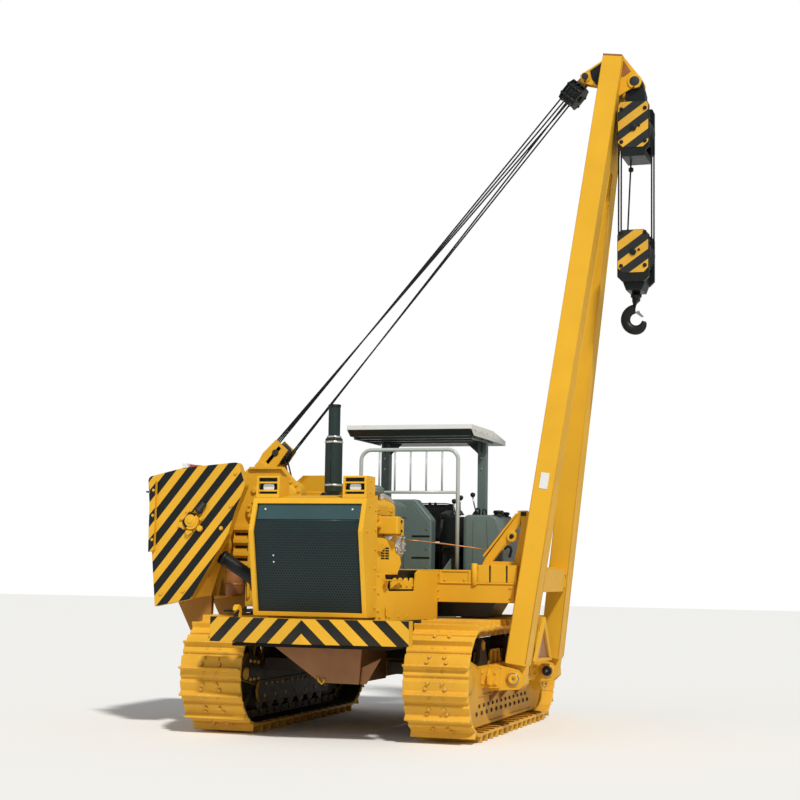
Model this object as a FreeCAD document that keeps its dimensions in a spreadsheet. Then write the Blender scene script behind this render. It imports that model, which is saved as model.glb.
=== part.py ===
"""Crawler pipelayer with a side boom, built as a parametric FreeCAD document.

Working coordinates: +X runs to the machine's front, +Y to its left, where the boom
is, and +Z up from the ground. X = 0 is the idlers' axle and Y = 0 the centre line
of the hull. Every finished piece is then moved so that the part's origin lies on the
ground at the middle of the whole machine. All lengths are in millimetres.
"""
import FreeCAD
import Part

import math
import os
import re

import Sketcher

SIZES = {
    # whole machine
    "front_reach": 1024, "rear_reach": 3480, "boom_side_reach": 2880,
    "weight_side_reach": 2090,
    # crawler tracks
    "gauge": 2248, "shoe_width": 628, "axle_span": 2730, "shoe_pitch": 203,
    "shoe_count": 40, "axle_height": 564, "link_height": 90, "link_width": 190,
    "link_thickness": 60, "plate_thickness": 28, "grouser_height": 62,
    "grouser_base": 34, "grouser_tip": 16, "left_phase": 292, "right_phase": 122,
    # idlers and sprockets
    "idler_rim": 70, "idler_web": 70, "idler_hub_radius": 90, "sprocket_teeth": 26,
    "tooth_rise": 34, "sprocket_hub_radius": 160, "chain_clearance": 5,
    # track frames and rollers
    "frame_width": 300, "frame_low": 420, "frame_top": 760, "frame_waist": 650,
    "roller_radius": 105, "roller_length": 240, "roller_count": 7, "roller_lead": 460,
    "roller_tail": 530, "hanger_length": 90, "carrier_radius": 80, "carrier_length": 150,
    "carrier_lead": 760, "carrier_spacing": 1100, "stand_thickness": 40, "side_gap": 5,
    "guard_thickness": 25, "guard_low": 255, "guard_high": 475, "hub_length": 150, "hub_radius": 250,
    "hub_cap": 40,
    # hull
    "hull_width": 700, "hull_low": 560, "hull_top": 1160, "hull_overhang": 220,
    "hull_front": 600, "guard_top": 905, "belly_low": 525, "belly_rear": 420,
    "drawbar_low": 620, "drawbar_thickness": 80, "drawbar_width": 300,
    "drawbar_hole_radius": 28, "drawbar_hole_inset": 90, "shaft_radius": 80,
    "steering_radius": 180,
    # front bumper
    "bumper_half": 976, "bumper_sweep": 162, "bumper_depth": 120, "bumper_low": 911,
    "bumper_tall": 230, "bracket_start": 240, "bracket_width": 90, "tow_hook_y": 710,
    "tow_hook_thickness": 50,
    # radiator guard
    "nose_half": 560, "grille_half": 516, "nose_fold_x": 984, "nose_fold_z": 1945,
    "nose_foot_x": 820, "nose_top_x": 873, "nose_top_z": 2250, "nose_back_x": 560,
    "nose_back_z": 2290, "grille_thickness": 15, "grille_setback": 25,
    "lamp_width": 230, "lamp_y": 430, "lamp_top": 2460, "lamp_wall": 18,
    "lamp_recess": 60,
    # engine and hood
    "hood_half": 470, "hood_rear": 650, "hood_sill": 2120, "hood_skin": 20,
    "hood_radius": 50, "engine_half": 300, "engine_height": 790, "muffler_radius": 85,
    "muffler_length": 600, "pipe_radius": 58, "pipe_length": 310, "stack_x": 80,
    "stack_y": -60, "precleaner_radius": 100, "precleaner_height": 120,
    "panel_low": 1120, "panel_top": 1600, "panel_reach": 766, "panel_upper": 1570,
    # cross bolster that carries the boom side
    "bolster_front": 700, "bolster_rear": 1000, "bolster_low": 1290,
    "bolster_top": 1610, "bolster_gap": 50, "locker_height": 100,
    "rest_front": 930, "rest_thickness": 60,
    # platform
    "deck_level": 1400, "deck_thickness": 40, "deck_front": 1050, "deck_left": 1437,
    "tank_inner": 620, "tank_outer": 1330, "tank_top": 2180, "tank_rear": 2350,
    "tank_length": 1150, "tank_radius": 60, "cowl_radius": 30, "seat_width": 480,
    "seat_rear": 2150, "seat_y": 60, "seat_radius": 30, "rail_x": 1100,
    "rail_start": -180, "rail_length": 1050, "rail_top": 2840, "rail_low": 2400,
    "rail_radius": 20, "rail_bend": 110, "bar_side": 10, "bar_spacing": 170,
    "canopy_low": 3000, "canopy_top": 3110, "canopy_side": 980, "canopy_radius": 30,
    # boom
    "foot_offset": 346, "foot_z": 570, "foot_front": 600, "foot_back": 630,
    "boom_length": 6380, "boom_width": 200, "leg_thickness": 250, "boom_tilt": 75,
    "head_half": 220, "leg_start": 140, "ear_radius": 100, "ear_thickness": 50,
    "lug_length": 120, "pin_radius": 45, "pin_clearance": 0.3, "ear_gap": 6,
    "beam_depth": 220, "beam_low": 480, "beam_top": 670, "beam_radius": 20,
    "cap_radius": 60, "cap_thickness": 20, "line_pin_out": 287, "line_pin_up": 6165,
    "load_pin_out": 242, "load_pin_up": 6134, "head_pin_radius": 30,
    # winch
    "winch_front": 350, "winch_rear": 1900, "winch_plate": 40, "winch_outer": 1280,
    "winch_inner": 520, "winch_low": 1210, "winch_step": 1600, "winch_top": 2620,
    "winch_pin_y": 1340, "winch_pin_z": 2660, "drum_y": 830, "drum_radius": 130,
    "flange_radius": 230, "flange_thickness": 30, "motor_radius": 90,
    # tackles
    "line_sheave_radius": 92, "load_sheave_radius": 160, "sheave_width": 50,
    "rope_radius": 9, "seat_gap": 0.3, "line_block_up": 220, "head_block_down": 210,
    "upper_block_drop": 510, "hook_block_drop": 1790, "block_half": 150,
    "block_plate": 50, "hook_stem": 80, "hook_shank_radius": 38, "hook_throat": 62,
    "hook_back": 80, "hook_tip": 32,
    # counterweight
    "weight_offset": 286, "weight_pivot_z": 900, "weight_front": 250,
    "weight_skin": 100, "weight_radius": 50, "weight_arm": 60, "slab_front": 250,
    "slab_length": 350, "slab_spacing": 360, "slab_count": 4, "hub_boss_radius": 85,
    "ram_x": 0, "ram_base_y": 640, "ram_base_z": 1330, "ram_eye_inset": 230,
    "ram_eye_z": 1750, "ram_rod_radius": 36, "ram_barrel_radius": 65,
    "ram_pin_radius": 30, "ram_eye_width": 80, "cheek_thickness": 25,
}
# Places that other pieces share and that follow from the sizes above.
SIZES["side_face"] = (SIZES["gauge"] + SIZES["frame_width"]) / 2
SIZES["foot_y"] = SIZES["side_face"] + SIZES["foot_offset"]
SIZES["foot_rear"] = SIZES["axle_span"] - SIZES["foot_back"]
SIZES["bolster_reach"] = SIZES["foot_y"] - SIZES["bolster_gap"]
SIZES["hull_rear"] = SIZES["axle_span"] + SIZES["hull_overhang"]
SIZES["deck_rear"] = SIZES["hull_rear"] - 50
SIZES["weight_pivot_y"] = SIZES["side_face"] + SIZES["weight_offset"]
SIZES["ram_eye_y"] = SIZES["weight_pivot_y"] - SIZES["ram_eye_inset"]

doc = FreeCAD.newDocument("CrawlerPipelayer")
sheet = doc.addObject("Spreadsheet::Sheet", "Sizes")
for row, (alias, value) in enumerate(SIZES.items(), start=1):
    sheet.set(f"A{row}", str(value))
    sheet.setAlias(f"A{row}", alias)
doc.recompute()

NODES = []
PLANE_ROLES = {"XY": "XY_Plane", "XZ": "XZ_Plane", "YZ": "YZ_Plane"}
AXIS_TURNS = {"X": FreeCAD.Rotation(FreeCAD.Vector(0, 1, 0), 90),
              "Y": FreeCAD.Rotation(FreeCAD.Vector(1, 0, 0), -90),
              "Z": FreeCAD.Rotation()}
SHIFT = {"x": "(rear_reach - front_reach) / 2",
         "y": "(weight_side_reach - boom_side_reach) / 2",
         "z": "0"}
SEED_RADIUS = 1000.0


def size(alias):
    """One driving dimension, read from the sheet."""
    return float(sheet.get(alias))


def bound(text):
    """An expression with each sheet alias in it addressed to the sheet."""
    return re.sub(r"[a-z][a-z_0-9]*",
                  lambda word: "Sizes." + word[0] if word[0] in SIZES else word[0],
                  str(text))


def box(name, corner, lengths):
    """A block from its lowest corner and its three side lengths."""
    block = doc.addObject("Part::Box", name)
    for axis, text in zip("xyz", corner):
        block.setExpression(f"Placement.Base.{axis}", bound(text))
    for side, text in zip(("Length", "Width", "Height"), lengths):
        block.setExpression(side, bound(text))
    return block


def rod(name, axis, start, radius, length):
    """A round bar that runs from start along +axis."""
    bar = doc.addObject("Part::Cylinder", name)
    bar.Placement.Rotation = AXIS_TURNS[axis]
    for letter, text in zip("xyz", start):
        bar.setExpression(f"Placement.Base.{letter}", bound(text))
    bar.setExpression("Radius", bound(radius))
    bar.setExpression("Height", bound(length))
    return bar


def add_constraint(sketch, text, kind, *where):
    """One dimension of a sketch, bound to the sheet."""
    index = sketch.addConstraint(Sketcher.Constraint(kind, *where))
    sketch.setExpression(f"Constraints[{index}]", bound(text))


def flat_sketch(body, name, plane, outline):
    """A closed outline of straight edges on one of a body's origin planes."""
    sketch = body.newObject("Sketcher::SketchObject", name + "_outline")
    role = PLANE_ROLES[plane]
    base = next(item for item in body.Origin.OriginFeatures if item.Role == role)
    sketch.AttachmentSupport = [(base, "")]
    sketch.MapMode = "FlatFace"
    count = len(outline)
    seeds = [FreeCAD.Vector(SEED_RADIUS * math.cos(math.tau * turn / count),
                            SEED_RADIUS * math.sin(math.tau * turn / count), 0)
             for turn in range(count)]
    for turn in range(count):
        sketch.addGeometry(Part.LineSegment(seeds[turn], seeds[(turn + 1) % count]))
    for turn in range(count):
        sketch.addConstraint(
            Sketcher.Constraint("Coincident", turn, 2, (turn + 1) % count, 1))
    for turn, (across, up) in enumerate(outline):
        add_constraint(sketch, across, "DistanceX", -1, 1, turn, 1, seeds[turn].x)
        add_constraint(sketch, up, "DistanceY", -1, 1, turn, 1, seeds[turn].y)
    return sketch


def prism(name, plane, outline, start, depth, holes=()):
    """A plate padded from a closed outline, with round holes, along the plane's axis.

    The outline is in the plane's two working coordinates; start and depth lie along
    the third one.
    """
    body = doc.addObject("PartDesign::Body", name)
    sketch = flat_sketch(body, name, plane, outline)
    for across, up, radius in holes:
        ring = sketch.addGeometry(
            Part.Circle(FreeCAD.Vector(1, 1, 0), FreeCAD.Vector(0, 0, 1), 1))
        add_constraint(sketch, across, "DistanceX", -1, 1, ring, 3, 1)
        add_constraint(sketch, up, "DistanceY", -1, 1, ring, 3, 1)
        add_constraint(sketch, radius, "Radius", ring, 1)
    offset = f"-({start})" if plane == "XZ" else start
    sketch.setExpression("AttachmentOffset.Base.z", bound(offset))
    pad = body.newObject("PartDesign::Pad", name + "_pad")
    pad.Profile = sketch
    pad.Reversed = plane == "XZ"
    pad.setExpression("Length", bound(depth))
    return body


def turned(name, axis, start, profile):
    """A round piece turned about +axis; the profile is (radius, distance) points."""
    body = doc.addObject("PartDesign::Body", name)
    sketch = flat_sketch(body, name, "XZ", profile)
    turn = body.newObject("PartDesign::Revolution", name + "_turn")
    turn.Profile = sketch
    turn.ReferenceAxis = (sketch, ["V_Axis"])
    turn.Angle = 360
    body.Placement.Rotation = AXIS_TURNS[axis]
    for letter, text in zip("xyz", start):
        body.setExpression(f"Placement.Base.{letter}", bound(text))
    return body


def rounded(name, base, axis, radius, keep):
    """The base with its straight edges along an axis rounded, where keep(middle) holds."""
    doc.recompute()
    way = AXIS_TURNS[axis].multVec(FreeCAD.Vector(0, 0, 1))
    chosen = []
    for number, edge in enumerate(base.Shape.Edges, start=1):
        first, last = edge.Vertexes[0].Point, edge.Vertexes[-1].Point
        run = last - first
        straight = run.Length > 1 and abs(run.normalize().dot(way)) > 0.999
        if straight and keep((first + last) / 2):
            chosen.append((number, size(radius), size(radius)))
    if not chosen:
        raise RuntimeError(f"{name} found no edge to round")
    fillet = doc.addObject("Part::Fillet", name)
    fillet.Base = base
    fillet.Edges = chosen
    return fillet


def about(across, up, offsets):
    """Outline points given as offsets from a pivot."""
    return [(f"{across} + ({dx})", f"{up} + ({dz})") for dx, dz in offsets]


def fuse(name, pieces, refine=True):
    """One solid from several that meet."""
    joined = doc.addObject("Part::MultiFuse", name)
    joined.Shapes = pieces
    joined.Refine = refine
    return joined


def cut(name, base, tool):
    """The base with the tool's shape taken out of it."""
    result = doc.addObject("Part::Cut", name)
    result.Base = base
    result.Tool = tool
    return result


def group(name, pieces):
    """Separate solids of one kind, kept as one piece."""
    bundle = doc.addObject("Part::Compound", name)
    bundle.Links = pieces
    return bundle


def node(label, piece):
    """Registers a finished piece and moves it from the working origin to the part's."""
    piece.Label = label
    known = dict(piece.ExpressionEngine)
    for axis in "xyz":
        own = known.get(f".Placement.Base.{axis}", known.get(f"Placement.Base.{axis}", "0"))
        piece.setExpression(f"Placement.Base.{axis}", f"{own} + {bound(SHIFT[axis])}")
    NODES.append(piece)
    return piece


def tilted(label, piece, point, degrees):
    """Registers a piece drawn upright at its pivot: leans it about +X, then seats it."""
    piece.Label = label
    piece.Placement = FreeCAD.Placement(
        FreeCAD.Vector(), FreeCAD.Rotation(FreeCAD.Vector(1, 0, 0), degrees))
    for axis, text in zip("xyz", point):
        piece.setExpression(f"Placement.Base.{axis}", bound(f"{text} + {SHIFT[axis]}"))
    NODES.append(piece)
    return piece


# ---------------------------------------------------------------- crawler tracks

PITCH_RADIUS = ((size("shoe_count") * size("shoe_pitch") - 2 * size("axle_span"))
                / math.tau)
GROUSER_RADIUS = size("axle_height")
SHOE_OUTER = GROUSER_RADIUS - size("grouser_height")
SHOE_INNER = SHOE_OUTER - size("plate_thickness")
LINK_INNER = SHOE_INNER - size("link_height")
ARC_STEPS = 24


def loop_point(run, radius):
    """The point on the track's loop at a distance along its pitch line.

    run counts from the idler's foremost point over the top; radius is measured from
    the nearer axle, or from the line between the axles on the straight runs.
    """
    quarter = math.pi / 2 * PITCH_RADIUS
    span = size("axle_span")
    run %= 2 * span + 4 * quarter
    middle = size("axle_height")
    if run < quarter:
        turn = run / PITCH_RADIUS
        return FreeCAD.Vector(radius * math.cos(turn), 0, middle + radius * math.sin(turn))
    if run < quarter + span:
        return FreeCAD.Vector(quarter - run, 0, middle + radius)
    if run < 3 * quarter + span:
        turn = (run - span) / PITCH_RADIUS
        return FreeCAD.Vector(radius * math.cos(turn) - span, 0,
                              middle + radius * math.sin(turn))
    if run < 3 * quarter + 2 * span:
        return FreeCAD.Vector(run - 3 * quarter - 2 * span, 0, middle - radius)
    turn = (run - 2 * span) / PITCH_RADIUS
    return FreeCAD.Vector(radius * math.cos(turn), 0, middle + radius * math.sin(turn))


def shoe_outline(phase):
    """The loop's outer edge: each shoe's flat plate and its one upright grouser."""
    pitch = size("shoe_pitch")
    base = size("grouser_base")
    tip = size("grouser_tip")
    points = []
    for shoe in range(int(size("shoe_count"))):
        crest = phase + shoe * pitch
        points.append(loop_point(crest - base / 2, SHOE_OUTER))
        points.append(loop_point(crest - tip / 2, GROUSER_RADIUS))
        points.append(loop_point(crest + tip / 2, GROUSER_RADIUS))
        points.append(loop_point(crest + base / 2, SHOE_OUTER))
        points.append(loop_point(crest + pitch / 2, SHOE_OUTER))
    return points


def stadium(radius):
    """A plain loop around both axles at one radius, as lines and half circles."""
    span = size("axle_span")
    middle = size("axle_height")
    top_front = FreeCAD.Vector(0, 0, middle + radius)
    top_rear = FreeCAD.Vector(-span, 0, middle + radius)
    low_front = FreeCAD.Vector(0, 0, middle - radius)
    low_rear = FreeCAD.Vector(-span, 0, middle - radius)
    front = FreeCAD.Vector(radius, 0, middle)
    rear = FreeCAD.Vector(-span - radius, 0, middle)
    return Part.Wire([Part.makeLine(top_front, top_rear),
                      Part.Arc(top_rear, rear, low_rear).toShape(),
                      Part.makeLine(low_rear, low_front),
                      Part.Arc(low_front, front, top_front).toShape()])


def ring_solid(outer, inner, width, middle):
    """The band between two closed wires, extruded across the machine."""
    face = Part.makeFace([outer, inner], "Part::FaceMakerBullseye")
    solid = face.extrude(FreeCAD.Vector(0, width, 0))
    solid.translate(FreeCAD.Vector(0, middle - width / 2, 0))
    return solid


def track(label, side, phase):
    """One crawler track: forty shoes on two rows of chain links, as one closed loop."""
    middle = side * size("gauge") / 2
    points = shoe_outline(phase / 1000 * PITCH_RADIUS)
    shoes = ring_solid(Part.makePolygon(points + points[:1]), stadium(SHOE_INNER),
                       size("shoe_width"), middle)
    apart = (size("link_width") - size("link_thickness")) / 2
    links = [ring_solid(stadium(SHOE_INNER), stadium(LINK_INNER), size("link_thickness"),
                        middle + row) for row in (apart, -apart)]
    loop = doc.addObject("Part::Feature", label)
    loop.Shape = shoes.fuse(links)
    loop.Placement = FreeCAD.Placement()
    return node(label, loop)


def toothed_rim(name, middle):
    """The sprocket's toothed plate, which runs between the chain's two rows of links."""
    root = LINK_INNER
    tip = LINK_INNER + size("tooth_rise")
    step = math.tau / size("sprocket_teeth")
    width = size("link_width") - 2 * size("link_thickness") - 2 * size("chain_clearance")
    points = []
    for tooth in range(int(size("sprocket_teeth"))):
        for share, radius in ((-0.32, root), (-0.15, tip), (0.15, tip), (0.32, root)):
            turn = (tooth + share) * step
            points.append(FreeCAD.Vector(radius * math.cos(turn) - size("axle_span"),
                                         middle - width / 2,
                                         radius * math.sin(turn) + size("axle_height")))
    rim = doc.addObject("Part::Feature", name)
    rim.Shape = Part.Face(Part.makePolygon(points + points[:1])).extrude(
        FreeCAD.Vector(0, width, 0))
    rim.Placement = FreeCAD.Placement()
    return rim


def roller_axle():
    """The height of the track rollers' axles, on the chain's lower run."""
    return size("axle_height") - LINK_INNER + size("roller_radius")


def idler(word, middle):
    """A front wheel with a broad rim, thin web and hub that seats in the frame's fork."""
    rim = "link_width / 2"
    web = "idler_web / 2"
    hub = "(link_width / 2 + side_gap)"
    inner = f"{LINK_INNER} - idler_rim"
    return turned(f"idler_{word}", "Y", ("0", middle, "axle_height"), [
        ("0", f"-{hub}"), ("idler_hub_radius", f"-{hub}"), ("idler_hub_radius", f"-{web}"),
        (inner, f"-{web}"), (inner, f"-{rim}"), (LINK_INNER, f"-{rim}"), (LINK_INNER, rim),
        (inner, rim), (inner, web), ("idler_hub_radius", web), ("idler_hub_radius", hub),
        ("0", hub)])


def undercarriage(word, side):
    """One side's wheels, rollers, frame and guards, as a list for each kind."""
    sign = "" if side > 0 else "-"
    middle = f"{sign}gauge / 2"
    chain_side = f"{middle} - link_width / 2"
    slot = "link_width + 2 * side_gap"
    rail = prism(f"rail_{word}", "XZ",
                 [("90", "510"), ("90", "620"), ("-90", "frame_top"),
                  ("-carrier_lead + 160", "frame_waist"),
                  ("-axle_span + 380", "frame_waist"),
                  ("-axle_span - 60", "frame_waist - 20"), ("-axle_span - 60", "470"),
                  ("-axle_span + 380", "frame_low"), ("-400", "frame_low")],
                 f"{middle} - frame_width / 2", "frame_width")
    slots = group(f"rail_slots_{word}", [
        box(f"fork_slot_{word}", ("-430", f"{chain_side} - side_gap", "300"),
            ("600", slot, "600")),
        box(f"tail_slot_{word}", ("-axle_span - 100", f"{chain_side} - side_gap", "300"),
            ("530", slot, "600"))])
    low = roller_axle()
    spacing = "(axle_span - roller_lead - roller_tail) / (roller_count - 1)"
    rollers = []
    for place in range(int(size("roller_count"))):
        along = f"-roller_lead - {place} * {spacing}"
        roller = rod(f"roller_{word}_{place}", "Y",
                     (along, f"{middle} - roller_length / 2", low),
                     "roller_radius", "roller_length")
        hanger = box(f"hanger_{word}_{place}",
                     (f"{along} - hanger_length / 2", f"{middle} - roller_length / 2 - 10",
                      low), ("hanger_length", "roller_length + 20", f"frame_low - {low}"))
        rollers.append(fuse(f"roller_set_{word}_{place}", [roller, hanger]))
    carriers = []
    high = size("axle_height") + LINK_INNER - size("carrier_radius")
    outer = f"{middle} + carrier_length / 2" if side > 0 else (
        f"{middle} - carrier_length / 2 - stand_thickness")
    for place in range(2):
        along = f"-carrier_lead - {place} * carrier_spacing"
        carrier = rod(f"carrier_{word}_{place}", "Y",
                      (along, f"{middle} - carrier_length / 2", high),
                      "carrier_radius", "carrier_length")
        stand = prism(f"carrier_stand_{word}_{place}", "XZ",
                      [(f"{along} + 150", "frame_waist"), (f"{along} + 60", f"{high} + 60"),
                       (f"{along} - 60", f"{high} + 60"), (f"{along} - 230", "frame_waist")],
                      outer, "stand_thickness")
        carriers.append(fuse(f"carrier_set_{word}_{place}", [carrier, stand]))
    lead = "-roller_lead + 140"
    tail = "-axle_span + roller_tail - 160"
    guards = [prism(f"roller_guard_{word}_{name}", "XZ",
                    [(f"{lead} - 40", "guard_high"), (lead, "450"), (f"{lead} + 40", "380"),
                     (f"{lead} + 20", "300"), (f"{lead} - 50", "guard_low"),
                     (f"{tail} + 60", "guard_low"), (tail, "320"), (tail, "guard_high")],
                    f"{middle} {face}", "guard_thickness")
              for name, face in (("high", "+ frame_width / 2"),
                                 ("low", "- frame_width / 2 - guard_thickness"))]
    hub_start = "+ frame_width / 2" if side > 0 else "- frame_width / 2 - hub_length"
    cap_start = ("+ frame_width / 2 + hub_length" if side > 0
                 else "- frame_width / 2 - hub_length - hub_cap")
    drive = fuse(f"final_drive_{word}", [
        rod(f"drive_case_{word}", "Y", ("-axle_span", f"{middle} {hub_start}", "axle_height"),
            "hub_radius", "hub_length"),
        rod(f"drive_cap_{word}", "Y", ("-axle_span", f"{middle} {cap_start}", "axle_height"),
            "0.6 * hub_radius", "hub_cap")])
    sprocket = fuse(f"sprocket_{word}", [
        toothed_rim(f"toothed_rim_{word}", side * size("gauge") / 2),
        rod(f"sprocket_hub_{word}", "Y",
            ("-axle_span", f"{chain_side} - side_gap", "axle_height"),
            "sprocket_hub_radius", slot)])
    return {
        "idlers": [idler(word, middle)],
        "sprockets": [sprocket],
        "track_frames": [cut(f"track_frame_{word}", rail, slots)],
        "track_rollers": rollers,
        "carrier_rollers": carriers,
        "roller_guards": guards,
        "final_drives": [drive],
    }


undercarriage_kinds = {}
for word, side in (("left", 1), ("right", -1)):
    track(f"track_{word}", side, size(f"{word}_phase"))
    for kind, members in undercarriage(word, side).items():
        undercarriage_kinds.setdefault(kind, []).extend(members)
for kind, members in undercarriage_kinds.items():
    node(kind, group(kind, members))

# ---------------------------------------------------------------- hull

node("main_frame", prism("main_frame", "XZ",
                         [("hull_front", "guard_top"), ("hull_front", "hull_top"),
                          ("-deck_front", "hull_top"), ("-deck_front", "deck_level"),
                          ("-deck_rear", "deck_level"), ("-hull_rear", "hull_top"),
                          ("-hull_rear", "hull_low"),
                          ("-belly_rear", "hull_low"), ("-belly_rear", "guard_top")],
                         "-hull_width / 2", "hull_width"))
shafts = []
for word, side in (("left", 1), ("right", -1)):
    near = "hull_width / 2" if side > 0 else "-(gauge - frame_width) / 2"
    length = "(gauge - frame_width - hull_width) / 2"
    shafts.append(rod(f"pivot_shaft_{word}", "Y", ("-foot_rear", near, "hull_low + 80"),
                      "shaft_radius", length))
    shafts.append(box(f"equalizer_{word}", ("-620", near, "hull_low + 20"),
                      ("160", length, "120")))
    shafts.append(rod(f"steering_case_{word}", "Y", ("-axle_span", near, "axle_height + 60"),
                      "steering_radius", length))
node("cross_shafts", group("cross_shafts", shafts))
node("drawbar", cut("drawbar", prism(
    "drawbar_plate", "XZ",
    [("-hull_rear", "drawbar_low"), ("-hull_rear", "1000"),
     ("-(2 * hull_rear + rear_reach) / 3", "850"),
     ("-(hull_rear + rear_reach) / 2", "drawbar_low + drawbar_thickness"),
     ("-rear_reach", "drawbar_low + drawbar_thickness"), ("-rear_reach", "drawbar_low")],
    "-drawbar_width / 2", "drawbar_width"),
    rod("drawbar_hole", "Z", ("-rear_reach + drawbar_hole_inset", "0", "drawbar_low - 20"),
        "drawbar_hole_radius", "drawbar_thickness + 40")))
belly = doc.addObject("Part::Wedge", "belly_block")
belly_half = "((gauge - shoe_width) / 2 - 30)"
for prop, text in {"Xmin": "-belly_rear", "Xmax": "nose_foot_x", "Zmin": f"-{belly_half}",
                   "Zmax": belly_half, "X2min": "-belly_rear", "X2max": "250",
                   "Z2min": "-270", "Z2max": "270", "Ymin": "-guard_top",
                   "Ymax": "-belly_low"}.items():
    belly.setExpression(prop, bound(text))
belly.Placement = FreeCAD.Placement(FreeCAD.Vector(), FreeCAD.Rotation(
    FreeCAD.Vector(1, 0, 0), -90))
node("belly_guard", group("belly_guard", [belly]))

blade = prism("bumper_blade", "XY",
                           [("front_reach", "0"),
                            ("front_reach - bumper_sweep", "bumper_half"),
                            ("front_reach - bumper_sweep - bumper_depth", "bumper_half"),
                            ("front_reach - bumper_depth", "0"),
                            ("front_reach - bumper_sweep - bumper_depth", "-bumper_half"),
                            ("front_reach - bumper_sweep", "-bumper_half")],
                           "bumper_low", "bumper_tall")
brackets = []
for word, sign in (("left", ""), ("right", "-")):
    near = "bracket_start"
    far = "(bracket_start + bracket_width)"
    rear_of = "front_reach - bumper_depth - bumper_sweep * {} / bumper_half"
    brackets.append(prism(f"bumper_bracket_{word}", "XY",
                          [("hull_front", f"{sign}{near}"), ("hull_front", f"{sign}{far}"),
                           (rear_of.format(far), f"{sign}{far}"),
                           (rear_of.format(near), f"{sign}{near}")],
                          "bumper_low + 10", "bumper_tall - 30"))
hook_x = "(front_reach - bumper_sweep * tow_hook_y / bumper_half - bumper_depth)"
tow_hook = prism("tow_hook", "XZ", [
    (f"{hook_x} + {dx}", f"bumper_low + bumper_tall + {dz}")
    for dx, dz in ((20, -30), (100, -30), (85, 30), (60, 60), (85, 75), (110, 60), (105, 95),
                   (70, 115), (30, 100), (10, 60))],
    "-tow_hook_y - tow_hook_thickness / 2", "tow_hook_thickness")
node("front_bumper", fuse("front_bumper", [blade] + brackets + [tow_hook]))

# ---------------------------------------------------------------- nose and engine

shell = prism("nose_shell", "XZ",
              [("nose_foot_x", "hull_top"), ("nose_fold_x", "nose_fold_z"),
               ("nose_top_x", "nose_top_z"), ("nose_back_x", "nose_back_z"),
               ("nose_back_x", "hull_top")], "-nose_half", "2 * nose_half")
opening = box("nose_opening", ("nose_back_x - 50", "-grille_half", "hull_top + 40"),
              ("700", "2 * grille_half", "nose_top_z - hull_top - 90"))
node("radiator_guard", cut("radiator_guard", shell, opening))
node("radiator_grille", prism(
    "radiator_grille", "XZ",
    [("nose_foot_x - grille_setback", "hull_top + 40"),
     ("nose_fold_x - grille_setback", "nose_fold_z"),
     ("nose_top_x - grille_setback + 18", "nose_top_z - 50"),
     ("nose_top_x - grille_setback + 18 - grille_thickness", "nose_top_z - 50"),
     ("nose_fold_x - grille_setback - grille_thickness", "nose_fold_z"),
     ("nose_foot_x - grille_setback - grille_thickness", "hull_top + 40")],
    "-grille_half", "2 * grille_half"))
lamps = []
for word, middle in (("left", "lamp_y"), ("right", "-lamp_y")):
    shape = prism(f"lamp_case_{word}", "XZ",
                  [("860", "nose_top_z + 2"), ("845", "lamp_top"), ("600", "lamp_top"),
                   ("600", "nose_back_z - 5")], f"{middle} - lamp_width / 2", "lamp_width")
    mouth = box(f"lamp_mouth_{word}",
                ("860 - lamp_recess", f"{middle} - lamp_width / 2 + lamp_wall",
                 "nose_top_z + 40"),
                ("lamp_recess + 10", "lamp_width - 2 * lamp_wall",
                 "lamp_top - nose_top_z - 40 - lamp_wall"))
    lamps.append(cut(f"lamp_{word}", rounded(
        f"lamp_shape_{word}", shape, "Y", "lamp_wall",
        lambda middle: middle.z > size("lamp_top") - 1), mouth))
node("lamp_housings", group("lamp_housings", lamps))
node("engine_block", box("engine_block", ("-hood_rear + 30", "-engine_half", "hull_top"),
                         ("hood_rear + 480", "2 * engine_half", "engine_height")))
hood = prism("hood_outer", "YZ", [("-hood_half", "hood_sill"), ("-hood_half", "2230"),
                                  ("-hood_half + 90", "nose_back_z"),
                                  ("hood_half - 90", "nose_back_z"), ("hood_half", "2230"),
                                  ("hood_half", "hood_sill")],
             "-hood_rear", "hood_rear + nose_back_x")
hollow = box("hood_hollow", ("-hood_rear - 10", "-hood_half + hood_skin", "hood_sill - 10"),
             ("hood_rear + nose_back_x + 20", "2 * (hood_half - hood_skin)", "110"))
node("engine_hood", cut("engine_hood", rounded(
    "hood_shape", hood, "X", "hood_radius", lambda middle: middle.z > size("hood_sill") + 50),
    hollow))
PANEL_RUN = (size("nose_back_x") + size("bolster_front"),
             size("panel_reach") - size("nose_half") + size("hood_skin"))
PANEL_LENGTH = math.hypot(*PANEL_RUN) - size("hood_skin") * PANEL_RUN[1] / PANEL_RUN[0]
lower_panel = prism("lower_panel_left", "XZ", [
    ("0", "panel_low"), ("0", "panel_upper"), ("-160", "panel_upper"), ("-190", "1480"),
    ("-250", "1400"), ("-790", "1400"), ("-810", "panel_upper"),
    ("-870", "panel_top"), (f"-{PANEL_LENGTH:.3f}", "panel_top"),
    (f"-{PANEL_LENGTH:.3f}", "panel_low")], "-hood_skin", "hood_skin")
lower_panel.Placement.Rotation = FreeCAD.Rotation(
    FreeCAD.Vector(0, 0, 1), -math.degrees(math.atan2(PANEL_RUN[1], PANEL_RUN[0])))
lower_panel.setExpression("Placement.Base.x", bound("nose_back_x"))
lower_panel.setExpression("Placement.Base.y", bound("nose_half"))
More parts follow.
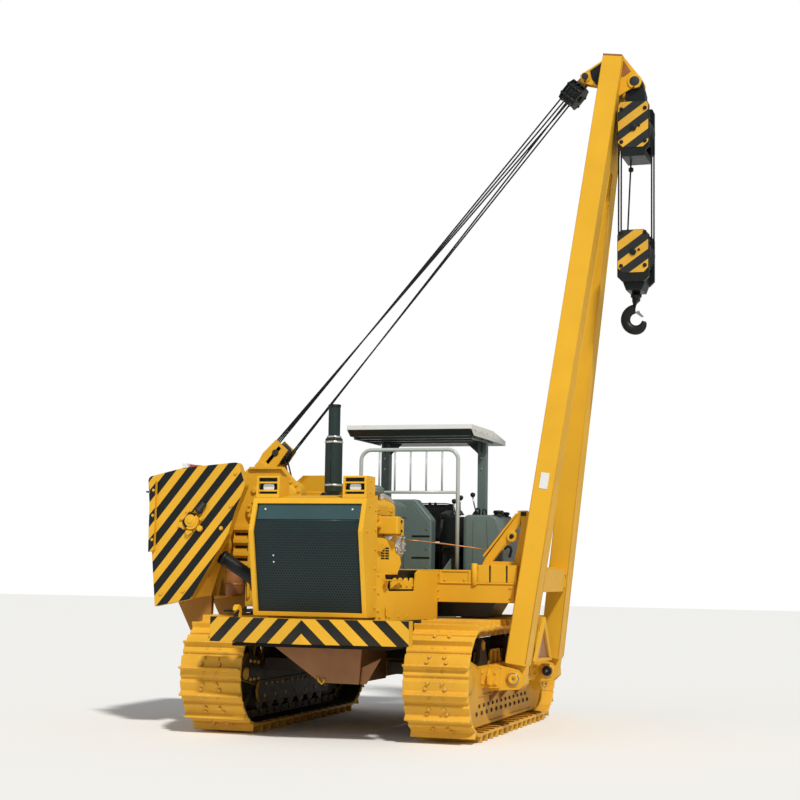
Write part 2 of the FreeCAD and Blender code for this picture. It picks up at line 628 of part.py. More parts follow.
panels = [
    lower_panel,
    prism("upper_panel_left", "XZ", [
        ("nose_back_x", "panel_upper"), ("nose_back_x", "hood_sill"), ("180", "hood_sill"),
        ("60", "1980"), ("0", "1750"), ("20", "1620"), ("70", "panel_upper")],
        "hood_half - hood_skin", "hood_skin"),
    fuse("side_panel_right", [
        box("panel_sheet_right", ("220", "-hood_half", "hull_top - 30"),
            ("nose_back_x - 220", "hood_skin", "hood_sill - hull_top + 30")),
        box("panel_foot_right", ("220", "-hood_half + hood_skin", "hull_top - 30"),
            ("nose_back_x - 220", "hood_half - hood_skin - hull_width / 2", "30"))])]
node("side_panels", group("side_panels", panels))
node("exhaust_stack", turned("exhaust_stack", "Z", ("stack_x", "stack_y", "nose_back_z"), [
    ("0", "0"), ("pipe_radius", "0"), ("pipe_radius", "30"), ("muffler_radius", "60"),
    ("muffler_radius", "muffler_length - 30"), ("pipe_radius", "muffler_length"),
    ("pipe_radius", "muffler_length + pipe_length"),
    ("0", "muffler_length + pipe_length")]))
node("air_intake", group("air_intake", [
    turned("precleaner", "Z", ("120", "370", "nose_back_z"), [
        ("0", "0"), ("0.6 * precleaner_radius", "0"), ("0.6 * precleaner_radius", "30"),
        ("precleaner_radius", "50"), ("precleaner_radius", "precleaner_height - 30"),
        ("0.6 * precleaner_radius", "precleaner_height"), ("0", "precleaner_height")]),
    box("air_cleaner", ("230", "hood_half", "1900"), ("200", "210", "240")),
    rod("air_duct", "Y", ("-200", "engine_half", "1800"), "140", "260")]))

# ---------------------------------------------------------------- platform

locker = box("bolster_locker", ("-bolster_rear", "800", "bolster_top"),
             ("bolster_rear - bolster_front", "340", "locker_height"))
boom_rest = prism("boom_rest", "YZ", about("bolster_reach", "bolster_top", [
    (-400, -10), (-400, 90), (-355, 130), (-30, 560), (-30, 600), (70, 600), (95, 510),
    (-10, 40), (-10, -10)]), "-rest_front - rest_thickness", "rest_thickness")
rest_window = prism("rest_window", "YZ", about("bolster_reach", "bolster_top", [
    (-270, 90), (-20, 430), (10, 400), (-60, 90)]),
    "-rest_front - rest_thickness - 10", "rest_thickness + 20")
rest_boss = rod("rest_boss", "X", ("-rest_front - rest_thickness", "bolster_reach - 75",
                                   "bolster_top + 330"), "52", "rest_thickness + 30")
node("cross_bolster", fuse("cross_bolster", [
    box("bolster_beam", ("-bolster_rear", "-winch_inner", "bolster_low"),
        ("bolster_rear - bolster_front", "bolster_reach + winch_inner",
         "bolster_top - bolster_low")),
    box("bolster_seat", ("-bolster_rear", "-hull_width / 2", "hull_top"),
        ("bolster_rear - bolster_front", "hull_width", "bolster_low - hull_top + 10")),
    locker, cut("boom_rest_frame", boom_rest, rest_window), rest_boss]))
node("platform_deck", box("platform_deck", ("-deck_rear", "-winch_inner", "deck_level"),
                          ("deck_rear - deck_front", "deck_left + winch_inner",
                           "deck_thickness")))
DECK_TOP = "deck_level + deck_thickness"
tank = prism("tank_block", "YZ", [
    ("tank_inner", DECK_TOP), ("tank_inner", "tank_top"), ("tank_outer - 80", "tank_top"),
    ("tank_outer", "tank_top - 100"), ("tank_outer", DECK_TOP)],
    "-tank_rear", "tank_length")
node("side_tank_left", rounded("side_tank_left", tank, "X", "tank_radius",
                               lambda middle: middle.z > size("tank_top") - 120))
cowl = prism("cowl_block", "XZ", [
    ("-1060", DECK_TOP), ("-1060", "2290"), ("-1150", "2330"), ("-1250", "2260"),
    ("-1180", DECK_TOP)], "-150", "760")
node("dash_cowl", rounded("dash_cowl", cowl, "Y", "cowl_radius",
                          lambda middle: middle.z > size("deck_level") + 100))
node("seat_base", box("seat_base", ("-seat_rear", "seat_y + 20", DECK_TOP),
                      ("420", "seat_width - 40", "340")))
cushion = box("cushion_block", ("-seat_rear", "seat_y", f"{DECK_TOP} + 340"),
              ("460", "seat_width", "110"))
node("seat_cushion", rounded("seat_cushion", cushion, "Y", "seat_radius",
                             lambda middle: middle.x > -size("seat_rear") + 10))
back = box("back_block", ("-seat_rear - 90", "seat_y", f"{DECK_TOP} + 340"),
           ("90", "seat_width", "560"))
node("seat_back", rounded("seat_back", back, "Y", "seat_radius",
                          lambda middle: middle.z > size("deck_level") + 500))
levers = []
for place, along in enumerate(("-1450", "-1560")):
    levers.append(fuse(f"lever_{place}", [
        box(f"lever_bar_{place}", (f"{along} - 10", "792", "tank_top"), ("20", "16", "190")),
        rod(f"lever_knob_{place}", "Z", (along, "800", "tank_top + 180"), "24", "48")]))
node("control_levers", group("control_levers", levers))
rail_end = "(rail_start + rail_length)"
miter = "0.41 * rail_radius"
bars = [rod("rail_high", "Y", ("-rail_x", f"rail_start + rail_bend - {miter}", "rail_top"),
            "rail_radius", f"rail_length - 2 * rail_bend + 2 * {miter}"),
        box("rail_middle", ("-rail_x - bar_side", "rail_start", "rail_low - bar_side"),
            ("2 * bar_side", "rail_length", "2 * bar_side"))]
for word, at, lean in (("right", "rail_start", -45), ("left", rail_end, 45)):
    foot = ("-rail_x", at, DECK_TOP)
    bars.append(rod(f"rail_leg_{word}", "Z", foot, "rail_radius",
                    f"rail_top - rail_bend + {miter} - {DECK_TOP}"))
    corner = rod(f"rail_corner_{word}", "Z", ("-rail_x", at, "rail_top - rail_bend"),
                 "rail_radius", "sqrt(2) * rail_bend")
    corner.Placement.Rotation = FreeCAD.Rotation(FreeCAD.Vector(1, 0, 0), lean)
    bars.append(corner)
for place in range(5):
    bars.append(box(f"rail_bar_{place}",
                    ("-rail_x - bar_side", f"rail_start + 190 + {place} * bar_spacing",
                     "rail_low"), ("2 * bar_side", "2 * bar_side", "rail_top - rail_low")))
node("guard_rail", fuse("guard_rail", bars, refine=False))
posts = [box(f"canopy_post_{word}", ("-2200", start, low),
             ("100", "90", f"canopy_low - ({low})"))
         for word, start, low in (("left", "810", "tank_top"), ("right", "-290", DECK_TOP))]
node("canopy_posts", group("canopy_posts", posts))
roof = prism("roof_shell", "XZ", [
    ("-1200", "canopy_low + 60"), ("-1200", "canopy_top"), ("-2100", "canopy_top"),
    ("-2650", "canopy_top - 70"), ("-2650", "canopy_low - 10"), ("-2200", "canopy_low"),
    ("-1300", "canopy_low")], "canopy_side - 1360", "1360")
node("canopy_roof", rounded("canopy_roof", roof, "Y", "canopy_radius",
                            lambda middle: middle.z > size("canopy_top") - 80))

# ---------------------------------------------------------------- winch

middle_x = "-(foot_front + foot_rear) / 2"
plates = [prism(f"winch_plate_{word}", "YZ", [
    ("-winch_outer", "winch_step"), ("-winch_outer + 140", "winch_step"),
    ("-winch_outer + 140", "winch_low"), ("-winch_inner", "winch_low"),
    ("-winch_inner", "winch_top - 260"), ("-winch_inner - 240", "winch_top"),
    ("-winch_outer + 160", "winch_top"), ("-winch_outer", "winch_top - 140")],
    start, "winch_plate")
    for word, start in (("front", "-winch_front - winch_plate"), ("rear", "-winch_rear"))]
inside = "winch_rear - winch_front - 2 * winch_plate"
pin_lugs = [prism(f"winch_lug_{word}", "YZ", [
    ("-winch_outer + 150", "winch_top - 200"), ("-winch_outer + 10", "winch_top - 200"),
    ("-winch_pin_y - 75", "winch_pin_z - 50"), ("-winch_pin_y - 75", "winch_pin_z + 30"),
    ("-winch_pin_y - 35", "winch_pin_z + 75"), ("-winch_pin_y + 35", "winch_pin_z + 75"),
    ("-winch_outer + 150", "winch_top - 60")], f"{middle_x} {start}", "winch_plate",
    holes=[("-winch_pin_y", "winch_pin_z", "pin_radius")])
    for word, start in (("fore", "+ 130 + ear_gap"), ("aft", "- 130 - ear_gap - winch_plate"))]
node("winch_frame", fuse("winch_frame", plates + pin_lugs + [
    box("winch_crossbeam", ("-winch_rear + winch_plate", "-winch_outer + 10",
                            "winch_top - 210"), (inside, "140", "120")),
    box("winch_floor", ("-winch_rear + winch_plate", "-winch_outer + 140", "winch_low"),
        (inside, "winch_outer - winch_inner - 140", "60")),
    box("bearer_front", ("-winch_front - 300", "-winch_inner - 200", "winch_low - 40"),
        ("200", "winch_inner + 200 - hull_width / 2", "60")),
    box("bearer_rear", ("-winch_rear + 100", "-winch_inner - 200", "winch_low - 40"),
        ("200", "winch_inner + 200 - hull_width / 2", "60"))]))
drums = []
for name, low in (("hoist", "1640"), ("boom", "2150")):
    drums.append(turned(f"{name}_drum", "X", ("-winch_rear + winch_plate", "-drum_y", low), [
        ("0", "0"), ("drum_radius", "0"), ("drum_radius", "200"), ("flange_radius", "200"),
        ("flange_radius", "200 + flange_thickness"), ("drum_radius", "200 + flange_thickness"),
        ("drum_radius", f"{inside} - 200 - flange_thickness"),
        ("flange_radius", f"{inside} - 200 - flange_thickness"),
        ("flange_radius", f"{inside} - 200"), ("drum_radius", f"{inside} - 200"),
        ("drum_radius", inside), ("0", inside)]))
drums.append(rod("bearing_cover", "X", ("-winch_front", "-1020", "2180"), "115", "35"))
drums.append(rod("gearcase", "X", ("-winch_front", "-640", "2350"), "130", "120"))
drums.append(turned("winch_motor", "Z", ("-winch_front + 40", "-winch_outer + 35",
                                         "winch_step - 290"), [
    ("0", "0"), ("0.6 * motor_radius", "12"), ("0.9 * motor_radius", "45"),
    ("motor_radius", "90"), ("motor_radius", "290"), ("0", "290")]))
node("winch_drums", group("winch_drums", drums))
pins = [rod("winch_pin", "X", (f"{middle_x} - 130 - ear_gap - winch_plate", "-winch_pin_y",
                               "winch_pin_z"),
            "pin_radius", "2 * (130 + ear_gap + winch_plate)")]

# ---------------------------------------------------------------- boom and its mount

beam = box("boom_beam_block", ("-foot_rear - 150", "side_face", "beam_low"),
           ("foot_rear - foot_front + 300", "beam_depth", "beam_top - beam_low"))
mount_parts = [rounded("boom_beam", beam, "X", "beam_radius",
                       lambda middle: middle.y > size("side_face") + 1)]
for word, along in (("front", "foot_front"), ("rear", "foot_rear")):
    for name, start in (("fore", f"-{along} + lug_length / 2 + ear_gap"),
                        ("aft", f"-{along} - lug_length / 2 - ear_gap - ear_thickness")):
        mount_parts.append(prism(
            f"foot_ear_{word}_{name}", "YZ",
            [("side_face + 100", "beam_low - 30"),
             ("foot_y + ear_radius / 2", "foot_z - ear_radius"),
             ("foot_y + ear_radius", "foot_z - ear_radius / 2"),
             ("foot_y + 0.95 * ear_radius", "foot_z + ear_radius / 4"),
             ("foot_y + ear_radius / 2", "foot_z + 0.85 * ear_radius"),
             ("foot_y", "foot_z + ear_radius"),
             ("side_face + 180", "beam_top + 30"), ("side_face + 100", "beam_top + 30")],
            start, "ear_thickness", holes=[("foot_y", "foot_z", "pin_radius")]))
node("boom_mount", fuse("boom_mount", mount_parts))
for word, along in (("front", "foot_front"), ("rear", "foot_rear")):
    length = "lug_length + 2 * ear_gap + 2 * ear_thickness"
    start = f"(-{along} - lug_length / 2 - ear_gap - ear_thickness)"
    pins.append(fuse(f"foot_pin_{word}", [
        rod(f"foot_pin_bar_{word}", "X", (start, "foot_y", "foot_z"), "pin_radius", length),
        rod(f"foot_pin_cap_{word}", "X", (f"{start} + {length}", "foot_y", "foot_z"),
            "cap_radius", "cap_thickness")]))

BOOM_LEAN = -size("boom_tilt") / 10
CROTCH_UP = 5200
CROTCH_HALF = 60


def leg_inset(up):
    """How far a leg's inner edge has leaned towards the middle at a height."""
    spread = (size("foot_rear") - size("foot_front")) / 2
    travel = spread - size("leg_thickness") / 2 - CROTCH_HALF
    return travel * (up - size("leg_start")) / (CROTCH_UP - size("leg_start"))


BOOM_SEAT = ("0", "foot_y", "foot_z")
legs = prism("boom_legs", "XZ",
             [("-foot_front + leg_thickness / 2", "leg_start"),
              (f"{middle_x} + head_half", "boom_length"),
              (f"{middle_x} - head_half", "boom_length"),
              ("-foot_rear - leg_thickness / 2", "leg_start"),
              ("-foot_rear + leg_thickness / 2", "leg_start"),
              (f"{middle_x} - {CROTCH_HALF}", f"{CROTCH_UP}"),
              (f"{middle_x} + {CROTCH_HALF}", f"{CROTCH_UP}"),
              ("-foot_front - leg_thickness / 2", "leg_start")],
             "-boom_width / 2", "boom_width")
lugs = [prism(f"boom_lug_{word}", "YZ",
              [("-boom_width / 2", "leg_start"), ("-boom_width / 2", "-40"), ("-50", "-90"),
               ("50", "-90"), ("boom_width / 2", "-40"), ("boom_width / 2", "leg_start")],
              f"-{along} - lug_length / 2", "lug_length",
              holes=[("0", "0", "pin_radius + pin_clearance")])
        for word, along in (("front", "foot_front"), ("rear", "foot_rear"))]
tilted("boom_cross_member", prism(
    "boom_cross_member", "XZ",
    [(f"-foot_front - leg_thickness / 2 - {leg_inset(850)}", "850"),
     (f"-foot_front - leg_thickness / 2 - {leg_inset(1080)}", "1080"),
     (f"-foot_rear + leg_thickness / 2 + {leg_inset(1080)}", "1080"),
     (f"-foot_rear + leg_thickness / 2 + {leg_inset(850)}", "850")], "-80", "160"),
    BOOM_SEAT, BOOM_LEAN)
ears = []
for name, start in (("fore", f"{middle_x} + 30"), ("aft", f"{middle_x} - 55")):
    ears.append(prism(f"line_ear_{name}", "YZ",
                      [("-boom_width / 2", "boom_length"),
                       ("-line_pin_out - 60", "line_pin_up + 20"),
                       ("-line_pin_out - 50", "line_pin_up - 50"),
                       ("-line_pin_out + 20", "line_pin_up - 70"),
                       ("-boom_width / 2", "line_pin_up - 90")], start, "25",
                      holes=[("-line_pin_out", "line_pin_up", "head_pin_radius")]))
for name, start in (("fore", f"{middle_x} + 90"), ("aft", f"{middle_x} - 115")):
    ears.append(prism(f"load_ear_{name}", "YZ",
                      [("boom_width / 2", "boom_length"), ("load_pin_out + 60",
                                                           "load_pin_up + 40"),
                       ("load_pin_out + 60", "load_pin_up - 50"),
                       ("load_pin_out - 20", "load_pin_up - 70"),
                       ("boom_width / 2", "load_pin_up - 160")], start, "25",
                      holes=[("load_pin_out", "load_pin_up", "head_pin_radius")]))
tilted("boom_frame", fuse("boom_frame", [legs] + lugs + ears), BOOM_SEAT, BOOM_LEAN)
tilted("boom_head_pins", group("boom_head_pins", [
    rod("line_pin", "X", (f"{middle_x} - 89", "-line_pin_out", "line_pin_up"),
        "head_pin_radius", "178"),
    rod("load_pin", "X", (f"{middle_x} - 115", "load_pin_out", "load_pin_up"),
        "head_pin_radius", "230")]), BOOM_SEAT, BOOM_LEAN)

# ---------------------------------------------------------------- boom line tackle


def boom_point(out, up):
    """Where a point of the upright boom lies once the boom leans: (y, z)."""
    lean = math.radians(-BOOM_LEAN)
    return (size("foot_y") + out * math.cos(lean) + up * math.sin(lean),
            size("foot_z") - out * math.sin(lean) + up * math.cos(lean))


line_end = boom_point(-size("line_pin_out"), size("line_pin_up"))
line_run = (line_end[0] + size("winch_pin_y"), line_end[1] - size("winch_pin_z"))
LINE_LENGTH = math.hypot(*line_run)
LINE_LEAN = -math.degrees(math.atan2(line_run[0], line_run[1]))
LINE_SEAT = ("0", "-winch_pin_y", "winch_pin_z")
cheeks = [prism(f"line_cheek_{name}", "YZ",
                [("-70", "-60"), ("70", "-60"), ("110", "120"), ("90", "330"),
                 ("-90", "330"), ("-110", "120")], start, "20",
                holes=[("0", "0", "pin_radius + pin_clearance"),
                       ("0", "line_block_up", "30")])
          for name, start in (("fore", f"{middle_x} + 110"), ("aft", f"{middle_x} - 130"))]
tilted("line_block_cheeks", group("line_block_cheeks", cheeks), LINE_SEAT, LINE_LEAN)
sheaves = [rod(f"line_sheave_{place}", "X", (f"{middle_x} - 85 + {place} * 60", "0", "line_block_up"),
               "line_sheave_radius", "sheave_width") for place in range(3)]
tilted("line_block_sheaves", fuse("line_block_sheaves", sheaves + [
    rod("line_axle", "X", (f"{middle_x} - 130", "0", "line_block_up"), "30", "260")]),
    LINE_SEAT, LINE_LEAN)
head_cheeks = [prism(f"head_cheek_{name}", "YZ",
                     [("-40", f"{LINE_LENGTH} + 50"), ("40", f"{LINE_LENGTH} + 50"),
                      ("90", f"{LINE_LENGTH} - 120"), ("90", f"{LINE_LENGTH} - 330"),
                      ("-90", f"{LINE_LENGTH} - 330"), ("-90", f"{LINE_LENGTH} - 120")],
                     start, "20", holes=[("0", f"{LINE_LENGTH} - head_block_down", "25")])
               for name, start in (("fore", f"{middle_x} + 95"), ("aft", f"{middle_x} - 115"))]
tilted("head_block_cheeks", group("head_block_cheeks", head_cheeks), LINE_SEAT, LINE_LEAN)
head_sheaves = [rod(f"head_sheave_{place}", "X",
                    (f"{middle_x} - 85 + {place} * 60", "0", f"{LINE_LENGTH} - head_block_down"),
                    "line_sheave_radius", "sheave_width") for place in range(3)]
tilted("head_block_sheaves", fuse("head_block_sheaves", head_sheaves + [
    rod("head_axle", "X", (f"{middle_x} - 115", "0", f"{LINE_LENGTH} - head_block_down"), "25", "230")]),
    LINE_SEAT, LINE_LEAN)
rope_side = "line_sheave_radius + rope_radius + seat_gap"
ropes = [rod(f"boom_rope_{place}", "Z",
             (f"{middle_x} - 60 + {place // 2} * 60",
              f"({rope_side}) * {2 * (place % 2) - 1}", "line_block_up"),
             "rope_radius", f"{LINE_LENGTH} - line_block_up - head_block_down") for place in range(5)]
tilted("boom_ropes", group("boom_ropes", ropes), LINE_SEAT, LINE_LEAN)

# ---------------------------------------------------------------- load tackle

load_y, load_z = boom_point(size("load_pin_out"), size("load_pin_up"))
LOAD_SEAT = (middle_x, f"{load_y}", f"{load_z}")
shackle = prism("upper_block_shackle", "YZ",
                [("-60", "40"), ("60", "40"), ("100", "-120"), ("100", "-230"),
                 ("-100", "-230"), ("-100", "-120")], "-80", "160",
                holes=[("0", "0", "head_pin_radius + pin_clearance")])


def block_plates(name, axle, outline):
    """The two side plates of a load block, from offsets about its sheaves' axle."""
    return [prism(f"{name}_{word}", "YZ", about("0", f"-{axle}", outline), start,
                  "block_plate")
            for word, start in (("fore", "block_half"), ("aft", "-block_half - block_plate"))]


def load_sheaves(name, axle):
    """Two rope sheaves side by side on their axle."""
    wheels = [rod(f"{name}_{word}", "X", (start, "0", f"-{axle}"), "load_sheave_radius",
                  "sheave_width")
              for word, start in (("fore", "sheave_width"), ("aft", "-2 * sheave_width"))]
    return fuse(name, wheels + [rod(f"{name}_axle", "X", ("-block_half", "0", f"-{axle}"),
                                    "35", "2 * block_half")])


upper_core = [box("upper_crown", ("-block_half", "-100", "-290"), ("2 * block_half", "200", "60")),
              box("upper_base", ("-block_half", "-120", "-upper_block_drop - 290"),
                  ("2 * block_half", "240", "70"))]
tilted("upper_block", fuse("upper_block", [shackle] + upper_core + block_plates(
    "upper_plate", "upper_block_drop", [
        (-140, 280), (140, 280), (160, 240), (160, -190), (120, -230), (120, -290),
        (-120, -290), (-120, -230), (-160, -190), (-160, 240)])), LOAD_SEAT, 0)
tilted("upper_block_sheaves", load_sheaves("upper_block_sheaves", "upper_block_drop"),
       LOAD_SEAT, 0)
load_side = "load_sheave_radius + rope_radius + seat_gap"
tilted("load_ropes", group("load_ropes", [
    rod(f"load_rope_{place}", "Z",
        (f"{-1.5 + 3 * (place % 2)} * sheave_width", f"({load_side}) * {2 * (place // 2) - 1}",
         "-hook_block_drop"), "rope_radius", "hook_block_drop - upper_block_drop")
    for place in range(4)]), LOAD_SEAT, 0)
BLOCK_FOOT = "(-hook_block_drop - 380)"
hook_base = prism("hook_base", "YZ", about("0", BLOCK_FOOT, [
    (-110, 180), (110, 180), (110, 80), (80, 0), (-80, 0), (-110, 80)]),
    "-block_half", "2 * block_half")
hook_bore = rod("hook_bore", "Z", ("0", "0", f"{BLOCK_FOOT} - 30"),
                "hook_shank_radius + pin_clearance", "120")
tilted("hook_block", cut("hook_block", fuse("hook_block_body", [hook_base] + block_plates(
    "hook_plate", "hook_block_drop", [
        (-110, 230), (110, 230), (160, 180), (160, -250), (110, -300), (-110, -300),
        (-160, -250), (-160, 180)])), hook_bore), LOAD_SEAT, 0)
tilted("hook_block_sheaves", load_sheaves("hook_block_sheaves", "hook_block_drop"),
       LOAD_SEAT, 0)


HOOK_TOP = f"({BLOCK_FOOT} - hook_stem)"


def hook_outline():
    """The forged hook's edge: round its throat to the tip, then back up its outside."""
    throat = size("hook_throat")
    back = size("hook_back")
    tip = size("hook_tip")
    shank = size("hook_shank_radius")
    centre = -throat - back - shank
    points = []
    for step in range(13):
        turn = math.radians(75 + step * 23)
        points.append((throat * math.cos(turn), centre + throat * math.sin(turn)))
    points.append((throat + tip, centre + tip))
    for step in range(12):
        turn = math.radians(350 - step * 20)
        share = math.sin(math.pi / 2 * min(1, (step + 1) / 5))
        reach = throat + tip + (back - tip) * share
        points.append((reach * math.cos(turn), centre + reach * math.sin(turn)))
    points.append((-shank, 0))
    points.append((shank, 0))
    return [(f"{across:.3f}", f"{HOOK_TOP} + ({up:.3f})") for across, up in points]


tilted("hook", fuse("hook", [
    rod("hook_shank", "Z", ("0", "0", f"{HOOK_TOP} - hook_shank_radius"),
        "hook_shank_radius", "hook_stem + hook_shank_radius + 89"),
    prism("hook_bowl", "YZ", hook_outline(), "-hook_shank_radius",
          "2 * hook_shank_radius")]), LOAD_SEAT, 0)

# ---------------------------------------------------------------- counterweight

WEIGHT_PIVOT = ("-weight_pivot_y", "weight_pivot_z")
face = prism("face_plate", "YZ", about(*WEIGHT_PIVOT, [
    (-405, 1585), (-25, 1675), (565, 1730), (645, 1505), (545, 1250), (475, 1025), (95, 385),
    (-290, 305), (-340, 840)]), "weight_front - weight_skin", "weight_skin")
face_flange = prism("face_flange", "YZ", about(*WEIGHT_PIVOT, [
    (-360, 840), (-300, 860), (-300, 1540), (-360, 1530)]), "weight_front - 10", "55")
face_boss = rod("face_boss", "X", ("weight_front - 10", "-weight_pivot_y + 88",
                                   "weight_pivot_z + 1151"), "hub_boss_radius", "55")
node("counterweight_face", fuse("counterweight_face", [
    rounded("face_shape", face, "X", "weight_radius",
            lambda middle: middle.z > size("weight_pivot_z") + 1500), face_flange, face_boss]))
SLAB_OUTLINE = [("-weight_side_reach", "2300")] + about(*WEIGHT_PIVOT, [
    (230, 1450), (230, 850), (90, 410), (-340, 350)]) + [("-weight_side_reach", "1700")]
slabs = [prism(f"slab_{place}", "YZ", SLAB_OUTLINE,
               f"-slab_front - slab_length - {place} * slab_spacing", "slab_length")
         for place in range(int(size("slab_count")))]
slab_core = box("slab_core", ("-slab_front - slab_length - (slab_count - 1) * slab_spacing + 350",
                              "-weight_pivot_y - 240", "weight_pivot_z + 600"),
                ("weight_front - weight_skin + slab_front + slab_length"
                 " + (slab_count - 1) * slab_spacing - 350", "300", "500"))
lug_places = ("ram_x + ram_eye_width / 2 + ear_gap",
              "ram_x - ram_eye_width / 2 - ear_gap - cheek_thickness")
ram_lugs = [box(f"ram_lug_{place}", (start, "-ram_eye_y - 330", "ram_eye_z - 90"),
                ("cheek_thickness", "380", "180"))
            for place, start in enumerate(lug_places)]
node("counterweight_slabs", fuse("counterweight_slabs", slabs + [slab_core] + ram_lugs))
arms = [prism(f"weight_arm_{place}", "YZ", about(*WEIGHT_PIVOT, [
    (-75, -60), (75, -60), (90, 409.7), (-290, 356.7)]), start, "weight_arm",
    holes=[(*WEIGHT_PIVOT, "pin_radius + pin_clearance")])
    for place, start in enumerate(("-330", "-1200"))]
node("counterweight_arms", group("counterweight_arms", arms))
pivot_parts = [box("weight_beam", ("-1400", "-side_face - 120", "beam_low"),
                   ("1250", "120", "beam_top - beam_low"))]
for place, start in enumerate(("-330 + weight_arm + ear_gap", "-330 - ear_gap - 40",
                               "-1200 + weight_arm + ear_gap", "-1200 - ear_gap - 40")):
    pivot_parts.append(prism(
        f"weight_ear_{place}", "YZ",
        [("-side_face - 60", "beam_low - 40"), ("-side_face - 60", "beam_top"), *about(*WEIGHT_PIVOT, [
            (60, -100), (75, 0), (40, 75), (-40, 75), (-75, 0), (-75, -200)])],
        start, "40", holes=[(*WEIGHT_PIVOT, "pin_radius")]))
for place, start in enumerate(("-330", "-1200")):
    pins.append(rod(f"weight_pin_{place}", "X", (f"{start} - ear_gap - 40", *WEIGHT_PIVOT),
                    "pin_radius", "weight_arm + 2 * ear_gap + 80"))

# The counterweight's cylinder, drawn along +Z from its base pin, then laid over.
cylinder_run = (size("ram_eye_y") - size("ram_base_y"), size("ram_eye_z") - size("ram_base_z"))
RAM_LENGTH = math.hypot(*cylinder_run)
RAM_LEAN = math.degrees(math.atan2(cylinder_run[0], cylinder_run[1]))
RAM_SEAT = ("ram_x", "-ram_base_y", "ram_base_z")
half_eye = "ram_eye_width / 2"
pin_bore = ("ram_pin_radius + pin_clearance", "ram_eye_width + 20")
tilted("ram_barrel", fuse("ram_barrel", [
    cut("barrel_shell",
        rod("barrel_tube", "Z", ("0", "0", "135"), "ram_barrel_radius", f"{RAM_LENGTH} - 225"),
        rod("barrel_hollow", "Z", ("0", "0", "160"), "ram_rod_radius + pin_clearance",
            RAM_LENGTH)),
    cut("barrel_neck", box("neck_block", (f"-{half_eye}", "-50", "0"),
                           ("ram_eye_width", "100", "140")),
        rod("neck_bore", "X", (f"-{half_eye} - 10", "0", "0"), *pin_bore)),
    cut("barrel_eye", rod("barrel_boss", "X", (f"-{half_eye}", "0", "0"), "75",
                          "ram_eye_width"),
        rod("barrel_bore", "X", (f"-{half_eye} - 10", "0", "0"), *pin_bore))]),
    RAM_SEAT, RAM_LEAN)
tilted("ram_rod", fuse("ram_rod", [
    rod("rod_bar", "Z", ("0", "0", "175"), "ram_rod_radius", f"{RAM_LENGTH} - 185"),
    rod("rod_eye", "X", (f"-{half_eye}", "0", RAM_LENGTH), "60", "ram_eye_width")]),
    RAM_SEAT, RAM_LEAN)
ram_cheeks = [prism(f"ram_cheek_{place}", "YZ",
                    [("-hull_width / 2", "hull_top - 150"),
                     ("-hull_width / 2", "ram_base_z + 60"),
                     ("-ram_base_y + 20", "ram_base_z + 80"),
                     ("-ram_base_y - 70", "ram_base_z + 60"),
                     ("-ram_base_y - 70", "ram_base_z - 60")], start, "cheek_thickness",
                    holes=[("-ram_base_y", "ram_base_z", "ram_pin_radius")])
              for place, start in enumerate(lug_places)]
node("counterweight_mount", group("counterweight_mount",
                                  [fuse("weight_mount", pivot_parts)] + ram_cheeks))
pins.append(rod("ram_base_pin", "X", (lug_places[1], "-ram_base_y", "ram_base_z"),
                "ram_pin_radius", "ram_eye_width + 2 * ear_gap + 2 * cheek_thickness"))
node("pivot_pins", group("pivot_pins", pins))

doc.recompute()
os.makedirs("parts", exist_ok=True)
for item in doc.Objects:
    if "Invalid" in item.State or "Error" in item.State:
        raise RuntimeError(f"{item.Label} did not compute")
for piece in NODES:
    if piece.Shape.isNull() or not piece.Shape.isValid():
        raise RuntimeError(f"{piece.Label} has no valid shape")
for piece in NODES:
    piece.Shape.exportStep(f"parts/{piece.Label}.step")
print(len(NODES), "pieces written")
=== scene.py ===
"""Looks of a crawler pipelayer with a side boom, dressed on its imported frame.

Every length is in metres. The classes work in machine coordinates, with +X forward
from the idlers' axle, +Y to the left from the hull's middle and +Z up, and Shop.place
moves a point from there to the row's frame.
"""

import logging
import math
from dataclasses import dataclass, field
from enum import Enum

import bmesh
import bpy
from mathutils import Matrix, Vector


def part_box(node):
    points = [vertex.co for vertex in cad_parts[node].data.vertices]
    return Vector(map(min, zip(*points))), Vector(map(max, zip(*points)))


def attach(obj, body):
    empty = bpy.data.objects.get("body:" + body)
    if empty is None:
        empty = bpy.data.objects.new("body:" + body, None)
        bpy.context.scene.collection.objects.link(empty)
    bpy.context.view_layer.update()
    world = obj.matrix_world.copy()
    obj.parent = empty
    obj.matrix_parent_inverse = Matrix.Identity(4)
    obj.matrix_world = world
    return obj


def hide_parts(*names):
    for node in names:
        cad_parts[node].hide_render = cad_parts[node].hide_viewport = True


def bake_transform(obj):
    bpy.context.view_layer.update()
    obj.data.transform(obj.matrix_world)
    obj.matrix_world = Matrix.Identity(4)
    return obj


LOG = logging.getLogger("pipelayer")
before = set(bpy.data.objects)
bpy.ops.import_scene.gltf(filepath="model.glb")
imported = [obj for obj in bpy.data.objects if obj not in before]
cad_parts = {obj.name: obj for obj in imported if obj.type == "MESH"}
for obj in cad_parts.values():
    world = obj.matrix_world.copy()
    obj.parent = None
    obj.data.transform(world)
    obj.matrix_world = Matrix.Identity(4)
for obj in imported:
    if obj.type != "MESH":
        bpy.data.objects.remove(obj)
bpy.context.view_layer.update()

Point = tuple[float, float, float]
FORE = Vector((1.0, 0.0, 0.0))
LEFT = Vector((0.0, 1.0, 0.0))
UP = Vector((0.0, 0.0, 1.0))


class Body(Enum):
    """The bodies of the frame that pieces ride on."""

    CHASSIS = "chassis"
    BOOM = "boom"
    LINE_BLOCK = "line_block"
    HEAD_BLOCK = "head_block"
    UPPER_BLOCK = "upper_block"
    HOOK_BLOCK = "hook_block"
    HOOK = "hook"
    COUNTERWEIGHT = "counterweight"
    RAM_BARREL = "ram_barrel"


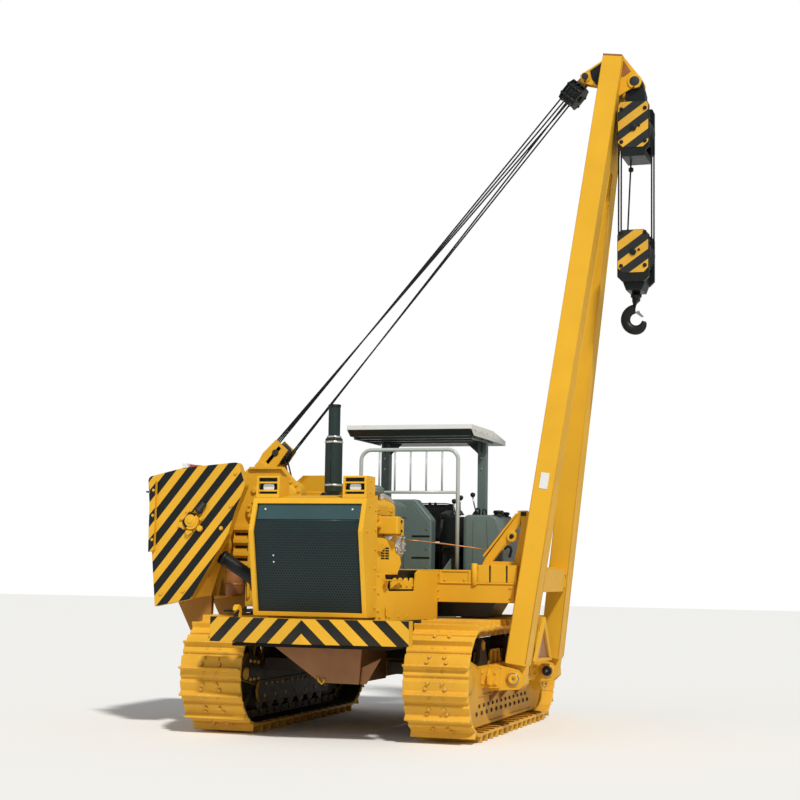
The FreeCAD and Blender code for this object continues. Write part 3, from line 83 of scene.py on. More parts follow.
# ------------------------------------------------------------------ finishes


@dataclass(frozen=True)
class Wiring:
    """The node tree of one material while it is put together."""

    tree: bpy.types.NodeTree

    def add(self, kind: str, **values: object) -> bpy.types.Node:
        """Adds a node and sets its properties.

        Args:
            kind: the node's Blender type name.
            values: properties to set on the node.

        Returns:
            The new node.
        """
        made = self.tree.nodes.new(kind)
        for name, value in values.items():
            setattr(made, name, value)
        return made

    def link(self, source: bpy.types.NodeSocket, target: bpy.types.NodeSocket) -> None:
        """Joins one node's output to another's input."""
        self.tree.links.new(source, target)

    def math(self, operation: str, first: object, second: object = 0.0) -> bpy.types.NodeSocket:
        """A math node on two sockets or numbers.

        Args:
            operation: the math node's operation.
            first: a socket or a number.
            second: a socket or a number.

        Returns:
            The result's socket.
        """
        made = self.add("ShaderNodeMath", operation=operation)
        for place, value in enumerate((first, second)):
            if isinstance(value, bpy.types.NodeSocket):
                self.link(value, made.inputs[place])
            else:
                made.inputs[place].default_value = value
        return made.outputs[0]

    def noise(self, scale: float, detail: float) -> bpy.types.NodeSocket:
        """Noise over the piece's own coordinates.

        Args:
            scale: bumps in a metre.
            detail: how many finer layers it has.

        Returns:
            The noise value's socket.
        """
        where = self.add("ShaderNodeTexCoord")
        made = self.add("ShaderNodeTexNoise")
        made.inputs["Scale"].default_value = scale
        made.inputs["Detail"].default_value = detail
        self.link(where.outputs["Object"], made.inputs["Vector"])
        return made.outputs["Fac"]

    def ramp(self, source: bpy.types.NodeSocket,
            stops: list[tuple[float, float]]) -> bpy.types.NodeSocket:
        """Maps a value through grey stops.

        Args:
            source: the value's socket.
            stops: position and brightness of each stop.

        Returns:
            The mapped value's socket.
        """
        made = self.add("ShaderNodeValToRGB")
        elements = made.color_ramp.elements
        while len(elements) < len(stops):
            elements.new(0.5)
        for element, (place, bright) in zip(elements, stops):
            element.position = place
            element.color = (bright, bright, bright, 1.0)
        self.link(source, made.inputs["Fac"])
        return made.outputs["Color"]

    def mix(self, factor: object, first: object, second: object) -> bpy.types.NodeSocket:
        """Mixes two colours.

        Args:
            factor: a socket or a number.
            first: colour where the factor is 0, as a socket or a tuple.
            second: colour where the factor is 1.

        Returns:
            The colour's socket.
        """
        made = self.add("ShaderNodeMix", data_type="RGBA")
        for socket, value in ((made.inputs[0], factor), (made.inputs[6], first),
                (made.inputs[7], second)):
            if isinstance(value, bpy.types.NodeSocket):
                self.link(value, socket)
            elif isinstance(value, float):
                socket.default_value = value
            else:
                socket.default_value = (*value, 1.0)
        return made.outputs[2]

    def edge(self, radius: float) -> bpy.types.NodeSocket:
        """A value that is 1 on sharp edges and 0 on flat faces.

        Args:
            radius: how wide an edge counts, in metres.

        Returns:
            The value's socket.
        """
        rounded = self.add("ShaderNodeBevel", samples=4)
        rounded.inputs["Radius"].default_value = radius
        flat = self.add("ShaderNodeNewGeometry")
        turn = self.add("ShaderNodeVectorMath", operation="DOT_PRODUCT")
        self.link(rounded.outputs[0], turn.inputs[0])
        self.link(flat.outputs["Normal"], turn.inputs[1])
        away = self.math("SUBTRACT", 1.0, turn.outputs["Value"])
        return self.math("MULTIPLY", away, 4.0)

    def facing(self, direction: Point, reach: float) -> bpy.types.NodeSocket:
        """1 on the faces whose outward side looks along a direction, else 0.

        Args:
            direction: the direction, in the piece's own axes.
            reach: how far a face's normal must go along it.

        Returns:
            The share's socket.
        """
        where = self.add("ShaderNodeTexCoord")
        along = self.add("ShaderNodeVectorMath", operation="DOT_PRODUCT")
        along.inputs[1].default_value = direction
        self.link(where.outputs["Normal"], along.inputs[0])
        return self.math("GREATER_THAN", along.outputs["Value"], reach)

    def along(self, axes: Point) -> bpy.types.NodeSocket:
        """How far a point lies along a direction, in the piece's own axes.

        Args:
            axes: the direction.

        Returns:
            The distance's socket.
        """
        where = self.add("ShaderNodeTexCoord")
        dot = self.add("ShaderNodeVectorMath", operation="DOT_PRODUCT")
        dot.inputs[1].default_value = axes
        self.link(where.outputs["Object"], dot.inputs[0])
        return dot.outputs["Value"]

    def bump(self, height: bpy.types.NodeSocket, distance: float,
            rounding: float) -> bpy.types.NodeSocket:
        """A bumped normal on gently rounded edges.

        Args:
            height: the bump's height socket.
            distance: metres for a height of 1.
            rounding: the edge radius in metres, or 0 for none.

        Returns:
            The normal's socket.
        """
        made = self.add("ShaderNodeBump")
        made.inputs["Distance"].default_value = distance
        made.inputs["Strength"].default_value = 1.0
        self.link(height, made.inputs["Height"])
        if rounding:
            rounded = self.add("ShaderNodeBevel", samples=4)
            rounded.inputs["Radius"].default_value = rounding
            self.link(rounded.outputs[0], made.inputs["Normal"])
        return made.outputs[0]


@dataclass(frozen=True)
class Finish:
    """A plain surface: one colour with slight variation, worn edges and fine bump."""

    name: str
    colour: Point
    roughness: float = 0.45
    metallic: float = 0.0
    mottle: float = 0.12
    grain: float = 9.0
    edge_colour: Point = (0.5, 0.5, 0.5)
    edge_share: float = 0.0
    edge_width: float = 0.006
    dust: float = 0.0
    dust_colour: Point = (0.46, 0.27, 0.1)
    bump_scale: float = 60.0
    bump_depth: float = 0.0004
    coat: float = 0.0
    gloss: float = 0.5

    def material(self) -> bpy.types.Material:
        """Returns this finish's material, made the first time it is asked for."""
        known = bpy.data.materials.get(self.name)
        if known:
            return known
        made = bpy.data.materials.new(self.name)
        made.use_nodes = True
        wiring = Wiring(made.node_tree)
        shader = made.node_tree.nodes["Principled BSDF"]
        shader.inputs["Metallic"].default_value = self.metallic
        shader.inputs["Specular IOR Level"].default_value = self.gloss
        shader.inputs["Coat Weight"].default_value = self.coat
        shader.inputs["Coat Roughness"].default_value = 0.18
        self.wire_colour(wiring, shader)
        self.wire_surface(wiring, shader)
        return made

    def base(self, wiring: Wiring) -> object:
        """The colour before mottling, as a tuple or a socket."""
        return self.colour

    def wire_colour(self, wiring: Wiring, shader: bpy.types.Node) -> None:
        """Links the mottled, worn and dusty colour.

        Args:
            wiring: the material's node tree.
            shader: its Principled node.
        """
        cloud = wiring.noise(self.grain / 4, 5.0)
        shade = wiring.ramp(cloud, [(0.3, 1.0 - self.mottle), (0.7, 1.0)])
        tint = wiring.add("ShaderNodeMix", data_type="RGBA", blend_type="MULTIPLY")
        tint.inputs[0].default_value = 1.0
        base = self.base(wiring)
        if isinstance(base, bpy.types.NodeSocket):
            wiring.link(base, tint.inputs[6])
        else:
            tint.inputs[6].default_value = (*base, 1.0)
        wiring.link(shade, tint.inputs[7])
        result = tint.outputs[2]
        if self.edge_share:
            patchy = wiring.ramp(wiring.noise(self.grain * 3, 6.0),
                [(0.52, 0.0), (0.66, self.edge_share)])
            worn = wiring.math("MULTIPLY", wiring.edge(self.edge_width), patchy)
            worn = wiring.math("MINIMUM", worn, 1.0)
            result = wiring.mix(worn, result, self.edge_colour)
        if self.dust:
            low = wiring.add("ShaderNodeNewGeometry")
            split = wiring.add("ShaderNodeSeparateXYZ")
            wiring.link(low.outputs["Position"], split.inputs[0])
            near = wiring.ramp(wiring.math("MULTIPLY", split.outputs[2], 0.5),
                [(0.0, self.dust), (0.6, 0.0)])
            film = wiring.math("MULTIPLY", near, wiring.noise(self.grain, 5.0))
            result = wiring.mix(film, result, self.dust_colour)
        wiring.link(result, shader.inputs["Base Color"])

    def wire_surface(self, wiring: Wiring, shader: bpy.types.Node) -> None:
        """Links the roughness and the bumped normal.

        Args:
            wiring: the material's node tree.
            shader: its Principled node.
        """
        rough = wiring.ramp(wiring.noise(self.grain * 2, 3.0), [(0.3, self.roughness - 0.06),
            (0.7, self.roughness + 0.08)])
        wiring.link(rough, shader.inputs["Roughness"])
        fine = wiring.noise(self.bump_scale, 4.0)
        wiring.link(wiring.bump(fine, self.bump_depth, self.edge_width), shader.inputs["Normal"])


@dataclass(frozen=True)
class StripedFinish(Finish):
    """Warning stripes of two enamels, ruled across the faces that look along +X.

    direction is the way across the stripes, so a point's stripe comes from its share
    of pitch along it. A fold at a Y makes chevrons. Other faces keep the side colour.
    """

    dark: Point = (0.006, 0.009, 0.009)
    side: Point = (0.78, 0.42, 0.025)
    direction: Point = (0.0, 0.707, 0.707)
    pitch: float = 0.2
    start: float = 0.0
    dark_share: float = 0.5
    fold: float = math.nan

    def base(self, wiring: Wiring) -> object:
        """The stripes' colour.

        Args:
            wiring: the material's node tree.

        Returns:
            The colour's socket.
        """
        across = wiring.along((0.0, 1.0, 0.0))
        if not math.isnan(self.fold):
            across = wiring.math("ABSOLUTE", wiring.math("SUBTRACT", across, self.fold))
        total = wiring.math("ADD", wiring.math("MULTIPLY", across, self.direction[1]),
            wiring.along((0.0, 0.0, self.direction[2])))
        place = wiring.math("DIVIDE", wiring.math("SUBTRACT", total, self.start), self.pitch)
        black = wiring.math("LESS_THAN", wiring.math("FRACT", place), self.dark_share)
        ruled = wiring.mix(black, self.colour, self.dark)
        return wiring.mix(wiring.facing((1.0, 0.0, 0.0), 0.6), self.side, ruled)


@dataclass(frozen=True)
class SplitFinish(Finish):
    """Two colours: the other one is painted shade, on the faces that look along facing."""

    other: Point = (0.02, 0.035, 0.032)
    facing: Point = (0.0, 0.0, -1.0)

    def base(self, wiring: Wiring) -> object:
        """The split colour's socket."""
        return wiring.mix(wiring.facing(self.facing, 0.3), self.colour, self.other)


@dataclass(frozen=True)
class CakedShadedFinish(Finish):
    """Enamel whose faces towards the hull, between the tracks, are near-black: caked soil and
    painted shade.
    """

    earth_and_shade: Point = (0.02, 0.017, 0.013)

    def base(self, wiring: Wiring) -> object:
        """The enamel's colour, and the near-black of soil and painted shade on the inner faces.

        Args:
            wiring: the material's node tree.

        Returns:
            The colour's socket.
        """
        across = wiring.math("SUBTRACT", wiring.along((0.0, 1.0, 0.0)), SHOP.origin.y)
        left = wiring.math("GREATER_THAN", across, 0.0)
        inner_left = wiring.math("MULTIPLY", wiring.facing((0.0, -1.0, 0.0), 0.3), left)
        right = wiring.math("LESS_THAN", across, 0.0)
        inner_right = wiring.math("MULTIPLY", wiring.facing((0.0, 1.0, 0.0), 0.3), right)
        inner = wiring.math("ADD", inner_left, inner_right)
        return wiring.mix(inner, self.colour, self.earth_and_shade)


@dataclass(frozen=True)
class PerforatedFinish(Finish):
    """Sheet with a close pattern of round holes, in staggered rows."""

    hole: Point = (0.004, 0.006, 0.007)
    pitch: float = 0.027
    share: float = 0.36

    def base(self, wiring: Wiring) -> object:
        """The pierced sheet's colour.

        Args:
            wiring: the material's node tree.

        Returns:
            The colour's socket.
        """
        row = wiring.math("DIVIDE", wiring.along((0.0, 0.0, 1.0)), self.pitch * 0.866)
        odd = wiring.math("MULTIPLY", wiring.math("FLOOR", row), 0.5)
        column = wiring.math("DIVIDE", wiring.along((0.0, 1.0, 0.0)), self.pitch)
        aside = wiring.math("SUBTRACT", wiring.math("FRACT", wiring.math("ADD", column, odd)), 0.5)
        above = wiring.math("MULTIPLY", wiring.math("SUBTRACT", wiring.math("FRACT", row), 0.5),
            0.866)
        away = wiring.math("SQRT", wiring.math("ADD", wiring.math("MULTIPLY", aside, aside),
            wiring.math("MULTIPLY", above, above)))
        pierced = wiring.math("LESS_THAN", away, self.share)
        return wiring.mix(pierced, self.colour, self.hole)


YELLOW = (0.78, 0.42, 0.025)
BLACK = (0.006, 0.009, 0.009)
ENAMEL = Finish("enamel_yellow", YELLOW, roughness=0.5, mottle=0.1, gloss=0.2, edge_share=0.35,
    edge_colour=(0.88, 0.58, 0.16), dust=0.15)
# Pale edges: wear on the shoes, plus a painted highlight along lit edges such as the grousers'
# tips.
TRACK_ENAMEL = Finish("enamel_track", (0.8, 0.43, 0.03), roughness=0.5, mottle=0.2, gloss=0.25,
    edge_share=1.0, edge_colour=(0.88, 0.76, 0.55), dust=0.25, edge_width=0.01, bump_depth=0.0008)
# Track frames, guards and links: painted shade and caked soil on the faces towards the hull.
FRAME_ENAMEL = CakedShadedFinish("enamel_frames", (0.72, 0.38, 0.03), roughness=0.55, mottle=0.3,
    gloss=0.2, edge_share=0.4, edge_colour=(0.8, 0.6, 0.3), dust=0.3, bump_depth=0.001)
# Near-black for the belly pan, the tracks' inner lining and the plates between the tracks: caked
# soil and painted shade.
EARTH_AND_SHADE = Finish("caked_earth_and_shade", (0.02, 0.016, 0.012), roughness=0.9, mottle=0.5, gloss=0.2,
    bump_scale=90.0, bump_depth=0.004, edge_width=0.0)
# Painted shade under a dust film: the yellow as it looks in shadow, for the counterweight's arms
# and mount.
SHADE_ENAMEL = Finish("enamel_dusty_shade", (0.5, 0.235, 0.035), roughness=0.55, mottle=0.35, gloss=0.2,
    edge_share=0.5, edge_colour=(0.7, 0.45, 0.16), dust=0.4)
# Painted shade: the yellow enamel as it looks in shadow, for the belly, boom crown, clevis, gusset
# recess, winch motor and beam braces.
SHADE_BROWN = Finish("enamel_brown_shade", (0.34, 0.13, 0.035), roughness=0.5, mottle=0.3, dust=0.4)
RED_ENAMEL = Finish("enamel_red", (0.42, 0.06, 0.03), roughness=0.4, mottle=0.2, coat=0.2)
DARK_ENAMEL = Finish("enamel_black", BLACK, roughness=0.42, mottle=0.3, gloss=0.3, edge_share=0.4,
    edge_colour=(0.12, 0.12, 0.12))
GREY_ENAMEL = Finish("enamel_grey", (0.115, 0.165, 0.155), roughness=0.42, mottle=0.15,
    edge_share=0.3, edge_colour=(0.4, 0.45, 0.43), coat=0.15)
DARK_GREY = Finish("enamel_dark_grey", (0.014, 0.03, 0.03), roughness=0.42, mottle=0.25,
    edge_share=0.3, edge_colour=(0.2, 0.24, 0.24), coat=0.2)
MUFFLER = Finish("enamel_stack", (0.012, 0.03, 0.029), roughness=0.5, mottle=0.25, gloss=0.35)
# The canopy roof: pale enamel, with painted shade on the faces that look down.
PALE_ENAMEL = SplitFinish("enamel_roof", (0.66, 0.68, 0.66), roughness=0.45, mottle=0.12)
RAIL_ENAMEL = Finish("enamel_rail", (0.5, 0.56, 0.54), roughness=0.35, mottle=0.15, coat=0.3)
BARE_PLATE = Finish("blank_plate", (0.75, 0.77, 0.76), roughness=0.4, mottle=0.08)
CAST = Finish("cast_iron", (0.03, 0.034, 0.036), roughness=0.62, metallic=0.3, mottle=0.4,
    bump_scale=160.0, bump_depth=0.0012, dust=0.4)
STEEL = Finish("machined_steel", (0.42, 0.41, 0.39), roughness=0.3, metallic=0.95, mottle=0.2,
    bump_scale=220.0, bump_depth=0.0002)
ROPE = Finish("wire_rope", (0.014, 0.018, 0.018), roughness=0.5, metallic=0.2, gloss=0.3,
    mottle=0.4, bump_scale=300.0, bump_depth=0.001, edge_width=0.0)
RUBBER = Finish("hose_rubber", (0.012, 0.012, 0.013), roughness=0.7, mottle=0.3)
VINYL = Finish("seat_vinyl_black", (0.018, 0.018, 0.02), roughness=0.5, mottle=0.25,
    bump_scale=350.0, bump_depth=0.0015, edge_width=0.0)
NAME_PLATE = Finish("blank_name_band", (0.02, 0.062, 0.068), roughness=0.35, mottle=0.15, coat=0.2)
PIERCED = PerforatedFinish("pierced_sheet", (0.011, 0.03, 0.032), roughness=0.5, mottle=0.2,
    gloss=0.3)
LENS = Finish("lamp_lens", (0.75, 0.78, 0.78), roughness=0.12, coat=0.8, mottle=0.1)
SILVER = Finish("aluminised_housing", (0.7, 0.7, 0.68), roughness=0.3, metallic=0.7, mottle=0.2)
COPPER = Finish("copper_line", (0.5, 0.22, 0.08), roughness=0.4, metallic=0.6)
WEIGHT_STRIPES = StripedFinish("stripes_weight", YELLOW, roughness=0.38, mottle=0.1, gloss=0.25,
    direction=(0.0, 0.777, -0.629), pitch=0.157, start=-2.808, dust=0.2)
BLOCK_WAY = (0.0, -0.574, 0.819)


# ------------------------------------------------------------------ mesh work


class Shop:
    """Where the machine stands in the row's frame."""

    def __init__(self) -> None:
        """Finds the idlers' axle and the hull's middle."""
        low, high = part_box("idlers")
        hull_low, hull_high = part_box("main_frame")
        self.origin = Vector(((low.x + high.x) / 2, (hull_low.y + hull_high.y) / 2, 0.0))

    def place(self, point: Point) -> Vector:
        """A machine point in the row's frame."""
        return Vector(point) + self.origin


SHOP = Shop()


class Plane(Enum):
    """The planes that flat outlines are drawn in, as where each value goes."""

    SIDE = (0, 2, 1)
    FRONT = (1, 2, 0)
    FLAT = (0, 1, 2)


@dataclass(frozen=True)
class Seat:
    """A place on the machine that pieces are set out from.

    base is its point in machine coordinates. lean tips its up axis towards the left,
    in degrees, with its out axis kept square to it.
    """

    base: Point = (0.0, 0.0, 0.0)
    lean: float = 0.0

    def way(self, x: float, out: float, up: float) -> Vector:
        """A direction drawn in the seat.

        Args:
            x: its share along X.
            out: its share along the seat's out axis.
            up: its share along the seat's up axis.

        Returns:
            The direction in the row's axes.
        """
        turn = math.radians(self.lean)
        return Vector((x, out * math.cos(turn) + up * math.sin(turn),
            up * math.cos(turn) - out * math.sin(turn)))

    def at(self, x: float, out: float, up: float) -> Vector:
        """A point drawn in the seat, in the row's frame."""
        return SHOP.place(self.base) + self.way(x, out, up)

    def outline(self, plane: Plane, points: list[tuple[float, float]],
            start: float) -> list[Vector]:
        """A flat outline's corners in the row's frame.

        Args:
            plane: the plane it is drawn in.
            points: its corners.
            start: how far along the third axis it lies.

        Returns:
            The corners.
        """
        corners = []
        for first, second in points:
            place = [0.0, 0.0, 0.0]
            for axis, value in zip(plane.value, (first, second, start)):
                place[axis] = value
            corners.append(self.at(*place))
        return corners


def arc(start: float, end: float, steps: int) -> list[float]:
    """Angles in radians, in equal steps between two that are given in degrees."""
    return [math.radians(start + (end - start) * step / steps) for step in range(steps + 1)]


def mirrored(half: list[tuple[float, float]]) -> list[tuple[float, float]]:
    """An outline that is the same on both sides of its second axis.

    Args:
        half: its corners on the positive side, from top to bottom.

    Returns:
        All corners, from the top left one round over the positive side.
    """
    other = [(-across, up) for across, up in half]
    return [other[0], *half, *other[:0:-1]]


HULL = Seat()
BOOM_FOOT = Seat((-1.35, 1.62, 0.57), 7.5)
LINE_PIN = Seat((-1.35, -1.34, 2.66), 40.605)
LOAD_PIN = Seat((-1.35, 2.6606, 6.6199))
LINE_LENGTH = 5.3474


@dataclass
class Shaper:
    """Gathers the faces of one piece and turns them into a finished object.

    A point that its methods take as three numbers is drawn in its seat, and a Vector
    is already in the row's frame.
    """

    name: str
    seat: Seat = HULL
    mesh: bmesh.types.BMesh = field(default_factory=bmesh.new)

    def spot(self, place: Point | Vector) -> Vector:
        """A place's point in the row's frame."""
        return place if isinstance(place, Vector) else self.seat.at(*place)

    def ring(self, centre: Vector, across: Vector, up: Vector, radius: float, sides: int,
            phase: float = 0.0) -> list[bmesh.types.BMVert]:
        """A closed ring of vertices.

        Args:
            centre: the ring's middle.
            across: unit vector in its plane.
            up: the other unit vector in its plane.
            radius: its radius.
            sides: how many vertices it has.
            phase: where the first one lies, in radians.

        Returns:
            The vertices in order.
        """
        return [self.mesh.verts.new(centre + radius * (math.cos(phase + math.tau * turn / sides)
            * across + math.sin(phase + math.tau * turn / sides) * up)) for turn in range(sides)]

    def bridge(self, first: list[bmesh.types.BMVert], second: list[bmesh.types.BMVert],
            smooth: bool = True) -> None:
        """Joins two rings of as many vertices with quads.

        Args:
            first: one ring.
            second: the other ring.
            smooth: whether the quads shade smoothly.
        """
        count = len(first)
        for turn in range(count):
            after = (turn + 1) % count
            face = self.mesh.faces.new((first[turn], first[after], second[after], second[turn]))
            face.smooth = smooth

    def skin(self, rings: list[list[bmesh.types.BMVert]], smooth: bool = True,
            closed: bool = True) -> None:
        """Joins rings of as many vertices, one after the other.

        Args:
            rings: the rings in order.
            smooth: whether the sides shade smoothly.
            closed: whether both ends are capped.
        """
        for first, second in zip(rings, rings[1:]):
            self.bridge(first, second, smooth)
        if closed:
            self.mesh.faces.new(rings[0][::-1])
            self.mesh.faces.new(rings[-1])

    def lathe(self, start: Point | Vector, axis: Vector, profile: list[tuple[float, float]],
            sides: int = 32) -> None:
        """Turns a profile about an axis and caps both ends.

        Args:
            start: a point on the axis.
            axis: its direction.
            profile: distance along the axis and radius of each ring.
            sides: how many sides it has.
        """
        axis = axis.normalized()
        across = axis.orthogonal().normalized()
        up = axis.cross(across)
        start = self.spot(start)
        rings = []
        for along, radius in profile:
            rings.append(self.ring(start + axis * along, across, up, radius, sides))
        self.skin(rings)

    def rod(self, start: Point | Vector, end: Point | Vector, radius: float,
            sides: int = 20) -> None:
        """A round bar between two points.

        Args:
            start: the middle of its first end.
            end: the middle of its other end.
            radius: its radius.
            sides: how many sides it has.
        """
        start, end = self.spot(start), self.spot(end)
        run = end - start
        self.lathe(start, run, [(0.0, radius), (run.length, radius)], sides)

    def bolt(self, foot: Point | Vector, normal: Vector, width: float, height: float) -> None:
        """A hexagonal bolt head with its washer.

        Args:
            foot: where the washer meets the surface.
            normal: the way out of the surface.
            width: across the head's corners.
            height: the head's height.
        """
        foot, normal = self.spot(foot), normal.normalized()
        self.lathe(foot - normal * 0.001, normal, [(0.0, width * 0.62),
            (height * 0.3, width * 0.62)], 12)
        self.lathe(foot + normal * height * 0.25, normal, [(0.0, width / 2),
            (height * 0.65, width / 2), (height * 0.75, width * 0.42)], 6)

    def plate(self, outline: list[Point | Vector], depth: Vector) -> None:
        """A flat outline pushed along depth into a plate.

        Args:
            outline: corners in order, in one plane.
            depth: the way and distance to push.
        """
        near = [self.mesh.verts.new(self.spot(corner)) for corner in outline]
        far = [self.mesh.verts.new(self.spot(corner) + depth) for corner in outline]
        self.mesh.faces.new(near[::-1])
        self.mesh.faces.new(far)
        self.bridge(near, far, smooth=False)

    def tube(self, path: list[Point | Vector], radius: float, sides: int = 12) -> None:
        """A round tube along a path of points.

        Args:
            path: its middle line.
            radius: its radius.
            sides: how many sides it has.
        """
        path = [self.spot(place) for place in path]
        rings = []
        across = (path[1] - path[0]).orthogonal().normalized()
        for place, point in enumerate(path):
            before = path[max(place - 1, 0)]
            after = path[min(place + 1, len(path) - 1)]
            along = (after - before).normalized()
            across = (across - along * across.dot(along)).normalized()
            rings.append(self.ring(point, across, along.cross(across), radius, sides))
        self.skin(rings)

    def slab(self, plane: Plane, points: list[tuple[float, float]], start: float,
            depth: float) -> None:
        """A flat outline given thickness.

        Args:
            plane: the plane it is drawn in.
            points: its corners in order.
            start: where it starts along the third axis.
            depth: its thickness along that axis.
        """
        push = [0.0, 0.0, 0.0]
        push[plane.value[2]] = depth
        self.plate(self.seat.outline(plane, points, start), self.seat.way(*push))

    def front(self, points: list[tuple[float, float]], start: float, depth: float) -> None:
        """An outline drawn from in front, across and up, given depth along X."""
        self.slab(Plane.FRONT, points, start, depth)

    def side(self, points: list[tuple[float, float]], start: float, depth: float) -> None:
        """An outline drawn from the side, forward and up, given depth outward."""
        self.slab(Plane.SIDE, points, start, depth)

    def box(self, low: Point, high: Point) -> None:
        """A box between two corners of the seat."""
        self.slab(Plane.FLAT, [(low[0], low[1]), (high[0], low[1]), (high[0], high[1]),
            (low[0], high[1])], low[2], high[2] - low[2])

    def bolt_ring(self, centre: Point | Vector, axis: Vector, radius: float, count: int,
            width: float = 0.03, height: float = 0.016, phase: float = 0.0) -> None:
        """Bolt heads around a circle.

        Args:
            centre: the circle's middle on the surface.
            axis: the way out of the surface.
            radius: the circle's radius.
            count: how many bolts.
            width: across a head's corners.
            height: a head's height.
            phase: where the first one lies, in radians.
        """
        centre, axis = self.spot(centre), axis.normalized()
        across = axis.orthogonal().normalized()
        up = axis.cross(across)
        for turn in range(count):
            angle = phase + math.tau * turn / count
            self.bolt(centre + radius * (math.cos(angle) * across + math.sin(angle) * up), axis,
                width, height)

    def bolt_row(self, start: Point | Vector, end: Point | Vector, count: int, normal: Vector,
            width: float = 0.03, height: float = 0.016) -> None:
        """Bolt heads in a row between two points.

        Args:
            start: the first bolt's seat.
            end: the last bolt's seat.
            count: how many bolts.
            normal: the way out of the surface.
            width: across a head's corners.
            height: a head's height.
        """
        start, end = self.spot(start), self.spot(end)
        for place in range(count):
            self.bolt(start.lerp(end, place / max(count - 1, 1)), normal, width, height)

    def sheave(self, centre: Point | Vector, axis: Vector, radius: float, width: float,
            bore: float) -> None:
        """A grooved rope sheave.

        Args:
            centre: its middle.
            axis: its axle's direction.
            radius: the groove's radius.
            width: its width.
            bore: its hub's radius.
        """
        half = width / 2
        rim = radius + 0.018
        web = radius - 0.03
        self.lathe(centre, axis, [(-half, bore), (-half, bore + 0.02), (-half * 0.45, bore + 0.024),
            (-half * 0.45, web), (-half, web + 0.008), (-half, rim), (-half * 0.75, rim),
            (-half * 0.3, radius), (half * 0.3, radius), (half * 0.75, rim), (half, rim),
            (half, web + 0.008), (half * 0.45, web), (half * 0.45, bore + 0.024),
            (half, bore + 0.02), (half, bore)], 40)

    def rope(self, path: list[Point | Vector], radius: float, lay: float = 0.14,
            step: float = 0.012) -> None:
        """A laid wire rope of six strands along a path.

        Args:
            path: points of its middle line.
            radius: its radius.
            lay: the length of one turn of the strands.
            step: the distance between its rings.
        """
        path = [self.spot(place) for place in path]
        points, gone, rings = [], 0.0, []
        for first, second in zip(path, path[1:]):
            parts = max(1, round((second - first).length / step))
            points += [first.lerp(second, part / parts) for part in range(parts)]
        points.append(path[-1])
        across = (points[1] - points[0]).orthogonal().normalized()
        for place, point in enumerate(points):
            before, after = points[max(place - 1, 0)], points[min(place + 1, len(points) - 1)]
            along = (after - before).normalized()
            across = (across - along * across.dot(along)).normalized()
            up = along.cross(across)
            gone += (point - before).length
            ring = []
            for side in range(12):
                angle = math.tau * (side / 12 + gone / lay)
                reach = radius * (1.0 if side % 2 else 0.74)
                ring.append(self.mesh.verts.new(point + reach * (math.cos(angle) * across
                    + math.sin(angle) * up)))
            rings.append(ring)
        self.skin(rings)

    def sweep(self, stations: list[tuple[Point, Vector, Vector]], sides: int) -> None:
        """A solid through elliptical rings.

        Args:
            stations: each ring's middle and its two half axes.
            sides: how many sides it has.
        """
        rings = []
        for middle, first, second in stations:
            rings.append([self.mesh.verts.new(self.spot(middle) + math.cos(turn) * first
                + math.sin(turn) * second) for turn in (math.tau * side / sides
                for side in range(sides))])
        self.skin(rings)

    def done(self, finish: Finish, body: Body | None = Body.CHASSIS, bevel: float = 0.0,
            segments: int = 2, replaces: tuple[str, ...] = ()) -> bpy.types.Object:
        """Makes the object, dresses it and lets it ride on a body.

        Args:
            finish: its finish.
            body: the body it rides on, or None where it is blended between two.
            bevel: width of the rounded edges, or 0.
            segments: how many segments the rounding has.
            replaces: CAD nodes that it stands for.

        Returns:
            The object.
        """
        bmesh.ops.recalc_face_normals(self.mesh, faces=self.mesh.faces[:])
        data = bpy.data.meshes.new(self.name)
        self.mesh.to_mesh(data)
        self.mesh.free()
        data.materials.append(finish.material())
        piece = bpy.data.objects.new(self.name, data)
        bpy.context.scene.collection.objects.link(piece)
        if bevel:
            rounding = piece.modifiers.new("rounded_edges", "BEVEL")
            rounding.width = bevel
            rounding.segments = segments
            rounding.limit_method = "ANGLE"
            rounding.angle_limit = math.radians(35)
        if body:
            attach(piece, body.value)
        if replaces:
            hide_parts(*replaces)
        LOG.info("%s: %d faces", self.name, len(data.polygons))
        return piece


def dress(node: str, finish: Finish) -> None:
    """Gives a CAD node its finish.

    Args:
        node: the node's name.
        finish: what it is painted or made of.
    """
    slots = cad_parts[node].data.materials
    for place in range(len(slots)):
        slots[place] = finish.material()


# ------------------------------------------------------------------ stage


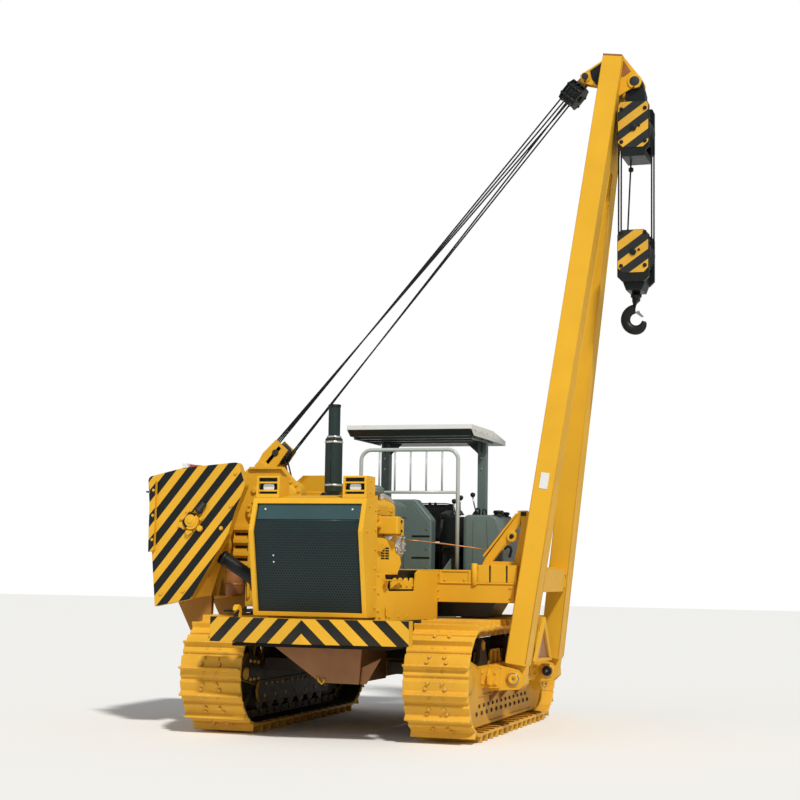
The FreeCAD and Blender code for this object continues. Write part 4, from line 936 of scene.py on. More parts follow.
@dataclass
class Studio:
    """The floor, the soft lights and the camera."""

    eye: Point = (15.298, 5.457, 1.613)
    yaw: float = 0.3084
    pitch: float = 0.1012
    roll: float = 0.0155
    lens: float = 74.72
    floor_half: float = 60.0
    air_light: float = 0.3

    def build(self) -> None:
        """Sets up the whole studio."""
        self.lay_floor()
        self.hang_lights()
        self.aim_camera()

    def lay_floor(self) -> None:
        """Lays a plain pale floor."""
        data = bpy.data.meshes.new("studio_floor")
        reach = self.floor_half
        data.from_pydata([(-reach, -reach, -0.001), (reach, -reach, -0.001), (reach, reach, -0.001),
            (-reach, reach, -0.001)], [], [(0, 1, 2, 3)])
        floor = bpy.data.objects.new("studio_floor", data)
        bpy.context.scene.collection.objects.link(floor)
        pale = bpy.data.materials.new("pale_floor")
        pale.use_nodes = True
        shader = pale.node_tree.nodes["Principled BSDF"]
        shader.inputs["Base Color"].default_value = (0.93, 0.93, 0.93, 1.0)
        shader.inputs["Roughness"].default_value = 0.9
        data.materials.append(pale)

    def hang_lights(self) -> None:
        """Hangs a broad key, a soft fill and a pale surround."""
        for name, heading, rise, power, spread, shade in (("key_light", 38.0, 46.0, 2.9, 5.0,
                (1.0, 0.97, 0.9)), ("fill_light", -35.0, 20.0, 0.35, 60.0, (0.95, 0.98, 1.0))):
            lamp = bpy.data.lights.new(name, "SUN")
            lamp.energy = power
            lamp.angle = math.radians(spread)
            lamp.color = shade
            holder = bpy.data.objects.new(name, lamp)
            turn, lift = math.radians(heading), math.radians(rise)
            way = Vector((math.cos(turn) * math.cos(lift), math.sin(turn) * math.cos(lift),
                math.sin(lift)))
            holder.rotation_euler = way.to_track_quat("Z", "Y").to_euler()
            holder.location = way * 30.0
            bpy.context.scene.collection.objects.link(holder)
        world = bpy.data.worlds.new("studio_air")
        world.use_nodes = True
        wiring = world.node_tree
        backdrop = wiring.nodes["Background"]
        backdrop.inputs["Color"].default_value = (1.0, 1.0, 1.0, 1.0)
        backdrop.inputs["Strength"].default_value = 1.0
        air = wiring.nodes.new("ShaderNodeBackground")
        air.inputs["Color"].default_value = (0.93, 0.97, 1.0, 1.0)
        air.inputs["Strength"].default_value = self.air_light
        ray = wiring.nodes.new("ShaderNodeLightPath")
        blend = wiring.nodes.new("ShaderNodeMixShader")
        wiring.links.new(ray.outputs["Is Camera Ray"], blend.inputs[0])
        wiring.links.new(air.outputs[0], blend.inputs[1])
        wiring.links.new(backdrop.outputs[0], blend.inputs[2])
        wiring.links.new(blend.outputs[0], wiring.nodes["World Output"].inputs[0])
        bpy.context.scene.world = world
        bpy.context.scene.view_settings.view_transform = "Standard"

    def aim_camera(self) -> None:
        """Aims the main camera at the whole machine."""
        ahead = Vector((-math.cos(self.yaw) * math.cos(self.pitch),
            -math.sin(self.yaw) * math.cos(self.pitch), math.sin(self.pitch)))
        right = ahead.cross(UP).normalized()
        upward = right.cross(ahead)
        side = math.cos(self.roll) * right + math.sin(self.roll) * upward
        top = math.cos(self.roll) * upward - math.sin(self.roll) * right
        lens = bpy.data.cameras.new("main_camera")
        lens.lens = self.lens
        lens.sensor_width = 36.0
        lens.clip_end = 200.0
        holder = bpy.data.objects.new("main_camera", lens)
        turn = Matrix((side, top, -ahead)).transposed().to_4x4()
        holder.matrix_world = Matrix.Translation(SHOP.place(self.eye)) @ turn
        bpy.context.scene.collection.objects.link(holder)
        bpy.context.scene.camera = holder


# ------------------------------------------------------------------ crawler tracks


@dataclass
class CrawlerTrack:
    """One track: forty shoes with their grousers and bolts, on a chain of links."""

    word: str
    side: float
    phase: float
    shoes: int = 40
    pitch: float = 0.203
    span: float = 2.73
    gauge: float = 2.248
    width: float = 0.628
    axle: float = 0.564
    grouser: float = 0.062
    plate: float = 0.028
    link: float = 0.09

    def pitch_radius(self) -> float:
        """Radius of the pitch line around an axle."""
        return (self.shoes * self.pitch - 2 * self.span) / math.tau

    def at(self, run: float) -> tuple[Vector, Vector, Vector]:
        """The pitch line's frame at a distance along it.

        Args:
            run: distance from the idler's foremost point, over the top.

        Returns:
            The axle-height centre of curvature or foot, the outward and the forward
            unit vectors.
        """
        radius = self.pitch_radius()
        quarter = math.pi / 2 * radius
        run %= self.shoes * self.pitch
        if run < quarter:
            turn, hub = run / radius, 0.0
        elif run < quarter + self.span:
            return (Vector((quarter - run, 0.0, self.axle)), UP, -FORE)
        elif run < 3 * quarter + self.span:
            turn, hub = (run - self.span) / radius, -self.span
        elif run < 3 * quarter + 2 * self.span:
            return (Vector((run - 3 * quarter - 2 * self.span, 0.0, self.axle)), -UP, FORE)
        else:
            turn, hub = (run - 2 * self.span) / radius, 0.0
        out = Vector((math.cos(turn), 0.0, math.sin(turn)))
        return Vector((hub, 0.0, self.axle)), out, Vector((-out.z, 0.0, out.x))

    def build(self) -> None:
        """Builds the shoes, their bolts and the chain."""
        shoes = Shaper(f"shoes_{self.word}")
        bolts = Shaper(f"shoe_bolts_{self.word}")
        links = Shaper(f"links_{self.word}")
        for place in range(self.shoes):
            crest = self.phase * self.pitch_radius() + place * self.pitch
            self.shape_shoe(shoes, bolts, crest)
            self.shape_link(links, crest)
        shoes.done(TRACK_ENAMEL, bevel=0.003, segments=1, replaces=(f"track_{self.word}",))
        bolts.done(TRACK_ENAMEL)
        links.done(FRAME_ENAMEL, bevel=0.002, segments=1)
        self.line_earth_and_shade()

    def line_earth_and_shade(self) -> None:
        """Lines the shoes' inner side with a near-black sheet, between their lips: caked soil and
        painted shade.
        """
        lining = Shaper(f"track_earth_and_shade_{self.word}")
        steps = self.shoes * 4
        radius = self.axle - self.grouser - self.plate - 0.016
        inner, outer = sorted((-self.side * (self.width / 2 - 0.012), 0.0))
        rings = []
        for place in range(steps):
            centre, out, _ = self.at(place * self.pitch / 4)
            middle = SHOP.place((centre.x, self.side * self.gauge / 2, centre.z))
            rings.append([lining.mesh.verts.new(middle + out * (radius + lift)
                + Vector((0.0, across, 0.0))) for lift, across in ((0.0, inner), (0.002, inner),
                (0.002, outer), (0.0, outer))])
        for first, second in zip(rings, rings[1:] + rings[:1]):
            lining.bridge(first, second, smooth=False)
        lining.done(EARTH_AND_SHADE)

    def frame_at(self, middle: float) -> Matrix:
        """The frame of a flat shoe: X along the run, Y across, Z outward, at the axle.

        Args:
            middle: the shoe's place along the pitch line.

        Returns:
            The frame in the row's frame.
        """
        centre, out, ahead = self.at(middle)
        shift = SHOP.place((centre.x, self.side * self.gauge / 2, centre.z))
        across = out.cross(ahead)
        return Matrix.Translation(shift) @ Matrix((ahead, across, out)).transposed().to_4x4()

    def shape_shoe(self, shoes: Shaper, bolts: Shaper, crest: float) -> None:
        """One shoe: lips, plate, grouser, notches' rims and four bolts.

        Args:
            shoes: takes the shoe.
            bolts: takes its bolts.
            crest: the grouser's place along the pitch line.
        """
        seat = self.axle - self.grouser
        low = seat - self.plate
        along = self.frame_at(crest + 0.016)
        half = self.pitch / 2
        top = self.axle - 0.0005
        profile = [(-0.088, low + 0.004), (-0.094, low - 0.004), (-0.100, low + 0.002),
            (-0.099, low + 0.012), (-0.088, seat - 0.003), (-0.036, seat), (-0.029, seat + 0.008),
            (-0.0245, top - 0.003), (-0.0235, top), (-0.0085, top), (-0.0075, top - 0.003),
            (0.001, seat + 0.008), (0.009, seat), (half - 0.006, seat),
            (half + 0.004, seat - 0.007), (half + 0.008, low + 0.003), (half + 0.014, low - 0.006),
            (half + 0.04, low - 0.009), (half + 0.04, low - 0.014), (half + 0.01, low - 0.013),
            (half - 0.004, low - 0.002), (half - 0.018, low)]
        wide = self.width / 2
        rings = []
        for across, inset in ((-wide, 0.004), (-wide + 0.004, 0.0), (wide - 0.004, 0.0),
                (wide, 0.004)):
            rings.append([shoes.mesh.verts.new(along @ Vector((run * (1 - inset), across,
                height - (inset if height >= top - 0.004 else 0.0)))) for run, height in profile])
        shoes.skin(rings, smooth=False)
        for run, across in ((0.03, 0.094), (0.03, -0.094), (0.083, 0.071), (0.083, -0.071)):
            bolts.bolt(along @ Vector((run, across, seat)), along.to_3x3() @ UP, 0.032, 0.019)
        for across in (-0.063, 0.063):
            bolts.lathe(along @ Vector((-0.052, across, seat - 0.002)), along.to_3x3() @ UP,
                [(0.0, 0.018), (0.0035, 0.018), (0.0036, 0.013), (0.0005, 0.012)], 14)

    def shape_link(self, links: Shaper, crest: float) -> None:
        """The pair of links, the bushing and the pin under one shoe.

        Args:
            links: takes the chain.
            crest: the grouser's place along the pitch line.
        """
        low = self.axle - self.grouser - self.plate
        along = self.frame_at(crest + 0.016)
        deep = self.link
        for sign in (-1.0, 1.0):
            for start, end, inner, outer in ((-0.098, 0.02, 0.062, 0.083),
                    (-0.01, 0.098, 0.073, 0.094)):
                outline = [(start, -0.012), (start + 0.02, 0.0), (end - 0.02, 0.0), (end, -0.012),
                    (end, -deep + 0.03), (end - 0.025, -deep), (start + 0.025, -deep),
                    (start, -deep + 0.03)]
                near = sign * inner
                corners = [along @ Vector((run, near, low + 0.0005 + drop))
                    for run, drop in outline]
                links.plate(corners, along.to_3x3() @ (sign * (outer - inner) * LEFT))
        for reach, radius, sides in ((0.095, 0.019, 14), (0.06, 0.032, 16)):
            links.rod(along @ Vector((-0.085, -reach, low - 0.052)),
                along @ Vector((-0.085, reach, low - 0.052)), radius, sides)


# ------------------------------------------------------------------ front end


@dataclass
class FrontEnd:
    """Bumper, radiator guard with its blank name band, and the two lamps."""

    nose_half: float = 0.56
    grille_half: float = 0.516
    fold: tuple[float, float] = (0.959, 1.945)
    crown: tuple[float, float] = (0.866, 2.2)
    foot: tuple[float, float] = (0.795, 1.2)
    lamp_y: float = 0.43
    lamp_front: float = 0.8
    lamp_low: float = 2.29
    lamp_high: float = 2.442
    blade_high: float = 1.141

    def build(self) -> None:
        """Builds the whole front end."""
        self.paint_bumper()
        self.fit_name_band()
        self.fit_lamps()
        self.fit_bolts()
        self.fold_belly()

    def paint_bumper(self) -> None:
        """Rules the chevrons on the bumper and the pierced sheet on the grille."""
        dress("front_bumper", StripedFinish("stripes_bumper", YELLOW, roughness=0.38, mottle=0.12,
            gloss=0.25, pitch=0.1817, start=0.707 * (0.64 + self.blade_high), dark_share=0.48,
            fold=SHOP.origin.y, dust=0.3))
        dress("radiator_grille", PIERCED)

    def fit_name_band(self) -> None:
        """Lays the blank band over the grille's top, with its screws and rivets."""
        band = Shaper("name_band")
        screws = Shaper("band_screws")
        fold = Vector((self.fold[0], 0.0, self.fold[1]))
        foot = Vector((self.foot[0], 0.0, self.foot[1]))
        rise = Vector((self.crown[0], 0.0, self.crown[1])) - fold
        out = Vector((rise.z, 0.0, -rise.x)).normalized()
        low, high = fold + rise * 0.42, fold + rise * 0.985
        half = self.grille_half - 0.012
        band.plate([(low.x, -half, low.z), (low.x, half, low.z), (high.x, half, high.z),
            (high.x, -half, high.z)], out * 0.005)
        band.done(NAME_PLATE, bevel=0.0015)
        middle = (low + high) / 2
        for y in (-0.43, 0.43):
            screws.bolt(HULL.at(middle.x, y, middle.z + 0.02) + out * 0.005, out, 0.018, 0.006)
        for share in (0.695, 0.614):
            spot = foot.lerp(fold, share)
            screws.bolt((spot.x + 0.002, -0.335, spot.z), FORE, 0.014, 0.005)
        screws.done(BARE_PLATE)
        trim = Shaper("grille_seam")
        seam = fold + rise * 0.39 + 0.002 * FORE
        half = self.grille_half - 0.01
        trim.rod((seam.x, -half, seam.z), (seam.x, half, seam.z), 0.0035, 8)
        trim.done(NAME_PLATE)

    def fit_lamps(self) -> None:
        """Fits each lamp's dark bowl, lens, bezel and guard bars."""
        for word, side in (("left", 1.0), ("right", -1.0)):
            y = side * self.lamp_y
            middle = (self.lamp_low + self.lamp_high) / 2
            bowl = Shaper(f"lamp_bowl_{word}")
            bowl.box((self.lamp_front + 0.001, y - 0.095, self.lamp_low + 0.002),
                (self.lamp_front + 0.006, y + 0.095, self.lamp_high - 0.002))
            bowl.lathe((self.lamp_front + 0.004, y, middle - 0.012), FORE, [(0.0, 0.07),
                (0.02, 0.07), (0.028, 0.066), (0.028, 0.058), (0.012, 0.05)], 32)
            bowl.done(DARK_ENAMEL)
            lens = Shaper(f"lamp_lens_{word}")
            lens.front([(y - 0.066, middle - 0.034), (y - 0.05, middle - 0.042),
                (y + 0.05, middle - 0.042), (y + 0.066, middle - 0.034),
                (y + 0.066, middle + 0.012), (y + 0.05, middle + 0.02), (y - 0.05, middle + 0.02),
                (y - 0.066, middle + 0.012)], self.lamp_front + 0.01, 0.016)
            lens.done(LENS, bevel=0.006, segments=3)
            bars = Shaper(f"lamp_bars_{word}")
            for share in (0.2, 0.7):
                height = self.lamp_low + share * (self.lamp_high - self.lamp_low)
                bars.box((0.838, y - 0.1, height - 0.008), (0.852, y + 0.1, height + 0.008))
            for edge in (-0.1, 0.1):
                bars.box((0.838, y + edge - 0.007, self.lamp_low),
                    (0.85, y + edge + 0.007, self.lamp_high))
            bars.bolt_row((0.73, y + side * 0.115, 2.31), (0.73, y + side * 0.115, 2.42), 2,
                side * LEFT, 0.02, 0.01)
            bars.done(ENAMEL, bevel=0.002)

    def fold_belly(self) -> None:
        """The belly guard's folded plate and gusset, the pan behind it and its tow hook; plate and
        pan carry painted shade.
        """
        # The plate and gusset are brown: painted shade on the yellow guard.
        belly = Shaper("belly_plate")
        belly.front([(-0.51, 0.872), (-0.02, 0.535), (0.365, 0.53), (0.39, 0.872)], 0.42, 0.03)
        belly.front([(-0.44, 0.872), (-0.02, 0.56), (0.352, 0.54), (0.352, 0.872)], -0.42, 0.845)
        belly.front([(0.366, 0.532), (0.385, 0.69), (0.575, 0.78), (0.43, 0.532)], 0.41, 0.012)
        belly.done(SHADE_BROWN, bevel=0.006, replaces=("belly_guard",))
        # A near-black pan under the bumper and the hull: painted shade with caked soil.
        pan = Shaper("belly_pan_shade")
        pan.box((-0.42, -0.775, 0.872), (0.8, 0.775, 0.902))
        pan.box((-2.3, -0.62, 0.74), (-0.42, 0.62, 0.88))
        pan.done(EARTH_AND_SHADE, bevel=0.004)
        hook = Shaper("belly_hook")
        hook.tube([(0.458, *spot) for spot in ((-0.035, 0.585), (-0.03, 0.55), (0.0, 0.527),
            (0.022, 0.545), (0.018, 0.575))], 0.011, 12)
        hook.done(ENAMEL)

    def fit_bolts(self) -> None:
        """Puts the bolts on the nose's sides and on its top edge."""
        bolts = Shaper("front_bolts")
        for side in (-1.0, 1.0):
            out = side * LEFT
            bolts.bolt_row((0.62, side * self.nose_half, 1.25), (0.62, side * self.nose_half, 2.15),
                6, out, 0.026, 0.012)
            bolts.bolt_row((0.86, side * self.nose_half, 1.95), (0.8, side * self.nose_half, 2.18),
                2, out, 0.022, 0.01)
        bolts.bolt_row((0.8, -0.5, 2.262), (0.8, 0.5, 2.262), 2, UP, 0.022, 0.01)
        bolts.done(ENAMEL)


# ------------------------------------------------------------------ counterweight


@dataclass
class Counterweight:
    """The swinging counterweight's stripes, hub, flange, lifting eyes and bolts."""

    front: float = 0.25
    hub: tuple[float, float] = (-1.472, 2.051)
    slab_thick: float = 0.35
    slab_pitch: float = 0.36

    def build(self) -> None:
        """Builds every fitting of the counterweight."""
        dress("counterweight_face", WEIGHT_STRIPES)
        self.shape_hub()
        self.shape_top()
        self.shape_sides()

    def shape_hub(self) -> None:
        """The hub's ring of lugs and bolts, and the tie bar's dark end."""
        y, z = self.hub
        boss = Shaper("weight_hub")
        boss.lathe((self.front + 0.04, y, z), FORE, [(0.0, 0.06), (0.006, 0.062), (0.012, 0.058),
            (0.014, 0.03), (0.02, 0.026), (0.02, 0.004)], 32)
        boss.bolt_ring((self.front, y, z), FORE, 0.105, 7, 0.042, 0.03, 0.3)
        for angle in (200, 255, 320):
            turn = math.radians(angle)
            boss.lathe((self.front, y + 0.118 * math.cos(turn), z + 0.118 * math.sin(turn)), FORE,
                [(0.0, 0.03), (0.026, 0.03), (0.034, 0.024), (0.034, 0.01)], 16)
        boss.done(ENAMEL, Body.COUNTERWEIGHT, bevel=0.002)
        bar = Shaper("weight_tie_end")
        way = Vector((0.0, 0.629, 0.777))
        start = HULL.at(self.front + 0.03, y, z) + way * 0.11
        bar.lathe(start, way, [(0.0, 0.036), (0.02, 0.042), (0.035, 0.042), (0.04, 0.03),
            (0.11, 0.03), (0.115, 0.024)], 20)
        bar.done(CAST, Body.COUNTERWEIGHT)

    def shape_top(self) -> None:
        """The cream keeper and the red latch on the counterweight's top edge."""
        latch = Shaper("weight_latch")
        latch.front([(-1.53, 2.575), (-1.52, 2.612), (-1.36, 2.596), (-1.30, 2.585), (-1.30, 2.57)],
            0.1, 0.14)
        latch.done(RED_ENAMEL, Body.COUNTERWEIGHT, bevel=0.006)
        keeper = Shaper("weight_keeper")
        keeper.front([(-1.585, 2.56), (-1.6, 2.62), (-1.55, 2.622), (-1.53, 2.57)], 0.1, 0.15)
        keeper.done(BARE_PLATE, Body.COUNTERWEIGHT, bevel=0.005)

    def slab_middle(self, place: int) -> float:
        """X of a slab's middle, counted from the front."""
        return -self.front - self.slab_thick / 2 - place * self.slab_pitch

    def shape_sides(self) -> None:
        """The rounded guard bar by the left flange, slab bolts and lifting eyes."""
        rail = Shaper("weight_edge_bar")
        rail.tube([(self.front + 0.02, -1.905, 1.75), (self.front + 0.02, -1.905, 2.42)], 0.022, 14)
        rail.done(ENAMEL, Body.COUNTERWEIGHT)
        gap = Shaper("weight_edge_shadow")
        gap.box((self.front - 0.09, -1.985, 2.33), (self.front - 0.004, -1.93, 2.345))
        gap.done(DARK_ENAMEL, Body.COUNTERWEIGHT)
        bolts = Shaper("weight_bolts")
        for place in range(4):
            for height in (1.85, 2.2):
                bolts.bolt((self.slab_middle(place), -2.09, height), -LEFT, 0.06, 0.02)
        for height in (1.86, 2.1, 2.35):
            bolts.bolt((self.front + 0.045, -1.88, height), FORE, 0.026, 0.01)
        for spot in ((-1.02, 2.52), (-1.06, 2.2), (-1.16, 1.98), (-1.79, 1.33), (-1.55, 1.36)):
            bolts.bolt((self.front, *spot), FORE, 0.034, 0.012)
        bolts.done(ENAMEL, Body.COUNTERWEIGHT)
        eyes = Shaper("weight_eyes")
        for place in (0, 3):
            middle = HULL.at(self.slab_middle(place), -1.72, 2.395)
            eyes.tube([middle + 0.055 * Vector((0.0, math.cos(turn), math.sin(turn)))
                for turn in arc(0, 180, 9)], 0.014, 12)
        eyes.done(ENAMEL, Body.COUNTERWEIGHT)


# ------------------------------------------------------------------ rigging


@dataclass
class Rigging:
    """Blocks, sheaves, wire ropes and the hook."""

    line_block: float = 0.22
    head_block: float = LINE_LENGTH - 0.21
    line_radius: float = 0.092
    line_gap: float = 0.06
    line_width: float = 0.05
    line_reach: float = 0.13
    head_gap: float = 0.046
    head_width: float = 0.04
    head_reach: float = 0.1
    upper: float = 0.51
    lower: float = 1.79
    load_radius: float = 0.16
    load_gap: float = 0.075
    rope: float = 0.009

    def build(self) -> None:
        """Builds both tackles."""
        self.reeve_boom_line()
        self.reeve_load_line()
        self.dress_blocks()
        self.shape_line_block()
        self.shape_head_block()
        self.forge_hook()

    def reeve_boom_line(self) -> None:
        """The boom line's two sheave sets, square to each other, and its five parts."""
        side = self.line_radius + self.rope
        crosswise = LINE_PIN.way(0.0, 1.0, 0.0)
        sets = [("line", self.line_block, Body.LINE_BLOCK, -1.0, False, self.line_gap,
            self.line_width, self.line_reach), ("head", self.head_block, Body.HEAD_BLOCK, 1.0, True,
            self.head_gap, self.head_width, self.head_reach)]
        for word, height, body, sign, turned, gap, width, reach in sets:
            wheels = Shaper(f"{word}_sheaves")
            turns = Shaper(f"{word}_rope_turns")
            axle = crosswise if turned else FORE
            hub = LINE_PIN.at(0.0, 0.0, height)
            for place in range(3):
                along = (place - 1) * gap
                wheels.sheave(hub + along * axle, axle, self.line_radius, width, 0.025)
                turns.rope([self.line_spot(along, side * math.cos(turn),
                    height + sign * side * math.sin(turn), turned) for turn in arc(0, 180, 18)],
                    self.rope)
            wheels.rod(hub - reach * axle, hub + reach * axle, 0.026, 24)
            for end in (1.0, -1.0):
                wheels.lathe(hub + end * reach * axle, end * axle,
                    [(0.0, 0.036), (0.008, 0.036), (0.012, 0.03)], 24)
            wheels.done(CAST, body, replaces=(f"{word}_block_sheaves",))
            turns.done(ROPE, body)
        strands = Shaper("boom_line_ropes")
        for place in range(5):
            along = place // 2 - 1
            out = side * (2 * (place % 2) - 1)
            strands.rope([self.line_spot(along * self.line_gap, out, self.line_block, False),
                self.line_spot(along * self.head_gap, out, self.head_block, True)], self.rope)
        ropes = strands.done(ROPE, None, replaces=("boom_ropes",))
        LINE_PIN.at(0.0, 0.0, 0.3)
        LINE_PIN.at(0.0, 0.0, self.head_block - 0.08)
        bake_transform(ropes)
        lead = Shaper("drum_leads")
        for x, y in ((-0.03, -0.98), (0.06, -0.98)):
            lead.rope([(-1.35 + x, y, 2.25), LINE_PIN.at(x, side, self.line_block)], self.rope)
        leads = lead.done(ROPE, None)
        HULL.at(-1.35, -0.99, 2.3)
        LINE_PIN.at(0.0, side, self.line_block - 0.02)
        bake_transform(leads)

    def line_spot(self, along: float, out: float, up: float, turned: bool) -> Vector:
        """A spot on a rope of the boom line.

        Args:
            along: its place along the block's axle.
            out: its place across the axle.
            up: its height along the line.
            turned: whether the block's axle lies across the machine's X.

        Returns:
            The spot in the shop's frame.
        """
        return LINE_PIN.at(-out, along, up) if turned else LINE_PIN.at(along, out, up)

    def reeve_load_line(self) -> None:
        """The load blocks' grooved sheaves and the four parts between them."""
        side = self.load_radius + self.rope
        for word, drop, body, sign in (("upper", self.upper, Body.UPPER_BLOCK, 1.0),
                ("hook", self.lower, Body.HOOK_BLOCK, -1.0)):
            wheels = Shaper(f"{word}_sheaves", LOAD_PIN)
            turns = Shaper(f"{word}_rope_turns", LOAD_PIN)
            for x in (-self.load_gap, self.load_gap):
                wheels.sheave((x, 0.0, -drop), FORE, self.load_radius, 0.05, 0.035)
                turns.rope([(x, side * math.cos(turn), -drop + sign * side * math.sin(turn))
                    for turn in arc(0, 180, 18)], self.rope)
            wheels.rod((-0.15, 0.0, -drop), (0.15, 0.0, -drop), 0.036, 24)
            wheels.done(CAST, body, replaces=(f"{word}_block_sheaves",))
            turns.done(ROPE, body)
        strands = Shaper("load_line_ropes", LOAD_PIN)
        for x in (-self.load_gap, self.load_gap):
            for out in (-side, side):
                strands.rope([(x, out, -self.upper), (x, out, -self.lower)], self.rope)
        strands.rope([(0.0, -0.055, -self.upper - 0.29), (0.0, -0.09, -self.lower + 0.2)],
            self.rope)
        strands.lathe((0.0, -0.055, -self.upper - 0.36), -UP, [(0.0, 0.012), (0.01, 0.026),
            (0.04, 0.026), (0.05, 0.012)], 12)
        ropes = strands.done(ROPE, None, replaces=("load_ropes",))
        LOAD_PIN.at(0.0, 0.0, -self.upper - 0.42)
        LOAD_PIN.at(0.0, 0.0, -self.lower + 0.25)
        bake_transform(ropes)

    def dress_blocks(self) -> None:
        """The load blocks' striped cheek plates with their bolts and pins."""
        upper = mirrored([(0.13, 0.275), (0.155, 0.24), (0.155, -0.15), (0.1, -0.2)])
        lower = mirrored([(0.105, 0.225), (0.155, 0.175), (0.155, -0.16), (0.11, -0.21)])
        sets = [("upper", self.upper, upper, Body.UPPER_BLOCK, 0.02), ("hook", self.lower, lower,
            Body.HOOK_BLOCK, 0.06)]
        for word, drop, points, body, shift in sets:
            middle = LOAD_PIN.at(0.0, 0.0, -drop)
            ruled = BLOCK_WAY[1] * middle.y + BLOCK_WAY[2] * (middle.z + shift) - 0.035
            stripes = StripedFinish(f"stripes_{word}", YELLOW, roughness=0.42, mottle=0.25,
                coat=0.1, side=BLACK, direction=BLOCK_WAY, pitch=0.164, start=ruled, edge_share=0.5,
                edge_colour=(0.2, 0.16, 0.1))
            seat = Seat((LOAD_PIN.base[0], LOAD_PIN.base[1], LOAD_PIN.base[2] - drop))
            plates = Shaper(f"{word}_cheek_faces", seat)
            for start in (0.2, -0.206):
                plates.front(points, start, 0.006)
            plates.done(stripes, body, bevel=0.002)
            pins = Shaper(f"{word}_block_pins", seat)
            for end in (1.0, -1.0):
                face = end * FORE
                pins.lathe((end * 0.206, 0.0, 0.0), face, [(0.0, 0.034), (0.012, 0.034),
                    (0.016, 0.028), (0.016, 0.008)], 24)
                pins.bolt((end * 0.206, 0.06, 0.02), face, 0.022, 0.01)
                for out, up in ((-0.12, 0.2), (0.12, 0.2), (0.12, -0.14), (-0.12, -0.14)):
                    pins.bolt((end * 0.206, out, up), face, 0.034, 0.014)
            for up in (0.16, -0.13):
                for out in (-0.125, 0.125):
                    pins.rod((-0.15, out, up), (0.15, out, up), 0.013, 12)
            pins.done(DARK_ENAMEL, body)

    def shape_line_block(self) -> None:
        """The line block's cover strips, side ribs and pin heads."""
        cover = Shaper("line_block_cover", LINE_PIN)
        for low, high in ((0.1, 0.125), (0.165, 0.19), (0.24, 0.265)):
            for side in (-1.0, 1.0):
                cover.box((-0.11, side * 0.085 - 0.006, low), (0.11, side * 0.085 + 0.006, high))
        for end in (-1.0, 1.0):
            # Each side rib is laid twice, and the doubled faces render as a dark bar.
            for _ in range(2):
                cover.box((end * 0.131 - 0.003, -0.02, -0.03), (end * 0.131 + 0.003, 0.02, 0.3))
            cover.lathe((end * 0.13, 0.0, 0.0), end * FORE,
                [(0.0, 0.07), (0.006, 0.07), (0.008, 0.062)], 28)
        cover.done(ENAMEL, Body.LINE_BLOCK, bevel=0.002)

    def shape_head_block(self) -> None:
        """The head block: crosswise cheeks, cover straps and the clevis on its pin."""
        cheeks = Shaper("head_block_shell", LINE_PIN)
        outline = mirrored([(0.06, LINE_LENGTH - 0.095), (0.114, LINE_LENGTH - 0.15),
            (0.114, LINE_LENGTH - 0.27), (0.07, LINE_LENGTH - 0.33)])
        for out in (-0.092, -0.03, 0.016, 0.078):
            cheeks.side(outline, out, 0.014)
        for x, up in ((-0.098, -0.16), (0.098, -0.16), (0.098, -0.27), (-0.098, -0.27)):
            cheeks.rod((x, -0.1, LINE_LENGTH + up), (x, 0.1, LINE_LENGTH + up), 0.012, 12)
        cheeks.box((-0.06, -0.092, LINE_LENGTH - 0.1), (0.06, 0.092, LINE_LENGTH - 0.086))
        cheeks.done(DARK_ENAMEL, Body.HEAD_BLOCK, bevel=0.002, replaces=("head_block_cheeks",))
        # The clevis is brown: painted shade on yellow enamel.
        clevis = Shaper("head_block_clevis", LINE_PIN)
        for x in (-0.045, 0.027):
            clevis.front([(-0.05, LINE_LENGTH - 0.084), (-0.04, LINE_LENGTH + 0.02),
                (0.0, LINE_LENGTH + 0.042), (0.04, LINE_LENGTH + 0.02),
                (0.05, LINE_LENGTH - 0.084)], x, 0.018)
        clevis.done(SHADE_BROWN, Body.HEAD_BLOCK, bevel=0.002)

    def forge_hook(self) -> None:
        """The forged hook: shank, collar, bowl with its tip, and the safety latch."""
        top = -self.lower - 0.38 - 0.08
        throat, back, shank = 0.06, 0.098, 0.042
        centre = top - throat - back - shank
        stations = [((0.0, 0.0, height), shank * FORE, shank * LEFT)
            for height in (top + 0.125, top - 0.01)]
        for step in range(25):
            turn = math.radians(98 + step * 10.3)
            share = min(1.0, (24 - step + 1.5) / 9)
            thick = 0.03 + (back - 0.03) * math.sin(math.pi / 2 * share)
            reach = throat + thick / 2
            wide = shank * (0.55 + 0.42 * share)
            away = Vector((0.0, math.cos(turn), math.sin(turn)))
            stations.append(((0.0, reach * away.y, centre + reach * away.z), wide * FORE,
                thick / 2 * away))
        forged = Shaper("forged_hook", LOAD_PIN)
        forged.sweep(stations, 24)
        forged.lathe((0.0, 0.0, top + 0.02), UP, [(0.0, 0.042), (0.008, 0.056), (0.034, 0.056),
            (0.042, 0.048)], 28)
        forged.done(DARK_ENAMEL, Body.HOOK, replaces=("hook",))
        latch = Shaper("hook_latch", LOAD_PIN)
        latch.plate([(-0.018, -0.012, centre + throat + 0.012),
            (-0.018, throat * 0.95, centre + 0.02), (-0.018, throat * 0.95 + 0.02, centre + 0.03),
            (-0.018, 0.03, centre + throat + 0.03)], Vector((0.036, 0.0, 0.0)))
        latch.done(STEEL, Body.HOOK, bevel=0.002)


# ------------------------------------------------------------------ platform


